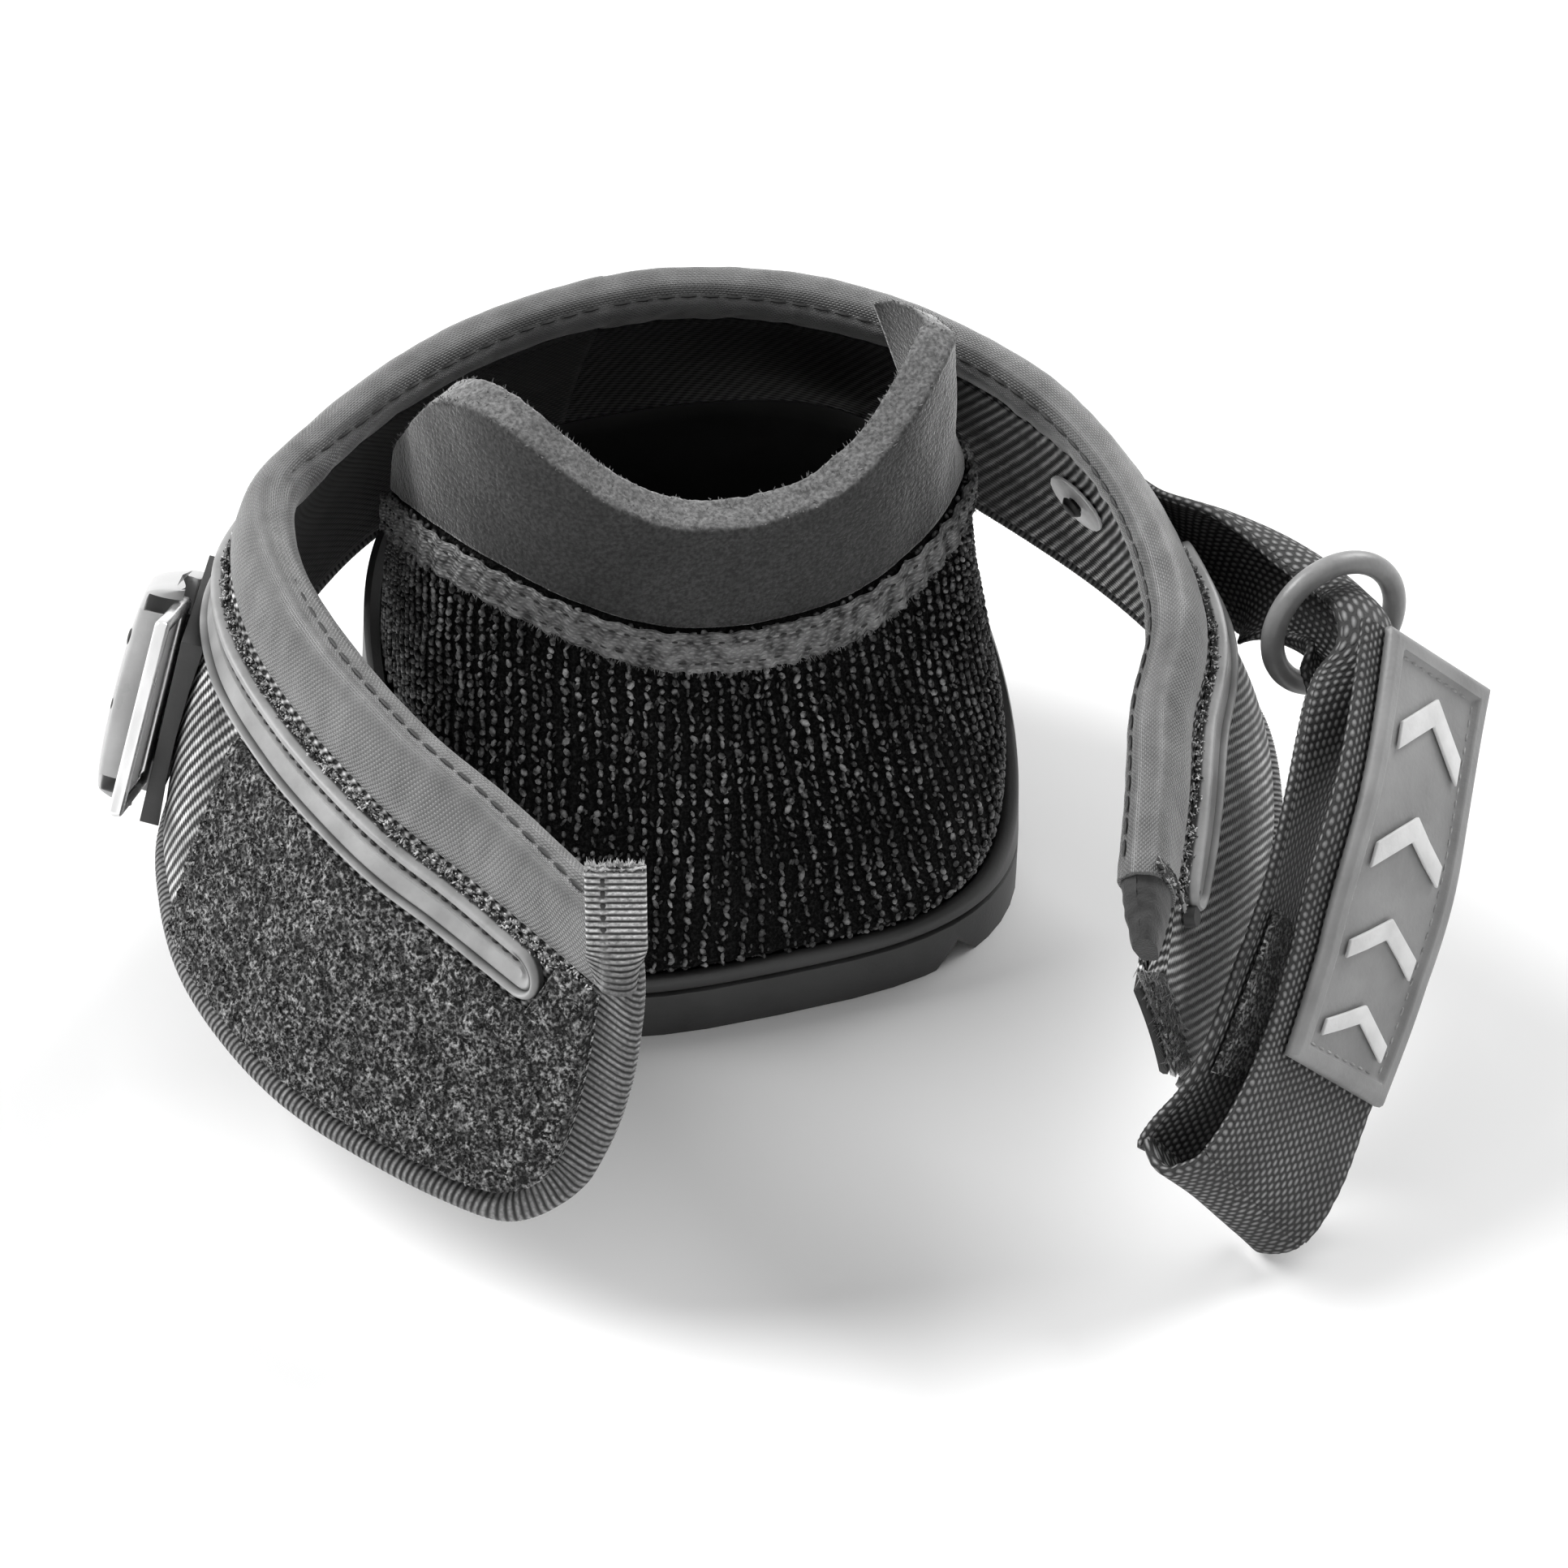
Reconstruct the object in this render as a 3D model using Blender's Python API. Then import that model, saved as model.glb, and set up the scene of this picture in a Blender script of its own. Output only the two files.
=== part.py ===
"""Horse hoof boot: a rubber shell with a knitted heel, and a collar that opens at the heel.

Metres, +Z up. The toe points along +Y and the open heel along -Y. The buckle is on the -X side
and the strap on the +X side. The origin is the middle of the tread, on the ground.
"""
import math

import bmesh
import bpy
from mathutils import Matrix, Vector

# Fits shared by every piece
SEAT_GAP = 0.0003
LAYER_GAP = 0.0005
CUT_OVERRUN = 0.004
MERGE_DISTANCE = 0.00002

# Driving sizes, which most others are shares of
SOLE_HALF_WIDTH = 0.066
SOLE_TOE_REACH = 0.084
SOLE_HEEL_REACH = 0.069
RIM_HEIGHT = 0.125
BAND_HEIGHT = 0.624 * RIM_HEIGHT

# Sole, tread and rubber shell
SOLE_THICKNESS = 0.0100
TREAD_DEPTH = 0.0052
TREAD_RIM_WIDTH = 0.019
TREAD_NOTCH_WIDTH = 0.011
FROG_PAD_HALF_WIDTH = 0.017
FROG_PAD_HALF_LENGTH = 0.027
SHELL_TOE_HEIGHT = 0.608 * RIM_HEIGHT
SHELL_WALL = 0.0035
TOE_LEAN = 0.923 * SOLE_TOE_REACH / RIM_HEIGHT
SIDE_LEAN = 0.035
SHELL_HEEL_LEAN = 0.04
HEEL_SQUARENESS = 3.0
TOE_SQUARENESS = 2.2
FOOTBED_THICKNESS = 0.0040

# Shell's top edge, as shares of the toe's height, from the heel (-90 degrees) to the toe (90)
SHELL_TOP_SHARES = (0.185, 0.185, 0.20, 0.29, 0.50, 0.74, 0.92, 0.99, 1.0, 1.0)

# Knitted heel: its seam with the foam, and its thickness
SEAM_HEIGHT = 0.648 * RIM_HEIGHT
COUNTER_WALL = 0.0026
LINING_WALL = 0.0016
COUNTER_BOTTOM = 0.0108
COUNTER_STEP = 0.0024
COUNTER_LOOK_AHEAD = math.radians(14)
HEEL_END_ANGLE = math.radians(97)

# Height, half width and reach as shares of the seam, sole width and heel reach, then squareness
HEEL_PROFILE_SHARES = (
    (0.00, 1.005, 1.005, 3.0),
    (0.22, 1.008, 0.995, 2.9),
    (0.42, 0.978, 0.940, 2.7),
    (0.62, 0.925, 0.845, 2.5),
    (0.82, 0.900, 0.745, 2.35),
    (1.00, 0.880, 0.695, 2.3),
    (1.30, 0.850, 0.720, 2.3),
    (1.60, 0.835, 0.735, 2.3),
)

# Foam collar: thickness, and the heights of seam and top from the middle to the ends
FOAM_WALL = 0.0065
FOAM_DIP_HEIGHT = 0.824 * RIM_HEIGHT
FOAM_EDGE_ROUND = 0.0012
FOAM_RIGHT_END = math.radians(74)
FOAM_TUCK_START = math.radians(56)
FOAM_TUCK = 0.0110
HEEL_RIGHT_END = math.radians(90)
SEAM_SLANT = 0.05
SEAM_RISE_SHARES = (1.0, 1.015, 1.05, 1.095, 1.13, 1.145, 1.14, 1.11, 1.05)
FOAM_RISE_SHARES = (1.0, 1.02, 1.075, 1.15, 1.215, 1.235, 1.20, 1.09, 0.95)
TAPE_WIDTH = 0.0080
TAPE_WALL = 0.0011
TAPE_GAP = 0.0009
LINING_GAP = 0.0008

# Collar band: the sizes that its stations are shares of
COLLAR_HALF_SPREAD = 1.288 * SOLE_HALF_WIDTH
COLLAR_LENGTH = 1.9643 * SOLE_TOE_REACH
HEM_REACH = 0.9286 * SOLE_TOE_REACH
PANEL_WALL = 0.0034
BAND_LINING_WALL = 0.0012
RIM_DEPTH = 0.205 * BAND_HEIGHT
RIM_ROLL_THICKNESS = 0.0092
HEM_BINDING_WIDTH = 0.0045
HEM_BINDING_THICKNESS = 0.0050
BINDING_GAP = 0.0008

# Stations from the left tip round the toe to the right tip. Each gives the rim's x, y and z as
# shares of the half spread, length and rim height, the fall to the hem as shares of the hem's
# reach and the band's height, and how far the band bows out as a share of its height.
COLLAR_STATION_SHARES = (
    (-0.66, -0.81, 0.69, -0.12, -0.04, -0.82, 0.02),
    (-0.69, -0.72, 0.72, -0.22, -0.14, -0.88, 0.02),
    (-0.76, -0.60, 0.75, -0.34, -0.18, -0.91, 0.02),
    (-0.86, -0.49, 0.78, -0.425, -0.11, -0.93, 0.03),
    (-0.95, -0.35, 0.81, -0.44, -0.05, -0.93, 0.04),
    (-1.00, -0.20, 0.84, -0.385, -0.06, -0.93, 0.05),
    (-0.97, -0.08, 0.87, -0.35, -0.06, -0.93, 0.05),
    (-0.84, -0.03, 0.90, -0.27, 0.18, -0.88, 0.06),
    (-0.69, 0.00, 0.94, -0.10, 0.43, -0.82, 0.06),
    (-0.51, 0.04, 0.96, -0.03, 0.53, -0.81, 0.05),
    (-0.33, 0.06, 0.98, 0.01, 0.60, -0.82, 0.04),
    (-0.12, 0.07, 0.99, 0.00, 0.62, -0.83, 0.04),
    (0.09, 0.06, 0.99, 0.01, 0.63, -0.83, 0.04),
    (0.34, 0.02, 0.97, 0.06, 0.67, -0.81, 0.04),
    (0.54, -0.06, 0.95, 0.15, 0.65, -0.80, 0.05),
    (0.70, -0.16, 0.92, 0.17, 0.56, -0.79, 0.05),
    (0.79, -0.29, 0.89, 0.26, 0.48, -0.79, 0.06),
    (0.80, -0.44, 0.86, 0.34, 0.46, -0.75, 0.06),
    (0.755, -0.57, 0.81, 0.48, 0.44, -0.72, 0.06),
    (0.64, -0.67, 0.76, 0.55, 0.36, -0.72, 0.04),
    (0.565, -0.76, 0.72, 0.515, 0.33, -0.72, 0.03),
    (0.48, -0.86, 0.66, 0.39, 0.26, -0.74, 0.02),
    (0.43, -0.93, 0.62, 0.26, 0.21, -0.77, 0.02),
)
LEFT_HINGE_STATION = 5.05
RIGHT_HINGE_STATION = 17.0
LAST_STATION = 22.0
STATION_STEP = 0.5

# Hinge lines where the flaps leave the fixed part of the collar
HINGE_GAP = 0.0006
HINGE_INSET = 0.0048
OPEN_RELIEF = math.radians(9)

# Trim on the band, measured down from the rim
STRIP_TOP = RIM_DEPTH + 0.003
STRIP_WIDTH = 0.0095
STRIP_THICKNESS = 0.0028
STRIP_GROOVE = 0.0013
STRIP_RIB = 0.0021
STRIP_END_FROM_LEFT = 0.0125
STRIP_END_FROM_RIGHT = 0.0085
STRIP_END_GAP = 0.42
PILE_TOP = STRIP_TOP + STRIP_WIDTH + 0.001
PILE_THICKNESS = 0.0017
PILE_HEM_MARGIN = 0.0055
PILE_END_STATION = 4.4
HOOK_TOP = RIM_DEPTH + 0.008
HOOK_THICKNESS = 0.0017
HOOK_FIRST_STATION = 18.5
TIP_CORNER_RADIUS = 0.013
TIP_CORNER_EASE = 0.002
TIP_TAPE_RISE = 0.011
RIGHT_TIP_MARGIN = 0.003

# Buckle on the left side of the fixed part
BUCKLE_STATION = 6.05
BUCKLE_BASE_HALF_LENGTH = 0.254 * BAND_HEIGHT
BUCKLE_MARGIN = 0.0017
BUCKLE_DROP = STRIP_TOP + STRIP_WIDTH + BUCKLE_MARGIN + BUCKLE_BASE_HALF_LENGTH
BUCKLE_BASE_FRONT_STATION = 6.6
BUCKLE_BASE_REAR_STATION = 5.5
BUCKLE_BASE_RISE = 0.0022
BUCKLE_BASE_STANDOFF = 0.0005
HOUSING_LENGTH = 2.22 * BUCKLE_BASE_HALF_LENGTH
HOUSING_FRONT = 0.013
HOUSING_WALL_LENGTH = 0.0085
HOUSING_REAR = 0.0125
HOUSING_HEIGHT = 0.0108
HOUSING_SLOT_HEIGHT = 0.0040
HOUSING_MOUTH_HEIGHT = 0.0084
HOUSING_ROOF = 0.0016
LOOP_LENGTH = 1.97 * BUCKLE_BASE_HALF_LENGTH
LOOP_DEPTH = 0.0280
LOOP_BAR = 0.0028
LOOP_TILT = math.radians(3)
BUCKLE_LEAN = math.radians(14)
RIVET_RADIUS = 0.0013
RIVET_HEAD_RADIUS = 0.0027
RIVET_HEAD_HEIGHT = 0.0012
BUCKLE_RIVET_REAR = -0.0014
BUCKLE_RIVET_SPACING = 1.313 * BUCKLE_BASE_HALF_LENGTH
INSIDE_HEAD_GAP = 0.0008

# Screws that hold the collar's front to the shell
SHELL_SCREW_LEFT_STATION = 9.0
SHELL_SCREW_RIGHT_STATION = 13.8
SHELL_SCREW_FROM_HEM = 0.0096
SHELL_SCREW_REACH = 0.0075

# Strap, its keeper ring and its rubber patch
STRAP_WIDTH = 0.487 * BAND_HEIGHT
STRAP_THICKNESS = 0.0019
TAPE_THICKNESS = 0.0010
TAPE_MARGIN = 0.003
ANCHOR_DROP = 0.5064 * BAND_HEIGHT
ANCHOR_LEAN = math.radians(30)
ANCHOR_FIRST_STATION = 14.95
ANCHOR_LAST_STATION = 16.30
STRAP_RIVET_STATION = 15.85
WASHER_RADIUS = 0.0072
WASHER_BORE = 0.0018
WASHER_THICKNESS = 0.0008
WASHER_STANDOFF = 0.0008
KEEPER_RADIUS = 0.3526 * STRAP_WIDTH
KEEPER_TUBE = 0.00225
KEEPER_STATION = 4.0
FOLD_STATION = 14.0
FOLD_GAP_STATIONS = 0.06
PATCH_THICKNESS = 0.0026
PATCH_WIDTH = 0.855 * STRAP_WIDTH
PATCH_SHIFT = 0.0020
PATCH_FIRST_STATION = 15.95
PATCH_FRAME_WIDTH = 0.0034
PATCH_FRAME_STATIONS = 0.15
PATCH_RECESS = 0.0012
CHEVRON_COUNT = 4
CHEVRON_HALF_WIDTH = 0.308 * PATCH_WIDTH
CHEVRON_RISE_STATIONS = 0.24
CHEVRON_STROKE_STATIONS = 0.16
CHEVRON_HEIGHT = 0.0008
TAPE_FIRST_STATION = 8.0
TAPE_LAST_STATION = 9.5

# Stations of the strap from its anchor down to the fold, then up its tail to the square end.
# Each gives the centre as shares of the collar's half spread, length and rim height, the width
# direction, and the angle that the webbing is cupped by.
STRAP_STATION_SHARES = (
    (1.062, -0.308, 0.661, 0.42, 0.02, -0.90, 0.6),
    (1.128, -0.385, 0.692, 0.20, 0.05, -0.98, 2.0),
    (1.190, -0.465, 0.696, -0.20, 0.00, -0.95, 4.3),
    (1.230, -0.537, 0.692, -0.45, -0.10, -0.85, 5.1),
    (1.220, -0.595, 0.698, -0.44, 0.02, -0.86, 5.0),
    (1.173, -0.641, 0.646, 0.20, 0.40, -0.87, 3.2),
    (1.048, -0.716, 0.539, 0.50, 0.46, -0.71, 0.7),
    (0.916, -0.806, 0.419, 0.55, 0.36, -0.74, 0.0),
    (0.790, -0.886, 0.318, 0.58, 0.22, -0.78, 0.0),
    (0.710, -0.927, 0.232, 0.61, 0.08, -0.79, 0.0),
    (0.630, -0.941, 0.152, 0.63, 0.045, -0.775, 0.0),
    (0.610, -0.963, 0.138, 0.63, 0.045, -0.775, 0.0),
    (0.624, -0.990, 0.138, 0.63, 0.045, -0.775, 0.0),
    (0.690, -1.006, 0.166, 0.63, 0.045, -0.775, 0.0),
    (0.785, -0.980, 0.218, 0.62, 0.05, -0.79, 0.0),
    (0.890, -0.930, 0.290, 0.60, 0.06, -0.80, 0.0),
    (1.018, -0.866, 0.410, 0.58, 0.00, -0.81, 0.0),
    (1.153, -0.787, 0.567, 0.55, -0.08, -0.83, 0.0),
    (1.324, -0.648, 0.722, 0.52, -0.18, -0.84, 0.0),
)

# Finishes: red, green, blue, roughness, metallic
FINISHES = {
    "rubber": (0.030, 0.030, 0.032, 0.55, 0.0),
    "knit": (0.014, 0.014, 0.015, 0.90, 0.0),
    "foam": (0.085, 0.085, 0.088, 0.92, 0.0),
    "satin": (0.095, 0.095, 0.100, 0.60, 0.0),
    "cordura": (0.050, 0.050, 0.053, 0.85, 0.0),
    "pile": (0.060, 0.060, 0.062, 0.95, 0.0),
    "binding": (0.080, 0.080, 0.083, 0.80, 0.0),
    "grey_rubber": (0.160, 0.160, 0.165, 0.50, 0.0),
    "plastic": (0.180, 0.180, 0.185, 0.40, 0.0),
    "steel": (0.620, 0.620, 0.630, 0.28, 1.0),
    "webbing": (0.040, 0.040, 0.042, 0.88, 0.0),
    "gloss_rubber": (0.040, 0.040, 0.042, 0.25, 0.0),
    "patch": (0.230, 0.230, 0.235, 0.50, 0.0),
    "pale_rubber": (0.620, 0.620, 0.620, 0.55, 0.0),
}


def clear_scene():
    for old in list(bpy.data.objects):
        bpy.data.objects.remove(old, do_unlink=True)


clear_scene()
BOOT = bpy.data.collections.new("horse_hoof_boot")
CUTTERS = bpy.data.collections.new("cutters")
bpy.context.scene.collection.children.link(BOOT)
bpy.context.scene.collection.children.link(CUTTERS)


def finish(name):
    """One material for each finish, with its colour, roughness and metallic value."""
    material = bpy.data.materials.get(name)
    if material is None:
        red, green, blue, roughness, metallic = FINISHES[name]
        material = bpy.data.materials.new(name)
        material.use_nodes = True
        shader = material.node_tree.nodes["Principled BSDF"]
        shader.inputs["Base Color"].default_value = (red, green, blue, 1.0)
        shader.inputs["Roughness"].default_value = roughness
        shader.inputs["Metallic"].default_value = metallic
    return material


def add_object(name, bm, look, origin=None, smooth=True):
    """Store a bmesh as a named part, with its origin where the piece turns, if it does."""
    bmesh.ops.recalc_face_normals(bm, faces=bm.faces)
    place = Vector(origin) if origin is not None else Vector()
    bmesh.ops.translate(bm, verts=bm.verts, vec=-place)
    mesh = bpy.data.meshes.new(name)
    bm.to_mesh(mesh)
    bm.free()
    mesh.materials.append(finish(look).copy())
    mesh.materials[0].name = name
    if smooth:
        mesh.shade_smooth()
        mesh.set_sharp_from_angle(angle=math.radians(40))
    part = bpy.data.objects.new(name, mesh)
    part.location = place
    BOOT.objects.link(part)
    return part


def add_cutter(name, bm):
    """Store a bmesh as a cutter, which is left out of the boot."""
    bmesh.ops.recalc_face_normals(bm, faces=bm.faces)
    mesh = bpy.data.meshes.new(name)
    bm.to_mesh(mesh)
    bm.free()
    cutter = bpy.data.objects.new(name, mesh)
    cutter.hide_render = True
    cutter.display_type = 'WIRE'
    CUTTERS.objects.link(cutter)
    return cutter


def cut(part, cutter, operation='DIFFERENCE'):
    modifier = part.modifiers.new(cutter.name, 'BOOLEAN')
    modifier.operation = operation
    modifier.solver = 'EXACT'
    modifier.object = cutter


def loft(rings, closed=False):
    """A solid through section rings of equal length, capped at both ends unless closed."""
    bm = bmesh.new()
    rows = [[bm.verts.new(point) for point in ring] for ring in rings]
    count = len(rows[0])
    pairs = list(zip(rows, rows[1:]))
    if closed:
        pairs.append((rows[-1], rows[0]))
    for here, there in pairs:
        for i in range(count):
            j = (i + 1) % count
            bm.faces.new((here[i], here[j], there[j], there[i]))
    if not closed:
        bm.faces.new(rows[0])
        bm.faces.new(list(reversed(rows[-1])))
    return bm


def read_along(rows, place):
    """A smooth curve (Catmull-Rom) through evenly spaced rows of numbers."""
    last = len(rows) - 1
    place = min(max(place, 0.0), float(last))
    i = min(int(place), last - 1)
    u = place - i
    before, here = rows[max(i - 1, 0)], rows[i]
    there, after = rows[i + 1], rows[min(i + 2, last)]
    values = []
    for a, b, c, d in zip(before, here, there, after):
        if i == 0:
            a = 2 * b - c
        if i == last - 1:
            d = 2 * c - b
        values.append(0.5 * (2 * b + (c - a) * u + (2 * a - 5 * b + 4 * c - d) * u * u
                             + (3 * b - a - 3 * c + d) * u * u * u))
    return values


def read_single(values, place):
    return read_along([(value,) for value in values], place)[0]


def steps(first, last, count):
    return [first + (last - first) * i / count for i in range(count + 1)]


def rounded_wave(value, power):
    return math.copysign(abs(value) ** (2 / power), value)


# Rubber sole and shell

def wall_point(angle, height, inset):
    """A point of the shell's outside at an angle (0 at +X, 90 degrees at the toe)."""
    rise = height - SOLE_THICKNESS
    half_width = SOLE_HALF_WIDTH - rise * SIDE_LEAN - inset
    if math.sin(angle) >= 0:
        reach = SOLE_TOE_REACH - rise * TOE_LEAN - inset
        power = TOE_SQUARENESS
    else:
        reach = SOLE_HEEL_REACH - rise * SHELL_HEEL_LEAN - inset
        power = HEEL_SQUARENESS
    x = half_width * rounded_wave(math.cos(angle), power)
    y = reach * rounded_wave(math.sin(angle), power)
    return Vector((x, y, height))


def shell_top(angle):
    """Height of the shell's edge: low at the heel, high at the toe."""
    climb = (math.asin(max(-1.0, min(1.0, math.sin(angle)))) + math.pi / 2) / math.pi
    share = read_single(SHELL_TOP_SHARES, climb * (len(SHELL_TOP_SHARES) - 1))
    return share * SHELL_TOE_HEIGHT


def plan_slab(bottom, top, inset, count):
    """A slab with the sole's outline."""
    outline = [wall_point(2 * math.pi * i / count, SOLE_THICKNESS, inset) for i in range(count)]
    return loft([[Vector((p.x, p.y, height)) for p in outline] for height in (bottom, top)])


def make_outsole():
    """Flat sole, with a raised tread round its rim, notched, and a pad under the frog."""
    sole = add_object("outsole", plan_slab(0.0, SOLE_THICKNESS, 0.0, 56), "rubber", smooth=False)
    count = 40
    outer, inner = [], []
    for i in range(count):
        angle = 2 * math.pi * i / count
        far = wall_point(angle, SOLE_THICKNESS, TREAD_RIM_WIDTH)
        outer.append(far)
        inner.append(Vector((FROG_PAD_HALF_WIDTH * math.cos(angle),
                             FROG_PAD_HALF_LENGTH * math.sin(angle), 0.0)))
    rings = []
    for ring, height in ((outer, -CUT_OVERRUN), (outer, TREAD_DEPTH),
                         (inner, TREAD_DEPTH), (inner, -CUT_OVERRUN)):
        rings.append([Vector((p.x, p.y, height)) for p in ring])
    cut(sole, add_cutter("tread_channel", loft(rings, closed=True)))
    for index, degrees in enumerate((90, 52, 18, -14, -62, -118, -166, 162, 128)):
        angle = math.radians(degrees)
        edge = wall_point(angle, SOLE_THICKNESS, TREAD_RIM_WIDTH / 2)
        direction = Vector((edge.x, edge.y, 0.0)).normalized()
        side = Vector((-direction.y, direction.x, 0.0))
        rings = []
        for reach in (-TREAD_RIM_WIDTH, TREAD_RIM_WIDTH):
            middle = Vector((edge.x, edge.y, 0.0)) + direction * reach
            half = side * (TREAD_NOTCH_WIDTH / 2)
            lift = Vector((0.0, 0.0, TREAD_DEPTH))
            under = Vector((0.0, 0.0, -CUT_OVERRUN))
            rings.append([middle + half + under, middle - half + under,
                          middle - half, middle + lift, middle + half])
        cut(sole, add_cutter(f"tread_notch_{index}", loft(rings)))


def make_shell():
    """Rubber wall that rises from a low lip at the heel to the toe."""
    count = 60
    bottom = SOLE_THICKNESS + SEAT_GAP
    rings = []
    for i in range(count):
        angle = 2 * math.pi * i / count
        top = shell_top(angle)
        middle = (bottom + top) / 2
        edge = SHELL_WALL / 4
        rings.append([
            wall_point(angle, bottom, 0.0),
            wall_point(angle, middle, 0.0),
            wall_point(angle, top - edge, 0.0),
            wall_point(angle, top, edge),
            wall_point(angle, top, SHELL_WALL - edge),
            wall_point(angle, top - edge, SHELL_WALL),
            wall_point(angle, middle, SHELL_WALL),
            wall_point(angle, bottom, SHELL_WALL),
        ])
    return add_object("hoof_shell", loft(rings, closed=True), "rubber")


def make_footbed():
    """Foam pad under the hoof, inside the shell."""
    bottom = SOLE_THICKNESS + SEAT_GAP
    inset = SHELL_WALL + COUNTER_WALL + LINING_WALL + 2 * LINING_GAP + SEAT_GAP
    bm = plan_slab(bottom, bottom + FOOTBED_THICKNESS, inset, 48)
    add_object("footbed_pad", bm, "foam", smooth=False)


# Knitted heel, its lining, tape and foam collar

def heel_plan(turn, height, inset):
    """A point of the heel's outside. turn is 0 at the back and grows towards +X."""
    share = height / SEAM_HEIGHT
    rows = HEEL_PROFILE_SHARES
    i = 0
    while i < len(rows) - 2 and share > rows[i + 1][0]:
        i += 1
    low, high = rows[i], rows[i + 1]
    mix = (share - low[0]) / (high[0] - low[0])
    width_share, reach_share, power = (a + (b - a) * mix for a, b in zip(low[1:], high[1:]))
    x = (SOLE_HALF_WIDTH * width_share - inset) * rounded_wave(math.sin(turn), power)
    y = -(SOLE_HEEL_REACH * reach_share - inset) * rounded_wave(math.cos(turn), power)
    return Vector((x, y, height))


def heel_turns(count):
    return steps(-HEEL_END_ANGLE, HEEL_RIGHT_END, count)


def seam_height(turn):
    share = read_single(SEAM_RISE_SHARES, abs(turn) / HEEL_END_ANGLE * (len(SEAM_RISE_SHARES) - 1))
    return SEAM_HEIGHT * share - SEAM_SLANT * SOLE_HALF_WIDTH * math.sin(turn)


def foam_height(turn):
    share = read_single(FOAM_RISE_SHARES, abs(turn) / HEEL_END_ANGLE * (len(FOAM_RISE_SHARES) - 1))
    return FOAM_DIP_HEIGHT * share


def shell_edge_at(turn):
    """The shell's edge where it passes the heel at this turn."""
    return shell_top(turn - math.pi / 2)


def inside_shell(turn, height, inset):
    """A point inside the shell's wall, kept clear of it."""
    return wall_point(turn - math.pi / 2, height, SHELL_WALL + SEAT_GAP + inset)


def counter_column(turn, inset, bottom):
    """Points up the knitted heel: inside the shell's lip, then out over it to the seam."""
    edge = shell_edge_at(turn)
    ahead = shell_edge_at(turn + math.copysign(COUNTER_LOOK_AHEAD, turn))
    seam = seam_height(turn)
    column = [inside_shell(turn, bottom, inset)]
    blend = COUNTER_STEP + 2.0 * (ahead - edge)
    for share in (0.0, 0.05, 0.2, 0.42, 0.66, 0.85, 1.0):
        height = edge + (seam - edge) * share
        mix = min(1.0, (height - edge) / blend)
        column.append(inside_shell(turn, height, inset).lerp(heel_plan(turn, height, inset), mix))
    return column


def make_counter():
    """Bulging heel of open knit, tucked into the shell at its foot."""
    rings = []
    for turn in heel_turns(30):
        outside = counter_column(turn, 0.0, COUNTER_BOTTOM)
        inside = counter_column(turn, COUNTER_WALL, COUNTER_BOTTOM)
        rings.append(outside + list(reversed(inside)))
    add_object("heel_counter", loft(rings), "knit")


def make_heel_lining():
    """Smooth lining inside the knit."""
    bottom = COUNTER_BOTTOM
    rings = []
    for turn in heel_turns(30):
        outside = counter_column(turn, COUNTER_WALL + LINING_GAP, bottom)
        inside = counter_column(turn, COUNTER_WALL + LINING_GAP + LINING_WALL, bottom)
        rings.append(outside + list(reversed(inside)))
    add_object("heel_lining", loft(rings), "satin")


def make_foam_collar():
    """Thick cut foam over the knit: low at the back, with a lobe on each side."""
    rings = []
    soft = FOAM_EDGE_ROUND
    for turn in steps(-HEEL_END_ANGLE, FOAM_RIGHT_END, 32):
        low = seam_height(turn) + SEAT_GAP
        top = foam_height(turn)
        reach = (turn - FOAM_TUCK_START) / (FOAM_RIGHT_END - FOAM_TUCK_START)
        tuck = FOAM_TUCK * max(0.0, reach)
        shares = ((0.0, 0.0), (0.35, 0.0), (0.7, 0.0), (1.0, 0.0))
        ring = []
        for share, inset in shares:
            height = low + (top - soft - low) * share
            ring.append(heel_plan(turn, height, inset + tuck * share))
        ring.append(heel_plan(turn, top, soft + tuck))
        ring.append(heel_plan(turn, top, FOAM_WALL - soft + tuck))
        for share, inset in reversed(shares):
            height = low + (top - soft - low) * share
            ring.append(heel_plan(turn, height, inset + FOAM_WALL + tuck * share))
        rings.append(ring)
    add_object("heel_foam_collar", loft(rings), "foam")


def make_seam_tape():
    """Twill tape sewn over the top of the knit."""
    rings = []
    inner = -TAPE_GAP
    for turn in heel_turns(30):
        top = seam_height(turn)
        ring = []
        for inset, heights in ((inner - TAPE_WALL, (0.0, 0.5, 1.0)), (inner, (1.0, 0.5, 0.0))):
            for share in heights:
                ring.append(heel_plan(turn, top - TAPE_WIDTH * (1 - share), inset))
        rings.append(ring)
    add_object("heel_seam_tape", loft(rings), "binding")


# Collar band: one surface that every piece of it is measured on

def station(place):
    """Rim point, fall to the hem, and bow of the band at a place along it."""
    x, y, z, fall_x, fall_y, fall_z, bow = read_along(COLLAR_STATION_SHARES, place)
    rim = Vector((x * COLLAR_HALF_SPREAD, y * COLLAR_LENGTH, z * RIM_HEIGHT))
    fall = Vector((fall_x * HEM_REACH, fall_y * HEM_REACH, fall_z * BAND_HEIGHT))
    return rim, fall, bow * BAND_HEIGHT


def ruled_point(place, share):
    rim, fall, _ = station(place)
    return rim + fall * share


def bowed_point(place, share):
    rim, fall, bow = station(place)
    nudge = STATION_STEP / 10
    along = ruled_point(place + nudge, 0.5) - ruled_point(place - nudge, 0.5)
    outward = along.cross(fall).normalized()
    return rim + fall * share + outward * (bow * 4 * share * (1 - share))


def band_normal(place, share):
    nudge = STATION_STEP / 10
    along = bowed_point(place + nudge, share) - bowed_point(place - nudge, share)
    down = bowed_point(place, share + nudge) - bowed_point(place, share - nudge)
    return along.cross(down).normalized()


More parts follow.
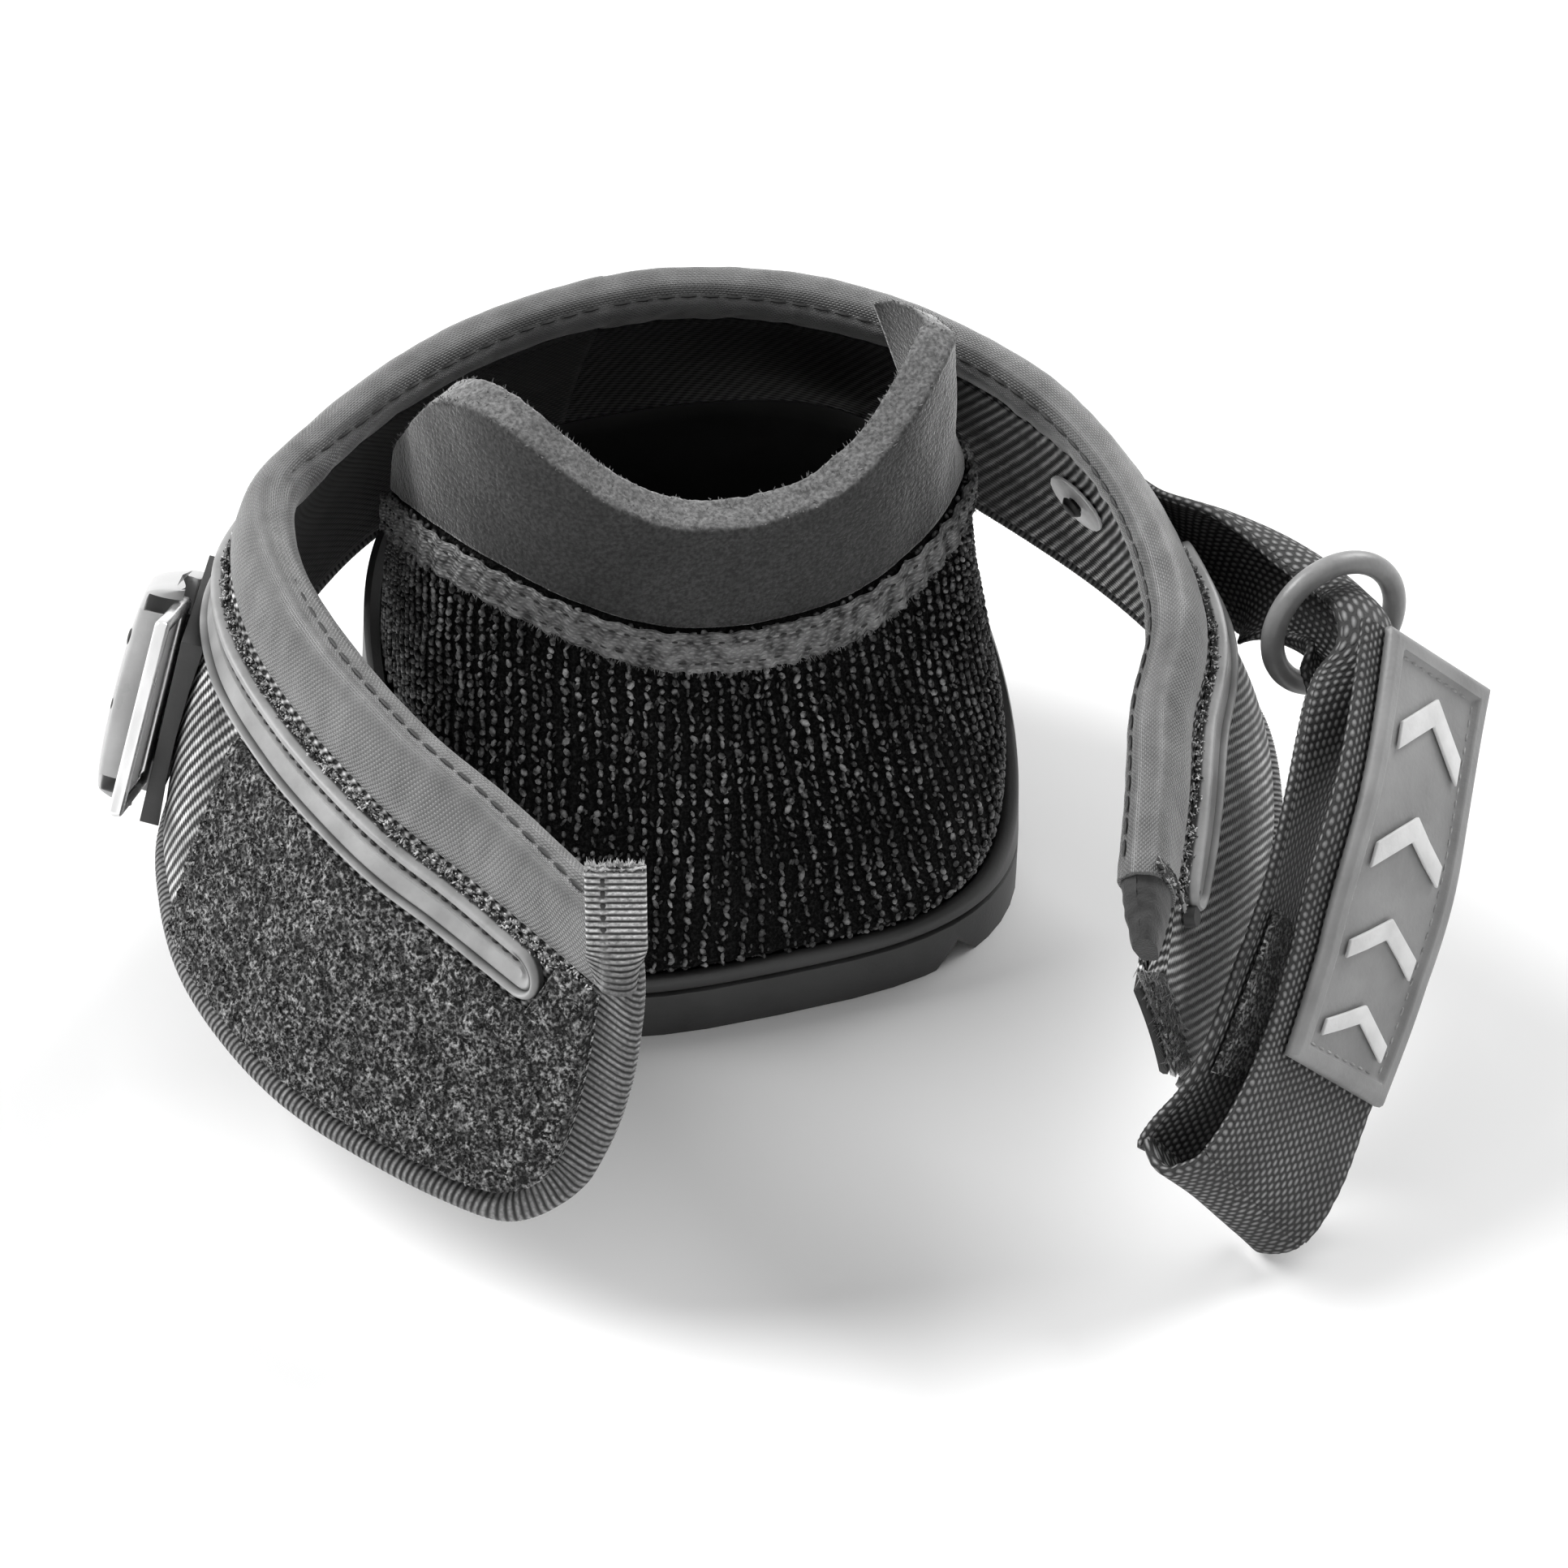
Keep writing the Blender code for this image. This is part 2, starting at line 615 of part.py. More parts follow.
def band_point(place, drop, out):
    """A point drop metres below the rim and out metres outside the band's middle surface."""
    height = band_height(place)
    share = drop / height
    return bowed_point(place, share) + band_normal(place, share) * out


def band_height(place):
    return station(place)[1].length


def band_speed(place):
    """Metres along the band for each station, halfway down it."""
    nudge = STATION_STEP / 10
    return (bowed_point(place + nudge, 0.5) - bowed_point(place - nudge, 0.5)).length / (2 * nudge)


def places_between(first, last):
    """The ends, and every grid station between them, so that layers share their facets."""
    places = [first]
    step = math.floor(first / STATION_STEP) + 1
    while step * STATION_STEP < last - STATION_STEP / 4:
        if step * STATION_STEP > first + STATION_STEP / 4:
            places.append(step * STATION_STEP)
        step += 1
    places.append(last)
    return places


LEFT_FLAP_END = LEFT_HINGE_STATION - HINGE_GAP / 2 / band_speed(LEFT_HINGE_STATION)
FRONT_START = LEFT_HINGE_STATION + HINGE_GAP / 2 / band_speed(LEFT_HINGE_STATION)
FRONT_END = RIGHT_HINGE_STATION - HINGE_GAP / 2 / band_speed(RIGHT_HINGE_STATION)
RIGHT_FLAP_START = RIGHT_HINGE_STATION + HINGE_GAP / 2 / band_speed(RIGHT_HINGE_STATION)
RIGHT_FLAP_LAST = LAST_STATION - RIGHT_TIP_MARGIN / band_speed(LAST_STATION)


def hinge_relief(place, drop, out):
    """How far a flap's cut edge leans back, so that the flap can also open outwards."""
    _, fall, bow = station(place)
    share = drop / fall.length
    stand = out + HINGE_INSET + bow * 4 * share * (1 - share)
    return max(0.0, stand) * math.tan(OPEN_RELIEF) / band_speed(place)


def band_ring(place, section):
    """Section points (drop, out) on the band, leaning back beside a hinge on a flap."""
    ring = []
    for drop, out in section:
        shift = 0.0
        if place == LEFT_FLAP_END:
            shift = -hinge_relief(place, drop, out)
        if place == RIGHT_FLAP_START:
            shift = hinge_relief(place, drop, out)
        ring.append(band_point(place + shift, drop, out))
    return ring


def band_solid(name, places, section_at, look, origin=None):
    rings = [band_ring(place, section_at(place)) for place in places]
    return add_object(name, loft(rings), look, origin)


def sheet_section(top, bottom, inner, outer, rows):
    """A rectangle down the band, with rows of points so that it follows the bow."""
    drops = steps(top, bottom, rows)
    return [(drop, outer) for drop in drops] + [(drop, inner) for drop in reversed(drops)]


PANEL_OUT = PANEL_WALL / 2
LINING_OUT = -PANEL_OUT - LAYER_GAP
LINING_IN = LINING_OUT - BAND_LINING_WALL
PANEL_TOP = RIM_DEPTH + SEAT_GAP
TRIM_OUT = PANEL_OUT + LAYER_GAP


def corner_rise(distance, radius):
    """How far a rounded corner lifts the hem at a distance from the flap's tip."""
    if distance >= radius:
        return 0.0
    return radius - math.sqrt(max(0.0, radius * radius - (radius - distance) ** 2))


def left_tip_distance(place):
    return place * band_speed(STATION_STEP)


def sheet_bottom(place):
    """Lower edge of panel and lining, inside the binding and round the left tip's corner."""
    bottom = band_height(place) - HEM_BINDING_WIDTH - BINDING_GAP
    if place < LEFT_HINGE_STATION:
        inside = left_tip_distance(place) - HEM_BINDING_WIDTH - BINDING_GAP
        radius = TIP_CORNER_RADIUS - HEM_BINDING_WIDTH + TIP_CORNER_EASE
        bottom -= corner_rise(max(0.0, inside), radius)
    return bottom


def panel_section(place):
    return sheet_section(PANEL_TOP, sheet_bottom(place), -PANEL_OUT, PANEL_OUT, 5)


def lining_section(place):
    return sheet_section(PANEL_TOP, sheet_bottom(place), LINING_IN, LINING_OUT, 5)


def rim_section(_place):
    """Fat padded roll that thins to the panel."""
    half = RIM_ROLL_THICKNESS / 2
    foot = PANEL_OUT + BAND_LINING_WALL
    shares = ((0.0, 0.0), (0.09, 0.74), (0.30, 1.0), (0.60, 0.92))
    outside = [(RIM_DEPTH * depth, half * width) for depth, width in shares]
    inside = [(RIM_DEPTH * depth, -half * width) for depth, width in reversed(shares[1:])]
    return outside + [(RIM_DEPTH, foot), (RIM_DEPTH, -foot)] + inside


def strip_section(_place):
    """Rubber strip with two raised ribs and a groove between them."""
    top, bottom = STRIP_TOP, STRIP_TOP + STRIP_WIDTH
    low, high = TRIM_OUT, TRIM_OUT + STRIP_THICKNESS
    groove = high - STRIP_GROOVE
    return [(top, low), (top, high), (top + STRIP_RIB, high), (top + STRIP_RIB, groove),
            (bottom - STRIP_RIB, groove), (bottom - STRIP_RIB, high), (bottom, high), (bottom, low)]


def hem_section(place):
    """Binding along the hem, rounded underneath."""
    bottom = band_height(place)
    top = bottom - HEM_BINDING_WIDTH
    half = HEM_BINDING_THICKNESS / 2
    return [(top, half), (bottom - half / 2, half), (bottom, half / 2),
            (bottom, -half / 2), (bottom - half / 2, -half), (top, -half)]


def pile_section(place):
    bottom = sheet_bottom(place) - (PILE_HEM_MARGIN - HEM_BINDING_WIDTH)
    return sheet_section(PILE_TOP, bottom, TRIM_OUT, TRIM_OUT + PILE_THICKNESS, 4)


def hook_section(place):
    outer = LINING_IN - LAYER_GAP
    return sheet_section(HOOK_TOP, sheet_bottom(place), outer - HOOK_THICKNESS, outer, 4)


def hinge_axis(place):
    """Top and bottom of a flap's hinge line, just inside the lining."""
    rim, fall, _ = station(place)
    inward = -band_normal(place, 0.5) * HINGE_INSET
    return rim + inward, rim + fall + inward


def make_front():
    """Fixed part of the collar, round the toe."""
    places = places_between(FRONT_START, FRONT_END)
    panel = band_solid("collar_panel", places, panel_section, "cordura")
    lining = band_solid("collar_lining", places, lining_section, "cordura")
    band_solid("collar_rim", places, rim_section, "satin")
    strip_places = places_between(FRONT_START, ANCHOR_FIRST_STATION - STRIP_END_GAP)
    band_solid("collar_rubber_strip", strip_places, strip_section, "grey_rubber")
    band_solid("collar_hem_binding", places, hem_section, "binding")
    return panel, lining


def tip_places(tip):
    """Closer places round the left tip's corner."""
    return [tip, tip + STATION_STEP / 5, STATION_STEP]


def make_left_flap():
    """Flap behind the buckle, faced with loop pile."""
    origin = hinge_axis(LEFT_HINGE_STATION)[0]
    tip = (HEM_BINDING_WIDTH + BINDING_GAP) / band_speed(STATION_STEP)
    places = tip_places(tip) + places_between(1.5 * STATION_STEP, LEFT_FLAP_END)
    band_solid("left_flap_panel", places, panel_section, "cordura", origin)
    band_solid("left_flap_lining", places, lining_section, "cordura", origin)
    rim_places = places_between(tip, LEFT_FLAP_END)
    band_solid("left_flap_rim", rim_places, rim_section, "satin", origin)
    strip_first = STRIP_END_FROM_LEFT / band_speed(STATION_STEP)
    strip_places = places_between(strip_first, LEFT_FLAP_END)
    band_solid("left_flap_rubber_strip", strip_places, strip_section, "grey_rubber", origin)
    pile_places = tip_places(tip) + places_between(1.5 * STATION_STEP, PILE_END_STATION)
    band_solid("left_flap_loop_pile", pile_places, pile_section, "pile", origin)
    make_left_binding(origin)


def make_left_binding(origin):
    """One tape round the hem, the rounded tip and up past the rim."""
    speed = band_speed(STATION_STEP)
    radius = TIP_CORNER_RADIUS
    route = []
    for place in reversed(places_between(radius / speed, LEFT_FLAP_END)):
        route.append((place, band_height(place), 0.0, -1.0))
    for i in range(1, 5):
        turn = math.pi / 2 * i / 4
        place = radius * (1 - math.sin(turn)) / speed
        drop = band_height(place) - radius * (1 - math.cos(turn))
        route.append((place, drop, math.sin(turn), -math.cos(turn)))
    for share in (0.8, 0.6, 0.4, 0.2, 0.0):
        drop = -TIP_TAPE_RISE + (band_height(0.0) - radius + TIP_TAPE_RISE) * share
        route.append((0.0, drop, 1.0, 0.0))
    half = HEM_BINDING_THICKNESS / 2
    shares = ((1.0, 1.0), (0.25, 1.0), (0.0, 0.5), (0.0, -0.5), (0.25, -1.0), (1.0, -1.0))
    rings = []
    for place, drop, along, down in route:
        ring = []
        for depth, side in shares:
            inward = HEM_BINDING_WIDTH * depth
            here = place + along * inward / speed
            below = drop + down * inward
            if place == LEFT_FLAP_END:
                here -= hinge_relief(place, below, half * side)
            ring.append(band_point(here, below, half * side))
        rings.append(ring)
    add_object("left_flap_binding", loft(rings), "binding", origin)


def make_right_flap():
    """Flap on the strap's side, with a hook patch inside."""
    origin = hinge_axis(RIGHT_HINGE_STATION)[0]
    places = places_between(RIGHT_FLAP_START, RIGHT_FLAP_LAST)
    band_solid("right_flap_panel", places, panel_section, "cordura", origin)
    band_solid("right_flap_lining", places, lining_section, "cordura", origin)
    band_solid("right_flap_rim", places, rim_section, "satin", origin)
    strip_last = LAST_STATION - STRIP_END_FROM_RIGHT / band_speed(LAST_STATION)
    strip_places = places_between(RIGHT_FLAP_START, strip_last)
    band_solid("right_flap_rubber_strip", strip_places, strip_section, "grey_rubber", origin)
    band_solid("right_flap_hem_binding", places, hem_section, "binding", origin)
    hook_places = places_between(HOOK_FIRST_STATION, RIGHT_FLAP_LAST)
    band_solid("right_flap_hook_patch", hook_places, hook_section, "pile", origin)


# Buckle: base, housing, pin and steel loop

def buckle_frame():
    """Origin on the base's flat top, then the rearward, downward and outward directions."""
    share = BUCKLE_DROP / band_height(BUCKLE_STATION)
    outward = band_normal(BUCKLE_STATION, share)
    down = station(BUCKLE_STATION)[1].normalized()
    down = (down - outward * down.dot(outward)).normalized()
    down = (down + outward.cross(down) * math.tan(BUCKLE_LEAN)).normalized()
    rearward = outward.cross(down)
    crown = band_point(BUCKLE_STATION, BUCKLE_DROP, TRIM_OUT)
    return crown + outward * BUCKLE_BASE_RISE, rearward, down, outward


def buckle_point(rear, low, out):
    origin, rearward, down, outward = buckle_frame()
    return origin + rearward * rear + down * low + outward * out


def make_buckle_base():
    """Moulded plate: curved to the collar underneath, flat on top."""
    origin, _, _, outward = buckle_frame()
    rings = []
    for place in places_between(BUCKLE_BASE_REAR_STATION, BUCKLE_BASE_FRONT_STATION):
        under, above = [], []
        for share in (-1.0, -0.5, 0.0, 0.5, 1.0):
            drop = BUCKLE_DROP + BUCKLE_BASE_HALF_LENGTH * share
            foot = band_point(place, drop, TRIM_OUT + BUCKLE_BASE_STANDOFF)
            under.append(foot)
            above.append(foot + outward * (origin - foot).dot(outward))
        rings.append(under + list(reversed(above)))
    return add_object("buckle_base", loft(rings), "plastic", smooth=False)


def make_buckle_housing():
    """Domed cover, open to the rear, that holds the pin and the loop."""
    floor = SEAT_GAP
    rings = []
    for share, rise_share in ((-1.0, 0.50), (-0.93, 0.68), (-0.75, 0.86), (-0.4, 0.97), (0.0, 1.0),
                              (0.4, 1.0), (0.75, 0.95), (0.93, 0.82), (1.0, 0.64)):
        low = HOUSING_LENGTH / 2 * share
        top = HOUSING_MOUTH_HEIGHT + HOUSING_ROOF + (
            HOUSING_HEIGHT - HOUSING_MOUTH_HEIGHT - HOUSING_ROOF) * rise_share
        front = -HOUSING_FRONT
        wall = front + HOUSING_WALL_LENGTH
        rear = HOUSING_REAR
        outline = ((front, floor), (front, top * 0.5), (front + (wall - front) * 0.45, top * 0.9),
                   (wall, top), (rear * 0.6, top), (rear, HOUSING_MOUTH_HEIGHT + HOUSING_ROOF),
                   (rear, HOUSING_MOUTH_HEIGHT), (wall, HOUSING_SLOT_HEIGHT), (wall, floor))
        rings.append([buckle_point(rearward, low, out) for rearward, out in outline])
    return add_object("buckle_housing", loft(rings), "plastic")


PIN_REAR = HOUSING_FRONT / 3
PIN_OUT = SEAT_GAP * 2 + LOOP_BAR / 2


def make_buckle_loop():
    """Closed rectangle of steel bar that turns on the pin and takes the strap."""
    pivot = buckle_point(PIN_REAR, 0.0, PIN_OUT)
    half_long = LOOP_LENGTH / 2
    half_bar = LOOP_BAR / 2
    cosine, sine = math.cos(LOOP_TILT), math.sin(LOOP_TILT)
    corners = ((0.0, -1), (1.0, -1), (1.0, 1), (0.0, 1))
    rings = []
    for depth_share, side in corners:
        inner_depth = depth_share * (LOOP_DEPTH - LOOP_BAR)
        ring = []
        for deep, out in ((-1, -1), (1, -1), (1, 1), (-1, 1)):
            sign = 1 if depth_share == 1.0 else -1
            along = inner_depth + sign * deep * half_bar
            low = side * (half_long - half_bar + deep * half_bar)
            rise = out * half_bar
            rear = PIN_REAR + along * cosine - rise * sine
            lift = PIN_OUT + along * sine + rise * cosine
            ring.append(buckle_point(rear, low, lift))
        rings.append(ring)
    part = add_object("buckle_loop", loft(rings, closed=True), "steel", pivot, smooth=False)
    return part


def turned_solid(name, place, axis, profile, look, sides=20, origin=None):
    """A round piece: profile points (radius, height) turned about an axis."""
    bm = bmesh.new()
    verts = [bm.verts.new((radius, 0.0, height)) for radius, height in profile]
    edges = [bm.edges.new(pair) for pair in zip(verts, verts[1:])]
    bmesh.ops.spin(bm, geom=verts + edges, axis=(0, 0, 1), cent=(0, 0, 0),
                   angle=2 * math.pi, steps=sides, use_merge=True)
    bmesh.ops.remove_doubles(bm, verts=bm.verts, dist=MERGE_DISTANCE)
    turn = Vector((0, 0, 1)).rotation_difference(Vector(axis)).to_matrix().to_4x4()
    bmesh.ops.transform(bm, matrix=Matrix.Translation(place) @ turn, verts=bm.verts)
    if name is None:
        return bm
    return add_object(name, bm, look, origin)


def drill(name, parts, foot, head, radius):
    """A round hole through the named parts, from foot to head."""
    axis = head - foot
    profile = ((0.0, -CUT_OVERRUN), (radius, -CUT_OVERRUN),
               (radius, axis.length + CUT_OVERRUN), (0.0, axis.length + CUT_OVERRUN))
    bm = turned_solid(None, foot, axis.normalized(), profile, None, sides=12)
    cutter = add_cutter(name, bm)
    for part in parts:
        cut(part, cutter)


def headed_solid(name, foot, head, look):
    """A shank from foot to head with a cap at each end, seated a fit's gap off."""
    axis = head - foot
    cap = RIVET_HEAD_HEIGHT
    rim = RIVET_HEAD_RADIUS * 0.7
    low, high = -SEAT_GAP, axis.length + SEAT_GAP
    profile = ((0.0, low - cap), (rim, low - cap), (RIVET_HEAD_RADIUS, low), (RIVET_RADIUS, low),
               (RIVET_RADIUS, high), (RIVET_HEAD_RADIUS, high), (rim, high + cap),
               (0.0, high + cap))
    turned_solid(name, foot, axis.normalized(), profile, look, sides=12)


def make_rivet(name, place, drop, foot_out, head_out, parts):
    """A rivet square to the band, with its hole through the parts that it joins."""
    axis = band_normal(place, drop / band_height(place))
    middle = band_point(place, drop, 0.0)
    foot = middle + axis * foot_out
    head = middle + axis * head_out
    headed_solid(name, foot, head, "steel")
    drill(name + "_hole", parts, foot, head, RIVET_RADIUS + SEAT_GAP)


def place_under(rear, low):
    """The band's place and drop under a point of the buckle, found by stepping towards it."""
    origin, rearward, down, _ = buckle_frame()
    place, drop = BUCKLE_STATION, BUCKLE_DROP + low
    for _ in range(6):
        miss = band_point(place, drop, 0.0) - origin
        place += (miss.dot(rearward) - rear) / band_speed(place)
        drop += low - miss.dot(down)
    return place, drop


def make_buckle_rivets(parts):
    origin, _, _, outward = buckle_frame()
    for name, side in (("buckle_rivet_upper", -0.5), ("buckle_rivet_lower", 0.5)):
        place, drop = place_under(BUCKLE_RIVET_REAR, BUCKLE_RIVET_SPACING * side)
        foot = band_point(place, drop, LINING_IN)
        head = foot + outward * (origin - foot).dot(outward)
        foot = foot - outward * INSIDE_HEAD_GAP
        headed_solid(name, foot, head, "steel")
        drill(name + "_hole", parts, foot, head, RIVET_RADIUS + SEAT_GAP)


def make_buckle(panel, lining):
    base = make_buckle_base()
    make_buckle_housing()
    make_buckle_loop()
    make_buckle_rivets([base, panel, lining])


def make_shell_screws(shell, panel, lining):
    drop = band_height(SHELL_SCREW_LEFT_STATION) - SHELL_SCREW_FROM_HEM
    for name, place in (("shell_screw_left", SHELL_SCREW_LEFT_STATION),
                        ("shell_screw_right", SHELL_SCREW_RIGHT_STATION)):
        make_rivet(name, place, drop, LINING_IN - SHELL_SCREW_REACH, PANEL_OUT,
                   [shell, panel, lining])


def make_strap_rivet(anchor, panel, lining):
    """Rivet and washer that hold the strap's end to the collar."""
    drop = ANCHOR_DROP
    face = LINING_IN - WASHER_STANDOFF
    make_rivet("strap_rivet", STRAP_RIVET_STATION, drop, face - WASHER_THICKNESS - SEAT_GAP,
               TRIM_OUT + STRAP_THICKNESS, [anchor, panel, lining])
    axis = band_normal(STRAP_RIVET_STATION, drop / band_height(STRAP_RIVET_STATION))
    foot = band_point(STRAP_RIVET_STATION, drop, 0.0) + axis * (face - WASHER_THICKNESS)
    profile = ((WASHER_BORE, 0.0), (WASHER_RADIUS, 0.0), (WASHER_RADIUS, WASHER_THICKNESS),
               (WASHER_BORE, WASHER_THICKNESS), (WASHER_BORE, 0.0))
    turned_solid("rivet_washer", foot, axis, profile, "steel", sides=20)


# Strap, fold, tail, ring and patch

def strap_rows(shares):
    rows = []
    for x, y, z, wide_x, wide_y, wide_z, cup in shares:
        rows.append((x * COLLAR_HALF_SPREAD, y * COLLAR_LENGTH, z * RIM_HEIGHT,
                     wide_x, wide_y, wide_z, cup))
    return rows


def anchor_point(place, across, out):
    """A point of the anchor, which lies square to the band's run although the fall doesn't."""
    drop = ANCHOR_DROP + across / math.cos(ANCHOR_LEAN)
    place += across * math.tan(ANCHOR_LEAN) / band_speed(place)
    return band_point(place, drop, out)


def anchor_row():
    """Where the strap leaves the collar, behind its anchor."""
    place = ANCHOR_LAST_STATION + SEAT_GAP * 4 / band_speed(ANCHOR_LAST_STATION)
    out = TRIM_OUT + LAYER_GAP + STRAP_THICKNESS / 2
    top = anchor_point(place, -STRAP_WIDTH / 2, out)
    bottom = anchor_point(place, STRAP_WIDTH / 2, out)
    crown = anchor_point(place, 0.0, out)
    outward = band_normal(place, ANCHOR_DROP / band_height(place))
    bulge = (crown - (top + bottom) / 2).dot(outward)
    centre = crown - outward * (bulge / 3)
    return tuple(centre) + tuple((bottom - top).normalized()) + (8 * bulge / STRAP_WIDTH,)


STRAP_ROWS = [anchor_row()] + strap_rows(STRAP_STATION_SHARES)
STRAP_END = len(STRAP_ROWS) - 1.0


def strap_frame(place):
    """Centre, direction, width direction and face normal of the strap at a place."""
    values = read_along(STRAP_ROWS, place)
    nudge = STATION_STEP / 10
    ahead = Vector(read_along(STRAP_ROWS, place + nudge)[:3])
    behind = Vector(read_along(STRAP_ROWS, place - nudge)[:3])
    along = (ahead - behind).normalized()
    wide = Vector(values[3:6])
    wide = (wide - along * wide.dot(along)).normalized()
    return Vector(values[:3]), along, wide, along.cross(wide), values[6]


def ribbon_ring(place, width, inner, outer, points, shift=0.0):
    """A strap's section: flat, or an arc whose wrap in radians is the cup value."""
    centre, _, wide, face, cup = strap_frame(place)
    centre = centre + wide * shift
    ring = []
    for offset, order in ((outer, range(points)), (inner, range(points - 1, -1, -1))):
        for i in order:
            share = i / (points - 1) - 0.5
            if abs(cup) < 0.05:
                ring.append(centre + wide * (width * share) + face * offset)
                continue
            radius = width / cup
            angle = share * cup
            level = radius * math.sin(cup / 2) / (cup / 2)
            reach = radius + offset
            ring.append(centre + wide * (reach * math.sin(angle))
                        + face * (reach * math.cos(angle) - level))
    return ring


def ribbon(name, places, width, inner, outer, look, points=5, origin=None, shift=0.0):
    rings = [ribbon_ring(place, width, inner, outer, points, shift) for place in places]
    return add_object(name, loft(rings), look, origin)


def make_anchor():
    """Strap end that lies on the collar under its rivet."""
    section = sheet_section(-STRAP_WIDTH / 2, STRAP_WIDTH / 2, TRIM_OUT,
                            TRIM_OUT + STRAP_THICKNESS, 4)
    places = places_between(ANCHOR_FIRST_STATION, ANCHOR_LAST_STATION)
    rings = [[anchor_point(place, across, out) for across, out in section] for place in places]
    return add_object("strap_anchor", loft(rings), "webbing")


def make_strap():
    """Webbing from the anchor, through the ring, down and round most of the fold."""
    half = STRAP_THICKNESS / 2
    places = steps(0.0, 6.0, 24) + steps(6.5, 10.0, 7)
    places += steps(10.5, FOLD_STATION - FOLD_GAP_STATIONS, 8)
    origin = STRAP_ROWS[0][:3]
    ribbon("strap_leg", places, STRAP_WIDTH, -half, half, "webbing", points=9, origin=origin)
    low = half + LAYER_GAP
    ribbon("strap_loop_tape", steps(TAPE_FIRST_STATION, TAPE_LAST_STATION, 3),
           STRAP_WIDTH - 2 * TAPE_MARGIN, low, low + TAPE_THICKNESS, "pile", points=9,
           origin=origin)


def make_keeper_ring():
    """Ring round the cupped strap, on the centre of the strap's curl."""
    centre, along, _, face, cup = strap_frame(KEEPER_STATION)
    centre = centre - face * (STRAP_WIDTH / cup * math.sin(cup / 2) / (cup / 2))
    bm = bmesh.new()
    sides = 8
    verts = []
    for i in range(sides):
        angle = 2 * math.pi * i / sides
        verts.append(bm.verts.new((KEEPER_RADIUS + KEEPER_TUBE * math.cos(angle), 0.0,
                                   KEEPER_TUBE * math.sin(angle))))
    edges = [bm.edges.new((verts[i], verts[(i + 1) % sides])) for i in range(sides)]
    bmesh.ops.spin(bm, geom=verts + edges, axis=(0, 0, 1), cent=(0, 0, 0),
                   angle=2 * math.pi, steps=28, use_merge=True)
    bmesh.ops.remove_doubles(bm, verts=bm.verts, dist=MERGE_DISTANCE)
    turn = Vector((0, 0, 1)).rotation_difference(along).to_matrix().to_4x4()
    bmesh.ops.transform(bm, matrix=Matrix.Translation(centre) @ turn, verts=bm.verts)
    add_object("keeper_ring", bm, "gloss_rubber", centre)


def make_tail():
    """Tail of the strap above the fold, with its hook tape and its rubber patch."""
    first = FOLD_STATION + FOLD_GAP_STATIONS
    half = STRAP_THICKNESS / 2
    centre, _, _, face, _ = strap_frame(FOLD_STATION)
    origin = centre - face * half
    ribbon("strap_tail", steps(first, STRAP_END, 14), STRAP_WIDTH, -half, half, "webbing",
           points=3, origin=origin)
    low = half + LAYER_GAP
    ribbon("strap_hook_tape", steps(FOLD_STATION + 1.0, STRAP_END - 1.5, 6),
           STRAP_WIDTH - 2 * TAPE_MARGIN, low, low + TAPE_THICKNESS, "pile", points=3,
           origin=origin)
    top = low + PATCH_THICKNESS
    patch = ribbon("strap_patch", steps(PATCH_FIRST_STATION, STRAP_END, 9), PATCH_WIDTH,
                   -top, -low, "patch", points=3, origin=origin, shift=PATCH_SHIFT)
    floor = top - PATCH_RECESS
    places = steps(PATCH_FIRST_STATION + PATCH_FRAME_STATIONS, STRAP_END - PATCH_FRAME_STATIONS, 9)
    rings = [ribbon_ring(place, PATCH_WIDTH - 2 * PATCH_FRAME_WIDTH, -top - CUT_OVERRUN,
                         -floor, 3, PATCH_SHIFT) for place in places]
    cut(patch, add_cutter("patch_recess", loft(rings)))
    gap = (places[-1] - places[0]) / CHEVRON_COUNT
    for index in range(CHEVRON_COUNT):
        make_chevron(index + 1, places[0] + gap * (index + 0.28), floor, origin)


def make_chevron(number, place, floor, origin):
    """A pale raised chevron in the patch's recess, pointing up the strap."""
    rings = []
    for share in (-1.0, -0.5, 0.0, 0.5, 1.0):
        foot = place + CHEVRON_RISE_STATIONS * (1 - abs(share))
        ring = []
        for along, out in ((foot, floor), (foot, floor + CHEVRON_HEIGHT),
                           (foot + CHEVRON_STROKE_STATIONS, floor + CHEVRON_HEIGHT),
                           (foot + CHEVRON_STROKE_STATIONS, floor)):
            centre, _, wide, face, _ = strap_frame(along)
            across = PATCH_SHIFT + CHEVRON_HALF_WIDTH * share
            ring.append(centre + wide * across - face * (out + SEAT_GAP))
        rings.append(ring)
    add_object(f"patch_chevron_{number}", loft(rings), "pale_rubber", origin, smooth=False)


make_outsole()
hoof_shell = make_shell()
make_footbed()
make_counter()
make_heel_lining()
make_foam_collar()
make_seam_tape()
collar_panel, collar_lining = make_front()
make_left_flap()
make_right_flap()
make_buckle(collar_panel, collar_lining)
make_shell_screws(hoof_shell, collar_panel, collar_lining)
strap_anchor = make_anchor()
make_strap_rivet(strap_anchor, collar_panel, collar_lining)
make_strap()
make_keeper_ring()
make_tail()
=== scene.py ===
"""Horse hoof boot, dressed for the picture: cloth, knit, foam, rubber, stitches and metal.

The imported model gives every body, joint and size, in metres, with +Z up, the toe along +Y, the
open heel along -Y, the buckle at -X and the strap at +X. Each section below makes one piece of
the boot, from the sole up to the strap's patch.
"""
import functools
import math
import random

import bmesh
import bpy
import numpy as np
from mathutils import Matrix, Vector, noise


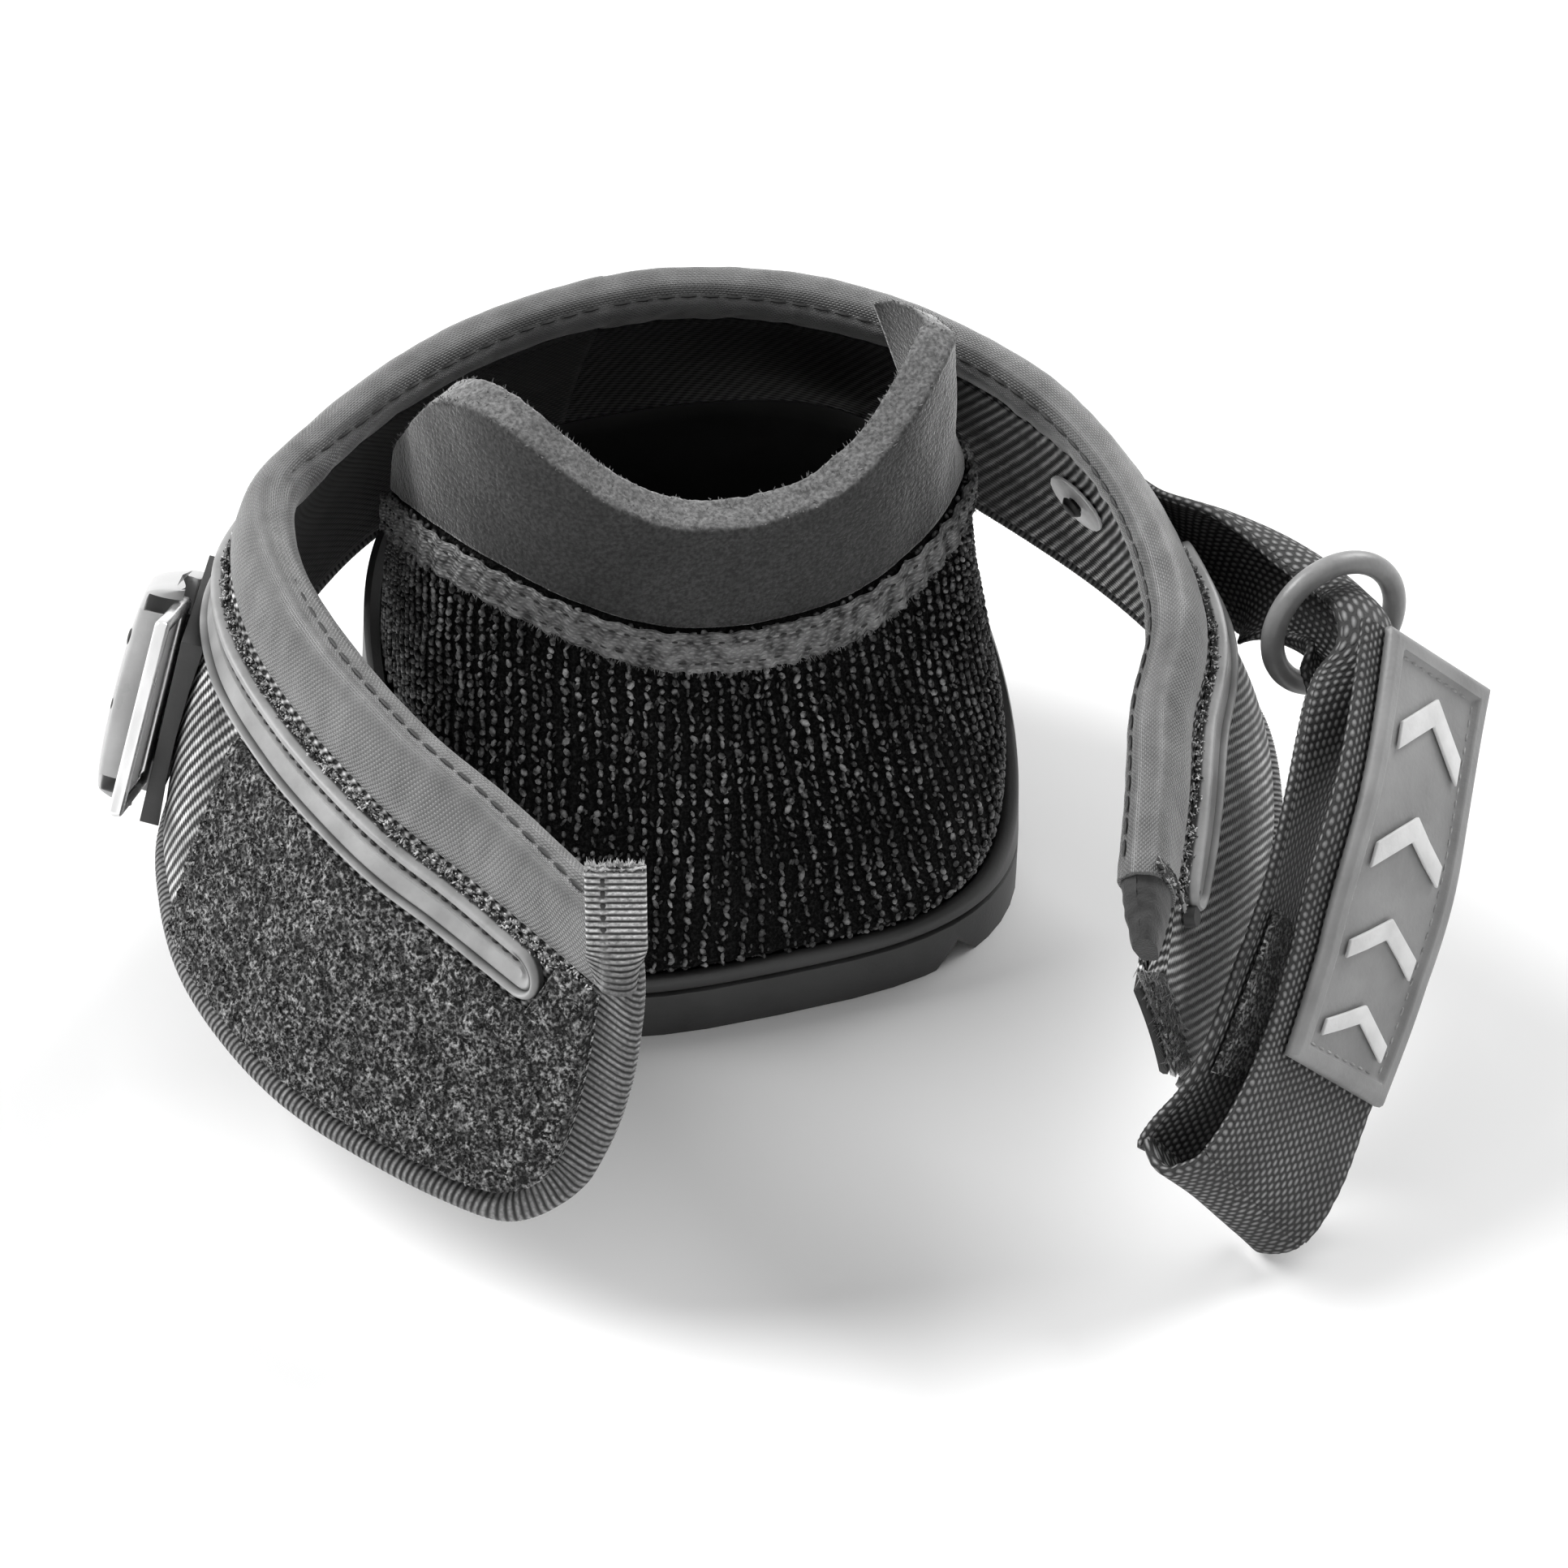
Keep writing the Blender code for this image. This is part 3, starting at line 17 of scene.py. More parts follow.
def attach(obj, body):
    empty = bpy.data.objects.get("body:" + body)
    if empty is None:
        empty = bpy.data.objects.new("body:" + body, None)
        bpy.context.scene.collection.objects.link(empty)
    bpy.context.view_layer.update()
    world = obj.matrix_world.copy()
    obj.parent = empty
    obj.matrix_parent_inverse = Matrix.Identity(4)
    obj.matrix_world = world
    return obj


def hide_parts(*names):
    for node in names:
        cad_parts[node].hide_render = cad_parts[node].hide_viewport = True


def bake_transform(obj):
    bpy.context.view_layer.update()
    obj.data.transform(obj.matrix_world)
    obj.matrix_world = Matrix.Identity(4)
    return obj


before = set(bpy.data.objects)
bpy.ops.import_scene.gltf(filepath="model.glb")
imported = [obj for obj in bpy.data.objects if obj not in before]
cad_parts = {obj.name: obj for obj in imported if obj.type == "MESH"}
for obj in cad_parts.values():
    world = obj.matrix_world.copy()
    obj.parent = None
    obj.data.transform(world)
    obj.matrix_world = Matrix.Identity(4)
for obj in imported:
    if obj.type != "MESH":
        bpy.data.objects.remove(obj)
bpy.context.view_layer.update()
chance = random.Random(11)


# Camera: the photograph looks down on the open heel, a little from the buckle's side, through
# a long lens. The shift only sets the boot where the photograph has it.
LOOK_AT = Vector((0.0, -0.030, 0.055))
LOOK_AZIMUTH = math.radians(-17.5)
LOOK_ELEVATION = math.radians(36)
CAMERA_DISTANCE = 0.80

camera_data = bpy.data.cameras.new("camera")
camera_data.lens = 92
camera_data.sensor_width = 36
camera_data.shift_x = 0.0392
camera_data.shift_y = -0.0642
camera = bpy.data.objects.new("camera", camera_data)
towards = Vector((math.sin(LOOK_AZIMUTH) * math.cos(LOOK_ELEVATION),
                  -math.cos(LOOK_AZIMUTH) * math.cos(LOOK_ELEVATION),
                  math.sin(LOOK_ELEVATION)))
camera.location = LOOK_AT + towards * CAMERA_DISTANCE
camera.rotation_euler = towards.to_track_quat('Z', 'Y').to_euler()
bpy.context.scene.collection.objects.link(camera)
bpy.context.scene.camera = camera
bpy.context.scene.view_settings.view_transform = 'Standard'


# Studio: a pale floor that keeps the shadow, a white room that is brightest overhead, and two
# wide soft lamps behind the boot, one on each side. Where both are hidden the floor is grey.
ROOM_LOW, ROOM_HIGH = 0.14, 0.62
LEFT_LIGHT = 2.8
RIGHT_LIGHT = 2.1
FLOOR_REACH = 3.0
FLOOR_TONE = 0.97


def add_node(material, kind, inputs=None, **settings):
    """Add one shader node, set its options, and feed its sockets with values or other sockets."""
    node = material.node_tree.nodes.new(kind)
    for option, value in settings.items():
        setattr(node, option, value)
    for socket, value in (inputs or {}).items():
        if isinstance(value, bpy.types.NodeSocket):
            material.node_tree.links.new(value, node.inputs[socket])
        else:
            node.inputs[socket].default_value = value
    return node


def new_finish(name, tone, roughness, metallic=0.0):
    """A neutral grey finish, with its shader ready for grain, weave or gloss."""
    material = bpy.data.materials.new(name)
    material.use_nodes = True
    shader = material.node_tree.nodes["Principled BSDF"]
    shader.inputs["Base Color"].default_value = (tone, tone, tone, 1.0)
    shader.inputs["Roughness"].default_value = roughness
    shader.inputs["Metallic"].default_value = metallic
    return material


def set_shader(material, **values):
    """Set plain values on the shader's own sockets, named with underscores for spaces."""
    shader = material.node_tree.nodes["Principled BSDF"]
    for name, value in values.items():
        shader.inputs[name.replace("_", " ")].default_value = value


floor_bm = bmesh.new()
bmesh.ops.create_circle(floor_bm, cap_ends=True, segments=64, radius=FLOOR_REACH)
floor_mesh = bpy.data.meshes.new("floor")
floor_bm.to_mesh(floor_mesh)
floor_bm.free()
floor = bpy.data.objects.new("floor", floor_mesh)
bpy.context.scene.collection.objects.link(floor)
floor_finish = new_finish("floor_paper", FLOOR_TONE, 0.9)
set_shader(floor_finish, Specular_IOR_Level=0.0)
floor_mesh.materials.append(floor_finish)

world = bpy.data.worlds.new("white_room")
bpy.context.scene.world = world
world.use_nodes = True
rays = add_node(world, 'ShaderNodeLightPath')
seen = add_node(world, 'ShaderNodeMath', {0: rays.outputs["Is Camera Ray"],
                                          1: rays.outputs["Is Glossy Ray"]}, operation='MAXIMUM')
seen = add_node(world, 'ShaderNodeMath', {0: seen.outputs[0],
                                          1: rays.outputs["Is Transmission Ray"]},
                operation='MAXIMUM')
sky_way = add_node(world, 'ShaderNodeTexCoord')
sky_way = add_node(world, 'ShaderNodeSeparateXYZ', {0: sky_way.outputs["Object"]})
overhead = add_node(world, 'ShaderNodeMapRange', {"Value": sky_way.outputs[2],
                                                  "To Min": ROOM_LOW, "To Max": ROOM_HIGH})
level = add_node(world, 'ShaderNodeMapRange', {"Value": seen.outputs[0],
                                               "To Min": overhead.outputs[0], "To Max": 1.0})
world.node_tree.links.new(level.outputs[0],
                          world.node_tree.nodes["Background"].inputs["Strength"])
world.node_tree.nodes["Background"].inputs["Color"].default_value = (1.0, 1.0, 1.0, 1.0)

for lamp_name, strength, spread, aim in (
        ("left_lamp", LEFT_LIGHT, 32, (-0.68, 0.42, 0.74)),
        ("right_lamp", RIGHT_LIGHT, 36, (0.78, 0.34, 0.72))):
    lamp_data = bpy.data.lights.new(lamp_name, 'SUN')
    lamp_data.energy = strength
    lamp_data.angle = math.radians(spread)
    lamp = bpy.data.objects.new(lamp_name, lamp_data)
    lamp.rotation_euler = Vector(aim).to_track_quat('Z', 'Y').to_euler()
    bpy.context.scene.collection.objects.link(lamp)


# Sole: one moulding of dark rubber, with a notched tread round its rim and a pad under the frog.
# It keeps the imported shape, with its edges rounded as a mould leaves them.
MERGE_DISTANCE = 0.00002
SOLE_EDGE = 0.0007


def softened(node, width, segments=2, sharper_than=30):
    """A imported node's shape, merged and with its sharp edges rounded."""
    bm = bmesh.new()
    bm.from_mesh(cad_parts[node].data)
    bmesh.ops.remove_doubles(bm, verts=bm.verts, dist=MERGE_DISTANCE)
    bmesh.ops.dissolve_limit(bm, angle_limit=math.radians(1.5), verts=bm.verts, edges=bm.edges)
    edges = [edge for edge in bm.edges
             if edge.is_manifold and edge.calc_face_angle() > math.radians(sharper_than)]
    bmesh.ops.bevel(bm, geom=edges, offset=width, offset_type='OFFSET', segments=segments,
                    profile=0.5, affect='EDGES', material=-1, clamp_overlap=True)
    return bm


def add_piece(name, bm, finish, slot, *nodes, sharp=40):
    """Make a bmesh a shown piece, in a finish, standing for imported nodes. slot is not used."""
    mesh = bpy.data.meshes.new(name)
    bm.to_mesh(mesh)
    bm.free()
    mesh.materials.append(finish)
    mesh.shade_smooth()
    mesh.set_sharp_from_angle(angle=math.radians(sharp))
    piece = bpy.data.objects.new(name, mesh)
    bpy.context.scene.collection.objects.link(piece)
    if nodes:
        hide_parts(*nodes)
    return piece


def grain(material, scale, detail=3.0, stretch=(1.0, 1.0, 1.0)):
    """Random grain from 0 to 1 in the object's own space, with its cells per metre."""
    place = add_node(material, 'ShaderNodeTexCoord')
    turned = add_node(material, 'ShaderNodeMapping', {"Vector": place.outputs["Object"],
                                                      "Scale": stretch})
    cloud = add_node(material, 'ShaderNodeTexNoise', {"Vector": turned.outputs[0],
                                                      "Scale": scale, "Detail": detail})
    return cloud.outputs["Fac"]


def blend_tones(material, share, dark, light, low=0.3, high=0.7):
    """A grey between two tones, by a socket that runs from low to high."""
    tone = add_node(material, 'ShaderNodeMapRange', {"Value": share, "From Min": low,
                                                     "From Max": high, "To Min": dark,
                                                     "To Max": light})
    return tone.outputs[0]


def mix(material, operation, first, second=0.5, third=0.5, clamp=False):
    """One sum on sockets or numbers."""
    node = add_node(material, 'ShaderNodeMath', {0: first, 1: second, 2: third},
                    operation=operation, use_clamp=clamp)
    return node.outputs[0]


def dress(material, tone=None, height=None, depth=0.0002, roughness=None):
    """Feed the shader's colour, bump and roughness."""
    shader = material.node_tree.nodes["Principled BSDF"]
    links = material.node_tree.links
    if tone is not None:
        links.new(tone, shader.inputs["Base Color"])
    if height is not None:
        bump = add_node(material, 'ShaderNodeBump', {"Height": height, "Distance": depth,
                                                     "Strength": 1.0})
        links.new(bump.outputs["Normal"], shader.inputs["Normal"])
    if roughness is not None:
        links.new(roughness, shader.inputs["Roughness"])


sole_rubber = new_finish("sole_rubber", 0.05, 0.55)
worn = grain(sole_rubber, 60, 4)
dress(sole_rubber, blend_tones(sole_rubber, worn, 0.035, 0.065), grain(sole_rubber, 1400, 2),
      0.00006, blend_tones(sole_rubber, worn, 0.48, 0.66))

outsole = add_piece("dressed_outsole", softened("outsole", SOLE_EDGE), sole_rubber,
                    "shell_rubber", "outsole")
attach(outsole, "boot")


# Shell: a rubber wall that is low behind the heel and climbs to the toe. Its upper edge has a
# moulded bead, and two shallow ribs stiffen the toe.
SOLE_HALF_WIDTH = 0.066
SOLE_TOE_REACH = 0.084
SOLE_HEEL_REACH = 0.069
RIM_HEIGHT = 0.125
SOLE_THICKNESS = 0.0100
SHELL_TOE_HEIGHT = 0.608 * RIM_HEIGHT
SHELL_WALL = 0.0035
TOE_LEAN = 0.923 * SOLE_TOE_REACH / RIM_HEIGHT
SIDE_LEAN = 0.035
SHELL_HEEL_LEAN = 0.04
HEEL_SQUARENESS = 3.0
TOE_SQUARENESS = 2.2
SEAT_GAP = 0.0003
SHELL_TOP_SHARES = (0.185, 0.185, 0.20, 0.29, 0.50, 0.74, 0.92, 0.99, 1.0, 1.0)
SHELL_RIB_HEIGHTS = (0.020, 0.030)
SHELL_RIB_WIDTH = 0.0022
SHELL_RIB_DEPTH = 0.0007


def read_along(rows, place):
    """A smooth curve (Catmull-Rom) through evenly spaced rows of numbers."""
    last = len(rows) - 1
    place = min(max(place, 0.0), float(last))
    i = min(int(place), last - 1)
    u = place - i
    before, here = rows[max(i - 1, 0)], rows[i]
    there, after = rows[i + 1], rows[min(i + 2, last)]
    values = []
    for a, b, c, d in zip(before, here, there, after):
        if i == 0:
            a = 2 * b - c
        if i == last - 1:
            d = 2 * c - b
        values.append(0.5 * (2 * b + (c - a) * u + (2 * a - 5 * b + 4 * c - d) * u * u
                             + (3 * b - a - 3 * c + d) * u * u * u))
    return values


def read_single(values, place):
    return read_along([(value,) for value in values], place)[0]


def rounded_wave(value, power):
    return math.copysign(abs(value) ** (2 / power), value)


def wall_point(angle, height, inset):
    """A point of the shell's outside at an angle (0 at +X, 90 degrees at the toe)."""
    rise = height - SOLE_THICKNESS
    half_width = SOLE_HALF_WIDTH - rise * SIDE_LEAN - inset
    if math.sin(angle) >= 0:
        reach = SOLE_TOE_REACH - rise * TOE_LEAN - inset
        power = TOE_SQUARENESS
    else:
        reach = SOLE_HEEL_REACH - rise * SHELL_HEEL_LEAN - inset
        power = HEEL_SQUARENESS
    return Vector((half_width * rounded_wave(math.cos(angle), power),
                   reach * rounded_wave(math.sin(angle), power), height))


@functools.lru_cache(maxsize=None)
def shell_top(angle):
    """Height of the shell's edge: low at the heel, high at the toe."""
    climb = (math.asin(max(-1.0, min(1.0, math.sin(angle)))) + math.pi / 2) / math.pi
    return read_single(SHELL_TOP_SHARES, climb * (len(SHELL_TOP_SHARES) - 1)) * SHELL_TOE_HEIGHT


def even_run(point_at, first, last, count=300):
    """A function from a share of the way to a place, by true length, and the whole length."""
    places = np.linspace(first, last, count + 1)
    points = [point_at(float(place)) for place in places]
    steps = [(b - a).length for a, b in zip(points, points[1:])]
    run = np.concatenate(([0.0], np.cumsum(steps)))
    return (lambda share: float(np.interp(share * run[-1], run, places))), float(run[-1])


def grid_on(surface, cells, size, around=True, ends=True):
    """A grid laid on a surface, with a cloth map in metres, and closed to a solid tube."""
    bm = bmesh.new()
    bmesh.ops.create_grid(bm, x_segments=cells[0], y_segments=cells[1], size=0.5)
    cloth = bm.loops.layers.uv.new("cloth")
    for face in bm.faces:
        for loop in face.loops:
            x, y, _ = loop.vert.co
            loop[cloth].uv = ((x + 0.5) * size[0], (y + 0.5) * size[1])
    for vert in bm.verts:
        vert.co = surface(vert.co.x + 0.5, vert.co.y + 0.5)
    if around:
        bmesh.ops.remove_doubles(bm, verts=bm.verts, dist=MERGE_DISTANCE)
        if ends:
            open_edges = [edge for edge in bm.edges if edge.is_boundary]
            bmesh.ops.holes_fill(bm, edges=open_edges, sides=0)
    bmesh.ops.recalc_face_normals(bm, faces=bm.faces)
    return bm


def slab(share, low, high, inner, outer, corner=None):
    """A point (down, out) of the way round a flat section. Its edges are round unless a smaller
    corner is given."""
    corner = corner or (outer - inner) / 2
    tall, deep = high - low - 2 * corner, outer - inner - 2 * corner
    bend = math.pi / 2 * corner
    walk = (share % 1.0) * 2 * (tall + deep + 2 * bend)
    centres = ((low + corner, outer - corner), (high - corner, outer - corner),
               (high - corner, inner + corner), (low + corner, inner + corner))
    headings = ((1, 0), (0, -1), (-1, 0), (0, 1))
    for i in range(4):
        down_way, out_way = headings[i]
        straight, centre = (tall, deep)[i % 2], centres[i]
        if walk <= straight:
            return (centre[0] + down_way * walk - out_way * corner,
                    centre[1] + out_way * walk + down_way * corner)
        walk -= straight
        if walk <= bend:
            turn, centre = walk / corner, centres[(i + 1) % 4]
            return (centre[0] + corner * (down_way * math.sin(turn) - out_way * math.cos(turn)),
                    centre[1] + corner * (out_way * math.sin(turn) + down_way * math.cos(turn)))
        walk -= bend
    return low + corner, outer


def shell_rib(height):
    """How far the toe's two stiffening ribs stand out at a height."""
    rise = 0.0
    for rib in SHELL_RIB_HEIGHTS:
        away = (height - rib) / SHELL_RIB_WIDTH
        rise += SHELL_RIB_DEPTH * math.exp(-away * away)
    return rise


def shell_surface(along, around):
    angle = 2 * math.pi * along
    bottom = SOLE_THICKNESS + SEAT_GAP
    top = shell_top(angle)
    up, out = slab(around, -top, -bottom, -SHELL_WALL, 0.0)
    ribs = shell_rib(-up) * max(0.0, math.sin(angle)) ** 0.5 if out > -SHELL_WALL / 2 else 0.0
    return wall_point(angle, -up, -out - ribs)


shell_rubber = new_finish("shell_rubber", 0.05, 0.5)
worn = grain(shell_rubber, 45, 4)
dress(shell_rubber, blend_tones(shell_rubber, worn, 0.04, 0.07), grain(shell_rubber, 1700, 2),
      0.00005, blend_tones(shell_rubber, worn, 0.42, 0.6))
shell_bm = grid_on(shell_surface, (260, 44), (0.45, 0.14), ends=False)
hoof_shell = add_piece("dressed_shell", shell_bm, shell_rubber, "shell_rubber", "hoof_shell")
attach(hoof_shell, "boot")


# Footbed: a thin pad of closed foam that is glued to the sole, inside the shell.
FOOTBED_EDGE = 0.0009

foam_grey = new_finish("foam_grey", 0.10, 0.95)
speckle = grain(foam_grey, 1500, 3)
dress(foam_grey, blend_tones(foam_grey, speckle, 0.05, 0.15), speckle, 0.0003)
footbed = add_piece("dressed_footbed", softened("footbed_pad", FOOTBED_EDGE, 3), foam_grey,
                    "cut_foam", "footbed_pad")
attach(footbed, "boot")


# Knitted heel: a black spacer knit, bulged over the heel bulbs. Its thick wales run up and down
# with a bead of yarn every few millimetres, coloured pale as a painted highlight, and its foot is
# glued inside the shell's lip.
SEAM_HEIGHT = 0.648 * RIM_HEIGHT
COUNTER_WALL = 0.0026
COUNTER_BOTTOM = 0.0108
COUNTER_STEP = 0.0024
COUNTER_LOOK_AHEAD = math.radians(14)
HEEL_END_ANGLE = math.radians(97)
HEEL_RIGHT_END = math.radians(90)
SEAM_SLANT = 0.05
COUNTER_FOOT_SHARE = 0.12
HEEL_PROFILE_SHARES = (
    (0.00, 1.005, 1.005, 3.0),
    (0.22, 1.008, 0.995, 2.9),
    (0.42, 0.978, 0.940, 2.7),
    (0.62, 0.925, 0.845, 2.5),
    (0.82, 0.900, 0.745, 2.35),
    (1.00, 0.880, 0.695, 2.3),
    (1.30, 0.850, 0.720, 2.3),
    (1.60, 0.835, 0.735, 2.3),
)
SEAM_RISE_SHARES = (1.0, 1.015, 1.05, 1.095, 1.13, 1.145, 1.14, 1.11, 1.05)
WALE_PITCH = 0.0031
WALE_DEPTH = 0.00045
BEAD_PITCH = 0.0036
BEAD_ROWS = 40
PUCKER_BAND = 0.12


def heel_plan(turn, height, inset):
    """A point of the heel's outside. turn is 0 at the back and grows towards +X."""
    share = height / SEAM_HEIGHT
    rows = HEEL_PROFILE_SHARES
    i = 0
    while i < len(rows) - 2 and share > rows[i + 1][0]:
        i += 1
    low, high = rows[i], rows[i + 1]
    part = (share - low[0]) / (high[0] - low[0])
    width_share, reach_share, power = (a + (b - a) * part for a, b in zip(low[1:], high[1:]))
    return Vector(((SOLE_HALF_WIDTH * width_share - inset) * rounded_wave(math.sin(turn), power),
                   -(SOLE_HEEL_REACH * reach_share - inset) * rounded_wave(math.cos(turn), power),
                   height))


@functools.lru_cache(maxsize=None)
def seam_height(turn):
    place = abs(turn) / HEEL_END_ANGLE * (len(SEAM_RISE_SHARES) - 1)
    return (SEAM_HEIGHT * read_single(SEAM_RISE_SHARES, place)
            - SEAM_SLANT * SOLE_HALF_WIDTH * math.sin(turn))


def counter_point(turn, climb, inset):
    """A point of the knitted heel: up inside the shell's lip, then out over it to the seam."""
    edge = shell_top(turn - math.pi / 2)
    ahead = shell_top(turn + math.copysign(COUNTER_LOOK_AHEAD, turn) - math.pi / 2)
    seam = seam_height(turn)
    if climb < COUNTER_FOOT_SHARE:
        height = COUNTER_BOTTOM + (edge - COUNTER_BOTTOM) * climb / COUNTER_FOOT_SHARE
        part = 0.0
    else:
        height = edge + (seam - edge) * (climb - COUNTER_FOOT_SHARE) / (1 - COUNTER_FOOT_SHARE)
        part = min(1.0, (height - edge) / (COUNTER_STEP + 2.0 * (ahead - edge)))
    inside = wall_point(turn - math.pi / 2, height, SHELL_WALL + SEAT_GAP + inset)
    return inside.lerp(heel_plan(turn, height, inset), part)


heel_turn, heel_run = even_run(lambda turn: heel_plan(turn, SEAM_HEIGHT * 0.6, 0.0),
                               -HEEL_END_ANGLE, HEEL_RIGHT_END)


def knit_surface(along, around):
    """The knit's outside and inside, with wales outside and puckers below the tape."""
    turn = heel_turn(along)
    climb, out = slab(around, 0.0, 1.0, -0.03, 0.0)
    climb = min(1.0, max(0.0, 1.0 - climb))
    inset = -out / 0.03 * COUNTER_WALL
    if inset < COUNTER_WALL / 2:
        x = along * heel_run / WALE_PITCH
        wave = 0.5 + 0.5 * math.cos(2 * math.pi * x)
        beads = 0.5 + 0.5 * math.cos(2 * math.pi * (climb * 0.06 / BEAD_PITCH + 0.5 * (round(x) % 2)))
        inset += WALE_DEPTH * (0.75 - wave * (0.7 + 0.5 * beads))
        near_tape = max(0.0, 1 - (1 - climb) / PUCKER_BAND)
        inset -= 0.0006 * near_tape * noise.noise(Vector((along * heel_run * 260, 3.0, 0.0)))
        inset -= 0.0007 * noise.noise(Vector((along * heel_run * 45, climb * 3.0, 1.7)))
    return counter_point(turn, climb, inset)


def cloth_map(material):
    """The piece's cloth map, in metres along and across."""
    mapped = add_node(material, 'ShaderNodeUVMap', uv_map="cloth")
    parts = add_node(material, 'ShaderNodeSeparateXYZ', {0: mapped.outputs[0]})
    return parts.outputs[0], parts.outputs[1]


def floats(material, size, shift, fill, slant=0.0, wander=0.0):
    """Rounded floats of yarn in staggered rows. size is one float's cell (along, across) in
    metres, and shift how far each row is moved on, as a share of the cell."""
    along, across = cloth_map(material)
    if wander:
        stray = mix(material, 'SUBTRACT', grain(material, 260, 2), 0.5)
        along = mix(material, 'MULTIPLY_ADD', stray, wander, along)
        across = mix(material, 'MULTIPLY_ADD', stray, wander, across)
    row = mix(material, 'DIVIDE', across, size[1])
    along = mix(material, 'DIVIDE', along, size[0])
    along = mix(material, 'MULTIPLY_ADD', mix(material, 'FLOOR', row), shift, along)
    along = mix(material, 'MULTIPLY_ADD', row, slant, along)
    x = mix(material, 'SUBTRACT', mix(material, 'FRACT', along), 0.5)
    y = mix(material, 'SUBTRACT', mix(material, 'FRACT', row), 0.5)
    x = mix(material, 'POWER', mix(material, 'ABSOLUTE', mix(material, 'DIVIDE', x, fill[0])), 2.0)
    y = mix(material, 'POWER', mix(material, 'ABSOLUTE', mix(material, 'DIVIDE', y, fill[1])), 2.0)
    return mix(material, 'SUBTRACT', 1.0, mix(material, 'ADD', x, y), clamp=True)


def scatter(count, add_one, batch=50):
    """Many small bits in one bmesh, made in batches, because each new bit slows a big one."""
    whole = bmesh.new()
    for first in range(0, count, batch):
        part = bmesh.new()
        for number in range(first, min(count, first + batch)):
            add_one(part, number)
        mesh = bpy.data.meshes.new("batch")
        part.to_mesh(mesh)
        part.free()
        whole.from_mesh(mesh)
        bpy.data.meshes.remove(mesh)
    return whole


def add_grain(bm, middle, ahead, up, size):
    """One rounded bit, such as a stitch or a bead of yarn. size is length, width and height."""
    side = up.cross(ahead).normalized()
    up = ahead.cross(side).normalized()
    turn = Matrix((ahead, side, up)).transposed().to_4x4()
    scale = Matrix.Diagonal((size[0] / 2, size[1] / 2, size[2] / 2, 1.0))
    bmesh.ops.create_uvsphere(bm, u_segments=6, v_segments=4, radius=1.0,
                              matrix=Matrix.Translation(middle) @ turn @ scale)


heel_knit = new_finish("heel_knit", 0.02, 0.8)
fibre = grain(heel_knit, 1500, 3)
dress(heel_knit, blend_tones(heel_knit, fibre, 0.001, 0.022, 0.45, 0.75), fibre, 0.0008)
set_shader(heel_knit, Specular_IOR_Level=0.1)
# The beads are the black knit's own yarn, coloured pale and in lighter patches: painted highlights of the
# lamps on the yarn.
bead_highlight_yarn = new_finish("bead_highlight_yarn", 0.1, 0.5)
highlight_patches = blend_tones(bead_highlight_yarn, grain(bead_highlight_yarn, 75, 3), 0.12, 1.0, 0.38, 0.66)
dress(bead_highlight_yarn, mix(bead_highlight_yarn, 'MULTIPLY', highlight_patches,
                     blend_tones(bead_highlight_yarn, grain(bead_highlight_yarn, 650, 2), 0.005, 0.46, 0.42, 0.66)),
      grain(bead_highlight_yarn, 2500, 2), 0.0003)
set_shader(bead_highlight_yarn, Specular_IOR_Level=0.6)

knit_bm = grid_on(knit_surface, (430, 150), (heel_run, 0.125))
heel_counter = add_piece("dressed_heel_counter", knit_bm, heel_knit, "heel_knit", "heel_counter",
                         sharp=180)
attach(heel_counter, "boot")

wales = int(heel_run / WALE_PITCH)


def add_bead(bm, number):
    """One bead of the wales, a painted highlight: they lean a little, and crowd together below the tape.
    """
    wale, row = number % wales, number // wales
    climb = (row + 0.5 + chance.uniform(-0.2, 0.2)) / BEAD_ROWS
    wander = noise.noise(Vector((wale * 0.35, climb * 6.0, 9.0))) * 0.35
    jumble = max(0.0, 1 - (1 - climb) / 0.16)
    stray = chance.uniform(-0.1, 0.1) + jumble * chance.uniform(-0.4, 0.4)
    along = (wale + 0.5 + wander + stray) / wales
    climb = COUNTER_FOOT_SHARE + (1 - COUNTER_FOOT_SHARE) * climb
    turn = heel_turn(min(1.0, max(0.0, along)))
    middle = counter_point(turn, climb, -WALE_DEPTH * 0.6)
    up = (counter_point(turn, climb, -0.001) - counter_point(turn, climb, 0.0)).normalized()
    lean = (0.6 if row % 2 else -0.3) + (0.3 + jumble) * chance.uniform(-1.3, 1.3)
    ahead = counter_point(turn, climb + 0.01, 0.0) - counter_point(turn, climb - 0.01, 0.0)
    ahead = (Matrix.Rotation(lean, 3, up) @ ahead).normalized()
    add_grain(bm, middle, ahead, up, (chance.uniform(0.0012, 0.0026),
                                      chance.uniform(0.0007, 0.0016), 0.0011))


def add_stray(bm, _):
    """A dim bit of yarn between the wales."""
    turn, climb = heel_turn(chance.random()), chance.uniform(COUNTER_FOOT_SHARE, 0.97)
    up = (counter_point(turn, climb, -0.001) - counter_point(turn, climb, 0.0)).normalized()
    ahead = counter_point(turn, climb + 0.01, 0.0) - counter_point(turn, climb - 0.01, 0.0)
    ahead = (Matrix.Rotation(chance.uniform(-0.9, 0.9), 3, up) @ ahead).normalized()
    add_grain(bm, counter_point(turn, climb, -WALE_DEPTH * 0.2), ahead, up,
              (chance.uniform(0.0008, 0.0016), 0.0006, 0.0007))


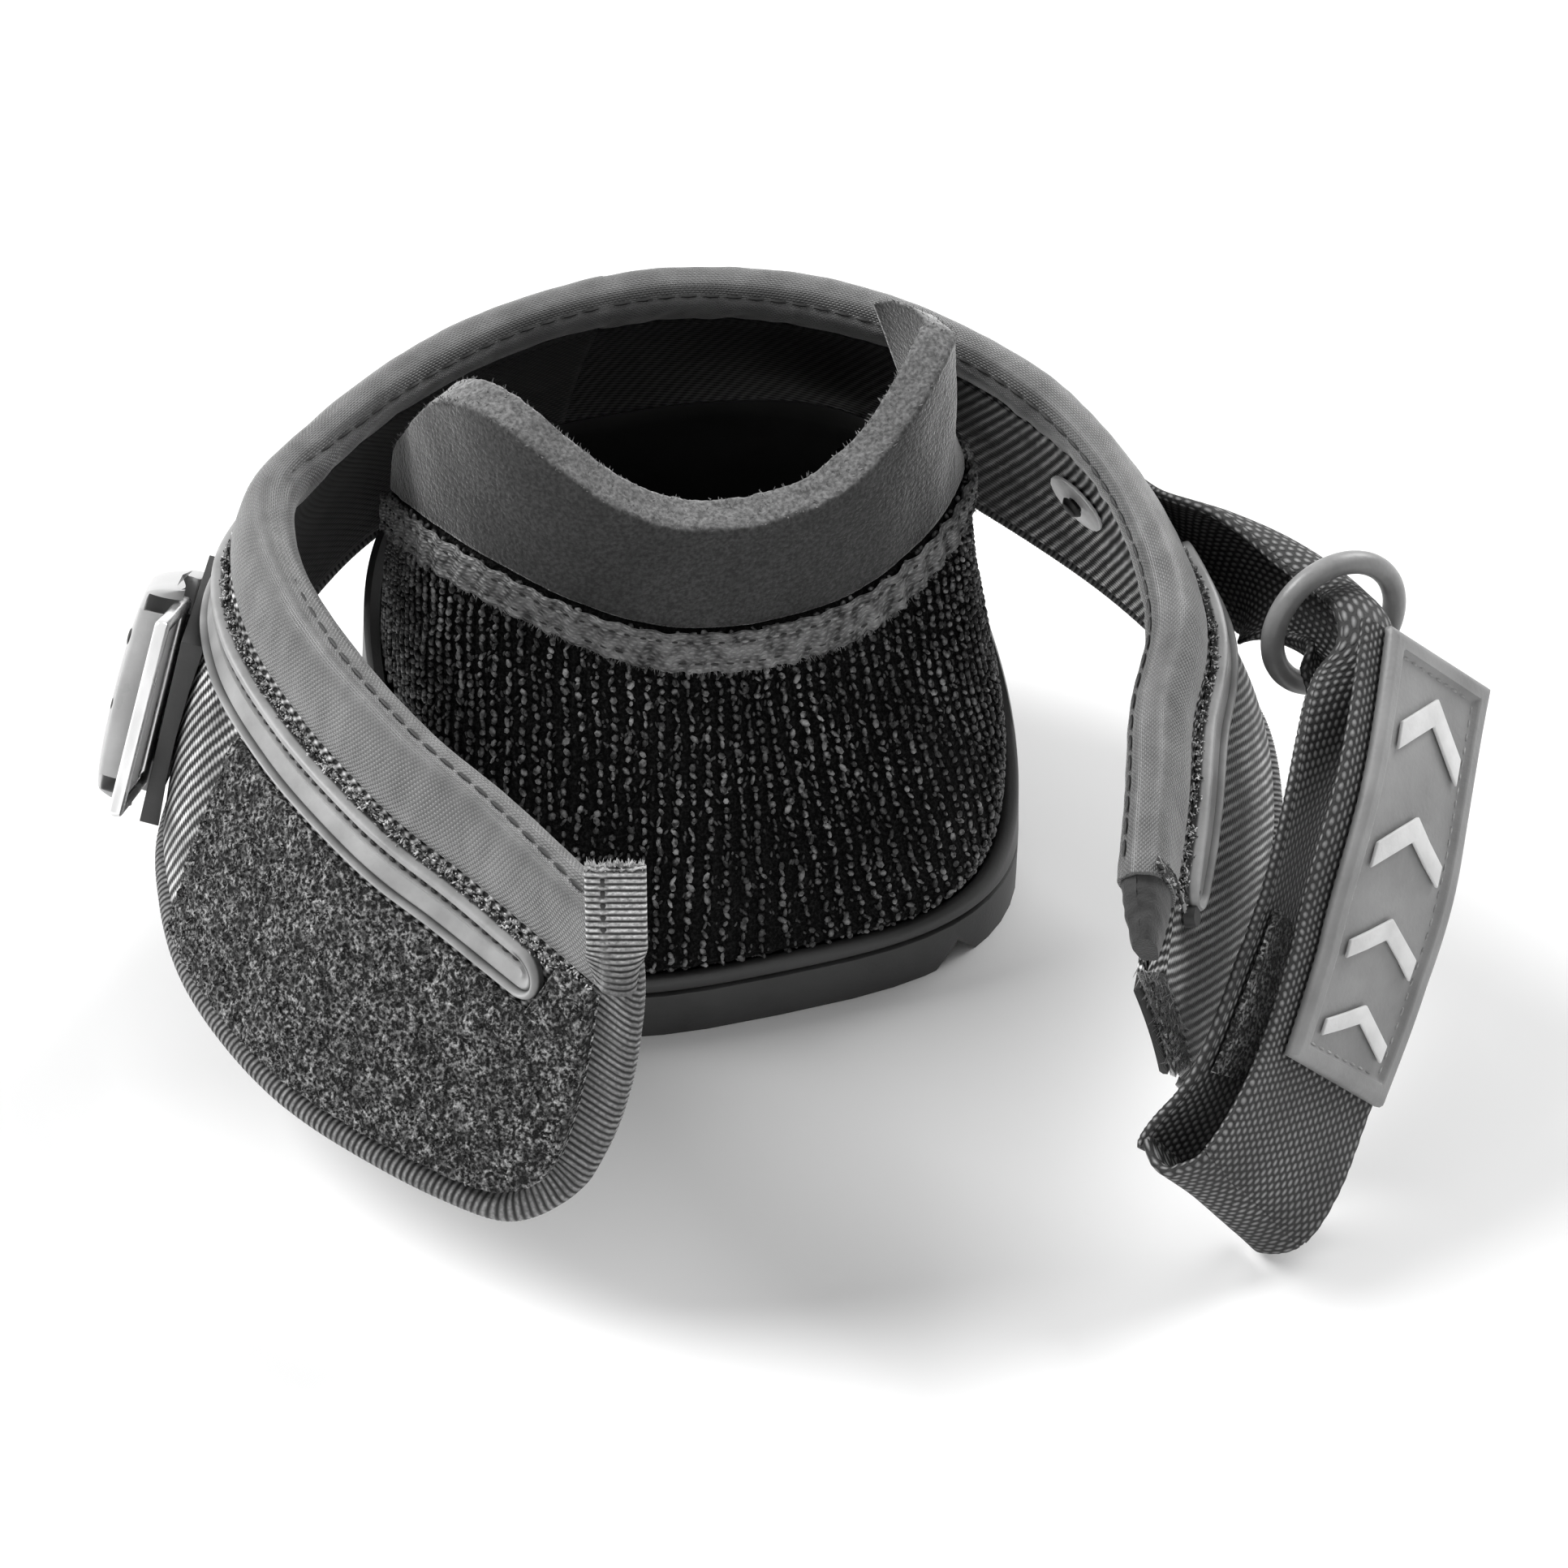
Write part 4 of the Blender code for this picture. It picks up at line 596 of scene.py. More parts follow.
dim_yarn = new_finish("dim_yarn", 0.03, 0.6)
dress(dim_yarn, blend_tones(dim_yarn, grain(dim_yarn, 500, 2), 0.004, 0.09, 0.40, 0.66))
knit_strays = add_piece("knit_strays", scatter(2600, add_stray), dim_yarn, "heel_knit", sharp=180)
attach(knit_strays, "boot")
knit_bead_highlights = add_piece("knit_bead_highlights", scatter(wales * BEAD_ROWS, add_bead), bead_highlight_yarn, "heel_knit",
                       sharp=180)
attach(knit_bead_highlights, "boot")


# Heel lining: a smooth stretch cloth, glued behind the knit so that the hoof slides in.
LINING_WALL = 0.0016
LINING_GAP = 0.0008


def heel_lining_surface(along, around):
    climb, out = slab(around, 0.0, 1.0, -0.03, 0.0)
    climb = min(1.0, max(0.0, 1.0 - climb))
    inset = COUNTER_WALL + LINING_GAP - out / 0.03 * LINING_WALL
    return counter_point(heel_turn(along), climb, inset)


dark_lining = new_finish("dark_lining", 0.02, 0.75)
set_shader(dark_lining, Sheen_Weight=0.15, Sheen_Roughness=0.5)
dress(dark_lining, blend_tones(dark_lining, grain(dark_lining, 220, 4), 0.012, 0.03),
      grain(dark_lining, 2400, 2), 0.0002)
lining_bm = grid_on(heel_lining_surface, (120, 44), (heel_run, 0.125))
heel_lining = add_piece("dressed_heel_lining", lining_bm, dark_lining, "lycra", "heel_lining")
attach(heel_lining, "boot")


# Foam cuff: thick foam, cut by hand, that stands up from the knit with a lobe on each side. Its
# cut top face is painted up to three times lighter, as painted light from above, its edge is
# ragged, and loose crumbs of foam and fibre stand up from it.
FOAM_WALL = 0.0065
FOAM_DIP_HEIGHT = 0.824 * RIM_HEIGHT
FOAM_RIGHT_END = math.radians(74)
FOAM_TUCK_START = math.radians(56)
FOAM_TUCK = 0.0110
FOAM_RISE_SHARES = (1.0, 1.02, 1.075, 1.15, 1.215, 1.235, 1.20, 1.09, 0.95)
FOAM_ROUND = 0.0006
FOAM_SLANT = 0.0026
FOAM_DIP_LIFT = 0.0022
FOAM_CRUMBS = 1100


@functools.lru_cache(maxsize=None)
def foam_height(turn):
    place = abs(turn) / HEEL_END_ANGLE * (len(FOAM_RISE_SHARES) - 1)
    return FOAM_DIP_HEIGHT * read_single(FOAM_RISE_SHARES, place)


foam_turn, foam_run = even_run(lambda turn: heel_plan(turn, foam_height(turn), 0.0),
                               -HEEL_END_ANGLE, FOAM_RIGHT_END)


def foam_point(turn, climb, inset):
    """A point of the cuff, from the seam (0) to its cut top (1), tucked in at the right end."""
    low = seam_height(turn) + SEAT_GAP
    reach = (turn - FOAM_TUCK_START) / (FOAM_RIGHT_END - FOAM_TUCK_START)
    tuck = FOAM_TUCK * max(0.0, reach)
    height = low + (foam_height(turn) - low) * climb
    return heel_plan(turn, height, inset + tuck * climb)


def foam_surface(along, around):
    turn = foam_turn(along)
    tall = foam_height(turn) - seam_height(turn)
    down, out = slab(around, 0.0, tall, -FOAM_WALL, 0.0, FOAM_ROUND)
    point = foam_point(turn, 1.0 - down / tall, -out)
    lift = FOAM_SLANT * -out / FOAM_WALL + FOAM_DIP_LIFT * max(0.0, math.cos(turn)) ** 3
    edge = max(0.0, 1.0 - down / 0.0035)
    rough = 0.00008 * noise.noise(point * 900) + 0.0004 * noise.noise(point * 90)
    torn = edge * (0.0003 * noise.noise(point * 420) + 0.0003 * noise.noise(point * 1100))
    outward = (foam_point(turn, 0.5, 0.0) - foam_point(turn, 0.5, 0.001)).normalized()
    side = 2 * (out / FOAM_WALL + 0.5)
    return point + outward * rough * side + Vector((0, 0, torn + lift * (1 - down / tall)))


cut_foam = new_finish("cut_foam", 0.2, 0.95)
cells = grain(cut_foam, 1300, 4)
mottle = grain(cut_foam, 70, 3)
# The "cut" attribute marks the up-facing cut top, and triples the foam's tone there: painted light from
# above.
lift = add_node(cut_foam, 'ShaderNodeAttribute', attribute_name="cut", attribute_type='GEOMETRY')
foam_tone = mix(cut_foam, 'MULTIPLY', blend_tones(cut_foam, cells, 0.03, 0.075, 0.36, 0.66),
                blend_tones(cut_foam, mottle, 0.85, 1.15))
foam_tone = mix(cut_foam, 'MULTIPLY', foam_tone,
                blend_tones(cut_foam, lift.outputs["Fac"], 1.0, 3.0, 0.0, 1.0))
dress(cut_foam, foam_tone, cells, 0.0003)
set_shader(cut_foam, Sheen_Weight=0.9, Sheen_Roughness=0.35)
crumb_grey = new_finish("crumb_grey", 0.2, 0.95)
dress(crumb_grey, blend_tones(crumb_grey, grain(crumb_grey, 800, 2), 0.1, 0.3))

foam_bm = grid_on(foam_surface, (330, 110), (foam_run, 0.09))
foam_cuff = add_piece("dressed_foam_cuff", foam_bm, cut_foam, "cut_foam", "heel_foam_collar",
                      sharp=180)
# Painted light: mark the cut top face, which the material makes lighter.
top_face_light = foam_cuff.data.attributes.new("cut", 'FLOAT', 'POINT')
foam_map = foam_cuff.data.uv_layers["cloth"].data
for corner in foam_cuff.data.loops:
    along, around = foam_map[corner.index].uv
    turn = foam_turn(along / foam_run)
    tall = foam_height(turn) - seam_height(turn)
    down, out = slab(around / 0.09, 0.0, tall, -FOAM_WALL, 0.0, FOAM_ROUND)
    top_face_light.data[corner.vertex_index].value = max(0.0, min(1.0, 1.6 - down / 0.0004))
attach(foam_cuff, "boot")


def add_tuft(bm, root, way, length, width):
    """One crumb or fibre: a thin three-sided spike."""
    turn = Vector((0, 0, 1)).rotation_difference(way).to_matrix().to_4x4()
    bmesh.ops.create_cone(bm, cap_ends=True, cap_tris=True, segments=3, radius1=width / 2,
                          radius2=width / 8, depth=length,
                          matrix=Matrix.Translation(root + way * length * 0.35) @ turn)


def add_crumb(bm, _):
    turn = foam_turn(chance.random())
    deep = FOAM_WALL * chance.betavariate(0.6, 0.6)
    root = foam_point(turn, 0.995 - 0.02 * chance.random() ** 2, deep)
    root.z += FOAM_SLANT * deep / FOAM_WALL + FOAM_DIP_LIFT * max(0.0, math.cos(turn)) ** 3
    outward = (foam_point(turn, 0.9, 0.0) - foam_point(turn, 0.9, 0.001)).normalized()
    way = Vector((0, 0, 1)) + outward * (1 - 2 * deep / FOAM_WALL) * 0.9
    way += Vector([chance.uniform(-0.8, 0.8) for _ in range(3)])
    add_tuft(bm, root, way.normalized(), chance.uniform(0.0003, 0.0011),
             chance.uniform(0.0002, 0.00045))


foam_crumbs = add_piece("foam_crumbs", scatter(FOAM_CRUMBS, add_crumb), crumb_grey, "cut_foam")
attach(foam_crumbs, "boot")


# Seam tape: a twill tape that covers the join of knit and foam. Two rows of thread hold it, and
# each stitch pulls it in a little, so it puckers.
TAPE_WIDTH = 0.0080
TAPE_WALL = 0.0011
TAPE_GAP = 0.0009
TAPE_PUCKER = 0.00035
TAPE_STITCH_PITCH = 0.0030
TAPE_STITCH_ROWS = (0.0018, 0.0060)
THREAD_THICKNESS = 0.0005

tape_turn, tape_run = even_run(lambda turn: heel_plan(turn, seam_height(turn), 0.0),
                               -HEEL_END_ANGLE, HEEL_RIGHT_END)


def tape_point(turn, down, out):
    return heel_plan(turn, seam_height(turn) - down, -TAPE_GAP - out)


def tape_surface(along, around):
    down, out = slab(around, 0.0, TAPE_WIDTH, 0.0, TAPE_WALL)
    walk = along * tape_run
    pucker = TAPE_PUCKER * math.sin(2 * math.pi * walk / TAPE_STITCH_PITCH / 2)
    pucker += 0.0004 * noise.noise(Vector((walk * 180, down * 90, 0.0)))
    sunk = sum(math.exp(-((down - row) / 0.0007) ** 2) for row in TAPE_STITCH_ROWS)
    frayed = 0.0007 * noise.noise(Vector((walk * 700, 5.0, 0.0))) * down / TAPE_WIDTH
    return tape_point(tape_turn(along), down + frayed, out + pucker - 0.0003 * sunk)


def sew(at, run, pitch, cover, thick, lift=0.0):
    """Stitches along a seam, where at(distance, lift) is a point of it: short round threads."""
    def add_stitch(bm, number):
        here = (number + 0.5) * pitch
        middle = at(here, lift)
        ahead = (at(here + pitch / 4, lift) - at(here - pitch / 4, lift)).normalized()
        up = (at(here, lift + 0.001) - middle).normalized()
        add_grain(bm, middle, ahead, up, (pitch * cover, thick, thick))

    return scatter(int(run / pitch), add_stitch)


seam_twill = new_finish("seam_twill", 0.055, 0.8)
twill = floats(seam_twill, (0.0016, 0.0008), 0.3, (0.46, 0.40), wander=0.0006)
dress(seam_twill, mix(seam_twill, 'MULTIPLY_ADD', twill, 0.16,
                      blend_tones(seam_twill, grain(seam_twill, 420, 3), 0.02, 0.32)),
      twill, 0.0004)
tape_bm = grid_on(tape_surface, (560, 26), (tape_run, 2 * TAPE_WIDTH))
seam_tape = add_piece("dressed_seam_tape", tape_bm, seam_twill, "binding_tape", "heel_seam_tape",
                      sharp=180)
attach(seam_tape, "boot")

pale_thread = new_finish("pale_thread", 0.34, 0.6)
dress(pale_thread, blend_tones(pale_thread, grain(pale_thread, 900, 2), 0.2, 0.42))
dark_thread = new_finish("dark_thread", 0.012, 0.6)
dress(dark_thread, blend_tones(dark_thread, grain(dark_thread, 900, 2), 0.008, 0.02))

for name, row, start, cover, thread in (
        ("seam_tape_stitches", TAPE_STITCH_ROWS[0], 0.0, 0.5, pale_thread),
        ("seam_tape_needle_holes", TAPE_STITCH_ROWS[0], TAPE_STITCH_PITCH / 2, 0.5, dark_thread),
        ("seam_tape_lower_stitches", TAPE_STITCH_ROWS[1], 0.0, 0.6, dark_thread)):
    row_bm = sew(lambda walk, lift: tape_point(tape_turn((walk + start) / tape_run), row,
                                               TAPE_WALL + lift),
                 tape_run - start, TAPE_STITCH_PITCH, cover, THREAD_THICKNESS, -0.0001)
    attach(add_piece(name, row_bm, thread, "binding_tape"), "boot")


def add_fray(bm, _):
    turn = tape_turn(chance.random())
    root = tape_point(turn, TAPE_WIDTH - 0.0003, chance.uniform(0.0, TAPE_WALL))
    outward = (tape_point(turn, 0.004, 0.001) - tape_point(turn, 0.004, 0.0)).normalized()
    way = outward * chance.uniform(0.0, 0.8) - Vector((0, 0, 1))
    way += Vector([chance.uniform(-0.7, 0.7) for _ in range(3)])
    add_tuft(bm, root, way.normalized(), chance.uniform(0.0006, 0.0016), 0.00022)


tape_fray = add_piece("seam_tape_fray", scatter(900, add_fray), seam_twill, "binding_tape")
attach(tape_fray, "boot")


# Collar: a padded band round the pastern, open at the heel. Every layer of it is measured on one
# surface, by the place along it, the drop below its rim, and the distance out from its middle.
# It is sewn in two halves that meet at the toe.
COLLAR_HALF_SPREAD = 1.288 * SOLE_HALF_WIDTH
COLLAR_LENGTH = 1.9643 * SOLE_TOE_REACH
HEM_REACH = 0.9286 * SOLE_TOE_REACH
BAND_HEIGHT = 0.624 * RIM_HEIGHT
PANEL_WALL = 0.0034
BAND_LINING_WALL = 0.0012
LAYER_GAP = 0.0005
RIM_DEPTH = 0.205 * BAND_HEIGHT
RIM_ROLL_THICKNESS = 0.0092
HEM_BINDING_WIDTH = 0.0045
HEM_BINDING_THICKNESS = 0.0050
BINDING_GAP = 0.0008
TOE_STATION = 11.0
LAST_STATION = 22.0
STATION_STEP = 0.5
COLLAR_STATION_SHARES = (
    (-0.66, -0.81, 0.69, -0.12, -0.04, -0.82, 0.02),
    (-0.69, -0.72, 0.72, -0.22, -0.14, -0.88, 0.02),
    (-0.76, -0.60, 0.75, -0.34, -0.18, -0.91, 0.02),
    (-0.86, -0.49, 0.78, -0.425, -0.11, -0.93, 0.03),
    (-0.95, -0.35, 0.81, -0.44, -0.05, -0.93, 0.04),
    (-1.00, -0.20, 0.84, -0.385, -0.06, -0.93, 0.05),
    (-0.97, -0.08, 0.87, -0.35, -0.06, -0.93, 0.05),
    (-0.84, -0.03, 0.90, -0.27, 0.18, -0.88, 0.06),
    (-0.69, 0.00, 0.94, -0.10, 0.43, -0.82, 0.06),
    (-0.51, 0.04, 0.96, -0.03, 0.53, -0.81, 0.05),
    (-0.33, 0.06, 0.98, 0.01, 0.60, -0.82, 0.04),
    (-0.12, 0.07, 0.99, 0.00, 0.62, -0.83, 0.04),
    (0.09, 0.06, 0.99, 0.01, 0.63, -0.83, 0.04),
    (0.34, 0.02, 0.97, 0.06, 0.67, -0.81, 0.04),
    (0.54, -0.06, 0.95, 0.15, 0.65, -0.80, 0.05),
    (0.70, -0.16, 0.92, 0.17, 0.56, -0.79, 0.05),
    (0.79, -0.29, 0.89, 0.26, 0.48, -0.79, 0.06),
    (0.80, -0.44, 0.86, 0.34, 0.46, -0.75, 0.06),
    (0.755, -0.57, 0.81, 0.48, 0.44, -0.72, 0.06),
    (0.64, -0.67, 0.76, 0.55, 0.36, -0.72, 0.04),
    (0.565, -0.76, 0.72, 0.515, 0.33, -0.72, 0.03),
    (0.48, -0.86, 0.66, 0.39, 0.26, -0.74, 0.02),
    (0.43, -0.93, 0.62, 0.26, 0.21, -0.77, 0.02),
)
PANEL_OUT = PANEL_WALL / 2
LINING_OUT = -PANEL_OUT - LAYER_GAP
LINING_IN = LINING_OUT - BAND_LINING_WALL
PANEL_TOP = RIM_DEPTH + SEAT_GAP
TRIM_OUT = PANEL_OUT + LAYER_GAP
TIP_CURLS = (0.0078, 0.0105, 0.0114, 0.0112, 0.0095, 0.0060, 0.0020)
TIP_CURL_STATIONS = 2.6
TIP_CURL_WAY = Vector((0.953, -0.300, 0.0))


@functools.lru_cache(maxsize=None)
def station(place):
    """Rim point, fall to the hem, and bow of the band at a place along it."""
    x, y, z, fall_x, fall_y, fall_z, bow = read_along(COLLAR_STATION_SHARES, place)
    rim = Vector((x * COLLAR_HALF_SPREAD, y * COLLAR_LENGTH, z * RIM_HEIGHT))
    fall = Vector((fall_x * HEM_REACH, fall_y * HEM_REACH, fall_z * BAND_HEIGHT))
    return rim, fall, bow * BAND_HEIGHT


@functools.lru_cache(maxsize=None)
def band_outward(place):
    rim, fall, _ = station(place)
    nudge = STATION_STEP / 10
    ahead, behind = station(place + nudge), station(place - nudge)
    along = ahead[0] + ahead[1] * 0.5 - behind[0] - behind[1] * 0.5
    return along.cross(fall).normalized()


def bowed_point(place, share):
    rim, fall, bow = station(place)
    return rim + fall * share + band_outward(place) * (bow * 4 * share * (1 - share))


def band_normal(place, share):
    nudge = STATION_STEP / 10
    along = bowed_point(place + nudge, share) - bowed_point(place - nudge, share)
    down = bowed_point(place, share + nudge) - bowed_point(place, share - nudge)
    return along.cross(down).normalized()


@functools.lru_cache(maxsize=None)
def band_height(place):
    return station(place)[1].length


def band_point(place, drop, out):
    """A point drop metres below the rim and out metres outside the band's middle surface. The
    left flap's cut end leans in towards the heel, and goes straight on past its last place."""
    share = drop / band_height(place)
    point = bowed_point(place, share) + band_normal(place, share) * out
    if place < TIP_CURL_STATIONS:
        ease = min(1.0, 1 - place / TIP_CURL_STATIONS) ** 1.5
        point += TIP_CURL_WAY * (ease * read_single(TIP_CURLS, share * (len(TIP_CURLS) - 1)))
    if place < 0:
        point += (bowed_point(0.1, share) - bowed_point(0.0, share)) * (place / 0.1)
    return point


@functools.lru_cache(maxsize=None)
def band_speed(place):
    """Metres along the band for each station, halfway down it."""
    nudge = STATION_STEP / 10
    return (bowed_point(place + nudge, 0.5) - bowed_point(place - nudge, 0.5)).length / (2 * nudge)


def bend_left(piece):
    """The left half's placement is baked into its mesh; it is not bound to its flap or to the boot."""
    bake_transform(piece)


def bend_right(piece):
    """The right half's placement is baked into its mesh; it is not bound to the boot or to its flap."""
    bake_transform(piece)


# Collar rim: a roll of soft padding in a smooth stretch cloth. A dark thread is sewn through it
# just inside the top, and the cloth gathers in soft folds below that thread.
TIP_STATION = (HEM_BINDING_WIDTH + BINDING_GAP) / band_speed(STATION_STEP)
RIGHT_LAST_STATION = LAST_STATION - 0.003 / band_speed(LAST_STATION - STATION_STEP)
RIM_LAST_STATION = 21.0
RIM_STITCH_PITCH = 0.0046
RIM_STITCH_DROP = 0.0008
RIM_STITCH_OUT = (0.0022, -0.0025)
RIM_GATHER = 0.0005
RIM_SHARES = ((0.0, 0.0), (0.05, 0.55), (0.16, 0.88), (0.36, 1.0), (0.62, 0.92), (0.84, 0.78),
              (1.0, 0.52), (1.03, 0.0), (1.0, -0.52), (0.84, -0.78), (0.62, -0.92), (0.36, -1.0),
              (0.16, -0.88), (0.05, -0.55), (0.0, 0.0))


def rim_section(share):
    """A point (drop, out) round the padded roll. share 0 is its crest, and it goes out first."""
    depth, width = read_along(RIM_SHARES, share * (len(RIM_SHARES) - 1))
    return RIM_DEPTH * depth, RIM_ROLL_THICKNESS / 2 * width


def rim_seam(place):
    """How far out the thread runs: over the crest to the outside on the left flap."""
    share = max(0.0, min(1.0, (place - 4.0) / 3.5))
    return RIM_STITCH_OUT[0] + (RIM_STITCH_OUT[1] - RIM_STITCH_OUT[0]) * share


def rim_half(first, last):
    """The rim's surface between two stations, with the gathers and the thread's groove."""
    place_at, run = even_run(lambda place: band_point(place, 0.004, 0.0), first, last)

    def surface(along, around):
        drop, out = rim_section(around)
        walk = along * run
        side = max(0.0, -out / (RIM_ROLL_THICKNESS / 2))
        fold = noise.noise(Vector((walk * 210 + drop * 60, drop * 60, first)))
        soft = noise.noise(Vector((walk * 38 - drop * 40, drop * 90, 4.0 + first)))
        groove = math.exp(-((drop - RIM_STITCH_DROP) / 0.0009) ** 2
                          - ((out - rim_seam(place_at(along))) / 0.0009) ** 2)
        swell = RIM_GATHER * (0.35 + side * min(1.0, drop / 0.006)) * fold + 0.0006 * soft
        scale = 1 + swell / (RIM_ROLL_THICKNESS / 2)
        return band_point(place_at(along), drop + 0.0009 * groove, out * scale)

    return surface, place_at, run


satin_cloth = new_finish("satin_cloth", 0.30, 0.42)
wale = floats(satin_cloth, (0.0009, 0.0005), 0.5, (0.5, 0.44))
rumple = grain(satin_cloth, 160, 3, (1.0, 1.0, 0.4))
dress(satin_cloth, mix(satin_cloth, 'MULTIPLY_ADD', wale, 0.03,
                       blend_tones(satin_cloth, rumple, 0.045, 0.125)),
      mix(satin_cloth, 'MULTIPLY_ADD', rumple, 2.5, wale), 0.00016)
set_shader(satin_cloth, Sheen_Weight=0.7, Sheen_Roughness=0.3, Specular_IOR_Level=0.95)

for half, first, last, bend, nodes in (
        ("left", TIP_STATION, TOE_STATION, bend_left, ("left_flap_rim", "collar_rim")),
        ("right", TOE_STATION, RIM_LAST_STATION, bend_right, ("right_flap_rim",))):
    surface, place_at, run = rim_half(first, last)
    rim_bm = grid_on(surface, (260, 42), (run, 0.044))
    bend(add_piece(f"dressed_{half}_rim", rim_bm, satin_cloth, "lycra", *nodes, sharp=60))
    stitch_bm = sew(lambda walk, lift: band_point(place_at(walk / run),
                                                  RIM_STITCH_DROP - lift,
                                                  rim_seam(place_at(walk / run))),
                    run, RIM_STITCH_PITCH, 0.88, 0.0008, -0.0004)
    bend(add_piece(f"{half}_rim_stitches", stitch_bm, dark_thread, "lycra"))


# Collar panel: the band's outside, a heavy nylon with twisted ribs that run down it.
TIP_CORNER_RADIUS = 0.013
TIP_CORNER_EASE = 0.002
RIB_PITCH = 0.0025
RIB_TWIST = 0.0012
RIB_BIAS = 0.55
LEFT_HINGE_STATION = 5.05


def corner_rise(distance, radius):
    """How far a rounded corner lifts the hem at a distance from the flap's tip."""
    if distance >= radius:
        return 0.0
    return radius - math.sqrt(max(0.0, radius * radius - (radius - distance) ** 2))


@functools.lru_cache(maxsize=None)
def sheet_bottom(place):
    """Lower edge of panel and lining, inside the binding and round the left tip's corner."""
    bottom = band_height(place) - HEM_BINDING_WIDTH - BINDING_GAP
    if place < LEFT_HINGE_STATION:
        inside = place * band_speed(STATION_STEP) - HEM_BINDING_WIDTH - BINDING_GAP
        radius = TIP_CORNER_RADIUS - HEM_BINDING_WIDTH + TIP_CORNER_EASE
        bottom -= corner_rise(max(0.0, inside), radius)
    return bottom


def sheet_on_band(first, last, top, bottom_at, inner, outer, ripple=0.0):
    """A sheet's surface on the band, between two stations and from top to its lower edge."""
    place_at, run = even_run(lambda place: band_point(place, 0.04, 0.0), first, last)

    def surface(along, around):
        place = place_at(along)
        drop, out = slab(around, top, bottom_at(place), inner, outer)
        wave = ripple * noise.noise(Vector((along * run * 60, drop * 60, inner * 900)))
        return band_point(place, drop, out + wave)

    return surface, run


def ribbing(material, bias, share=None):
    """Bright twisted ribs, cut on a bias, in a tone scaled by a share, used as painted light on the left
    panel and as painted shade and light along the right lining.
    """
    along, across = cloth_map(material)
    rib = mix(material, 'MULTIPLY_ADD', grain(material, 300, 2), 0.0006, along)
    rib = mix(material, 'MULTIPLY_ADD', across, -bias, rib)
    rib = mix(material, 'DIVIDE', rib, RIB_PITCH)
    twist = mix(material, 'MULTIPLY_ADD', across, 1 / RIB_TWIST, mix(material, 'MULTIPLY', rib, 0.5))
    rib = mix(material, 'COSINE', mix(material, 'MULTIPLY', rib, 2 * math.pi))
    twist = mix(material, 'COSINE', mix(material, 'MULTIPLY', twist, 2 * math.pi))
    height = mix(material, 'MULTIPLY_ADD', twist, 0.5, rib)
    tone = blend_tones(material, height, 0.003, 0.56, -0.5, 1.3)
    worn = blend_tones(material, grain(material, 90, 3), 0.45, 1.35)
    tone = mix(material, 'MULTIPLY', tone, worn)
    if share is not None:
        tone = mix(material, 'MULTIPLY', tone, share)
    dress(material, tone, height, 0.0003)


# The left panel's copy is 1.6 times lighter than the right's: painted light from the left lamp. The right
# copy's ribs also run on the other bias.
ribbed_nylon = new_finish("ribbed_nylon", 0.07, 0.7)
ribbing(ribbed_nylon, RIB_BIAS, 1.6)
ribbed_nylon_right = new_finish("ribbed_nylon_right", 0.07, 0.7)
ribbing(ribbed_nylon_right, -RIB_BIAS)

for half, first, last, bend, cloth, nodes in (
        ("left", TIP_STATION, TOE_STATION, bend_left, ribbed_nylon,
         ("left_flap_panel", "collar_panel")),
        ("right", TOE_STATION, RIGHT_LAST_STATION, bend_right, ribbed_nylon_right,
         ("right_flap_panel",))):
    surface, run = sheet_on_band(first, last, PANEL_TOP, sheet_bottom, -PANEL_OUT, PANEL_OUT,
                                 0.0002)
    bend(add_piece(f"dressed_{half}_panel", grid_on(surface, (190, 76), (run, 0.125)),
                   cloth, "ribbed_nylon", *nodes, sharp=180))


# Collar lining: a dark stretch cloth inside the band, gathered a little where it meets the rim.
lining_cloth = new_finish("lining_cloth", 0.02, 0.7)
knit_back = floats(lining_cloth, (0.0017, 0.0012), 0.5, (0.4, 0.45))
dress(lining_cloth, mix(lining_cloth, 'MULTIPLY_ADD', knit_back, 0.018,
                        blend_tones(lining_cloth, grain(lining_cloth, 90, 4), 0.006, 0.02)),
      knit_back, 0.0003)

# The ribbed lining's tone runs from almost black near the toe to 2.3 times the ribs' tone towards the
# flap's end: painted shade deep inside the collar, and painted light where the lining shows at the end.
ribbed_lining = new_finish("ribbed_lining", 0.05, 0.75)
from_toe, _ = cloth_map(ribbed_lining)
ribbing(ribbed_lining, 0.3, blend_tones(ribbed_lining, from_toe, 0.04, 2.3, 0.08, 0.14))

for half, first, last, bend, cloth, nodes in (
        ("left", TIP_STATION, TOE_STATION, bend_left, lining_cloth,
         ("left_flap_lining", "collar_lining")),
        ("right", TOE_STATION, RIGHT_LAST_STATION, bend_right, ribbed_lining,
         ("right_flap_lining",))):
    surface, run = sheet_on_band(first, last, PANEL_TOP, sheet_bottom, LINING_IN, LINING_OUT,
                                 0.00015)
    bend(add_piece(f"dressed_{half}_lining", grid_on(surface, (150, 60), (run, 0.125)),
                   cloth, "ribbed_nylon", *nodes, sharp=180))


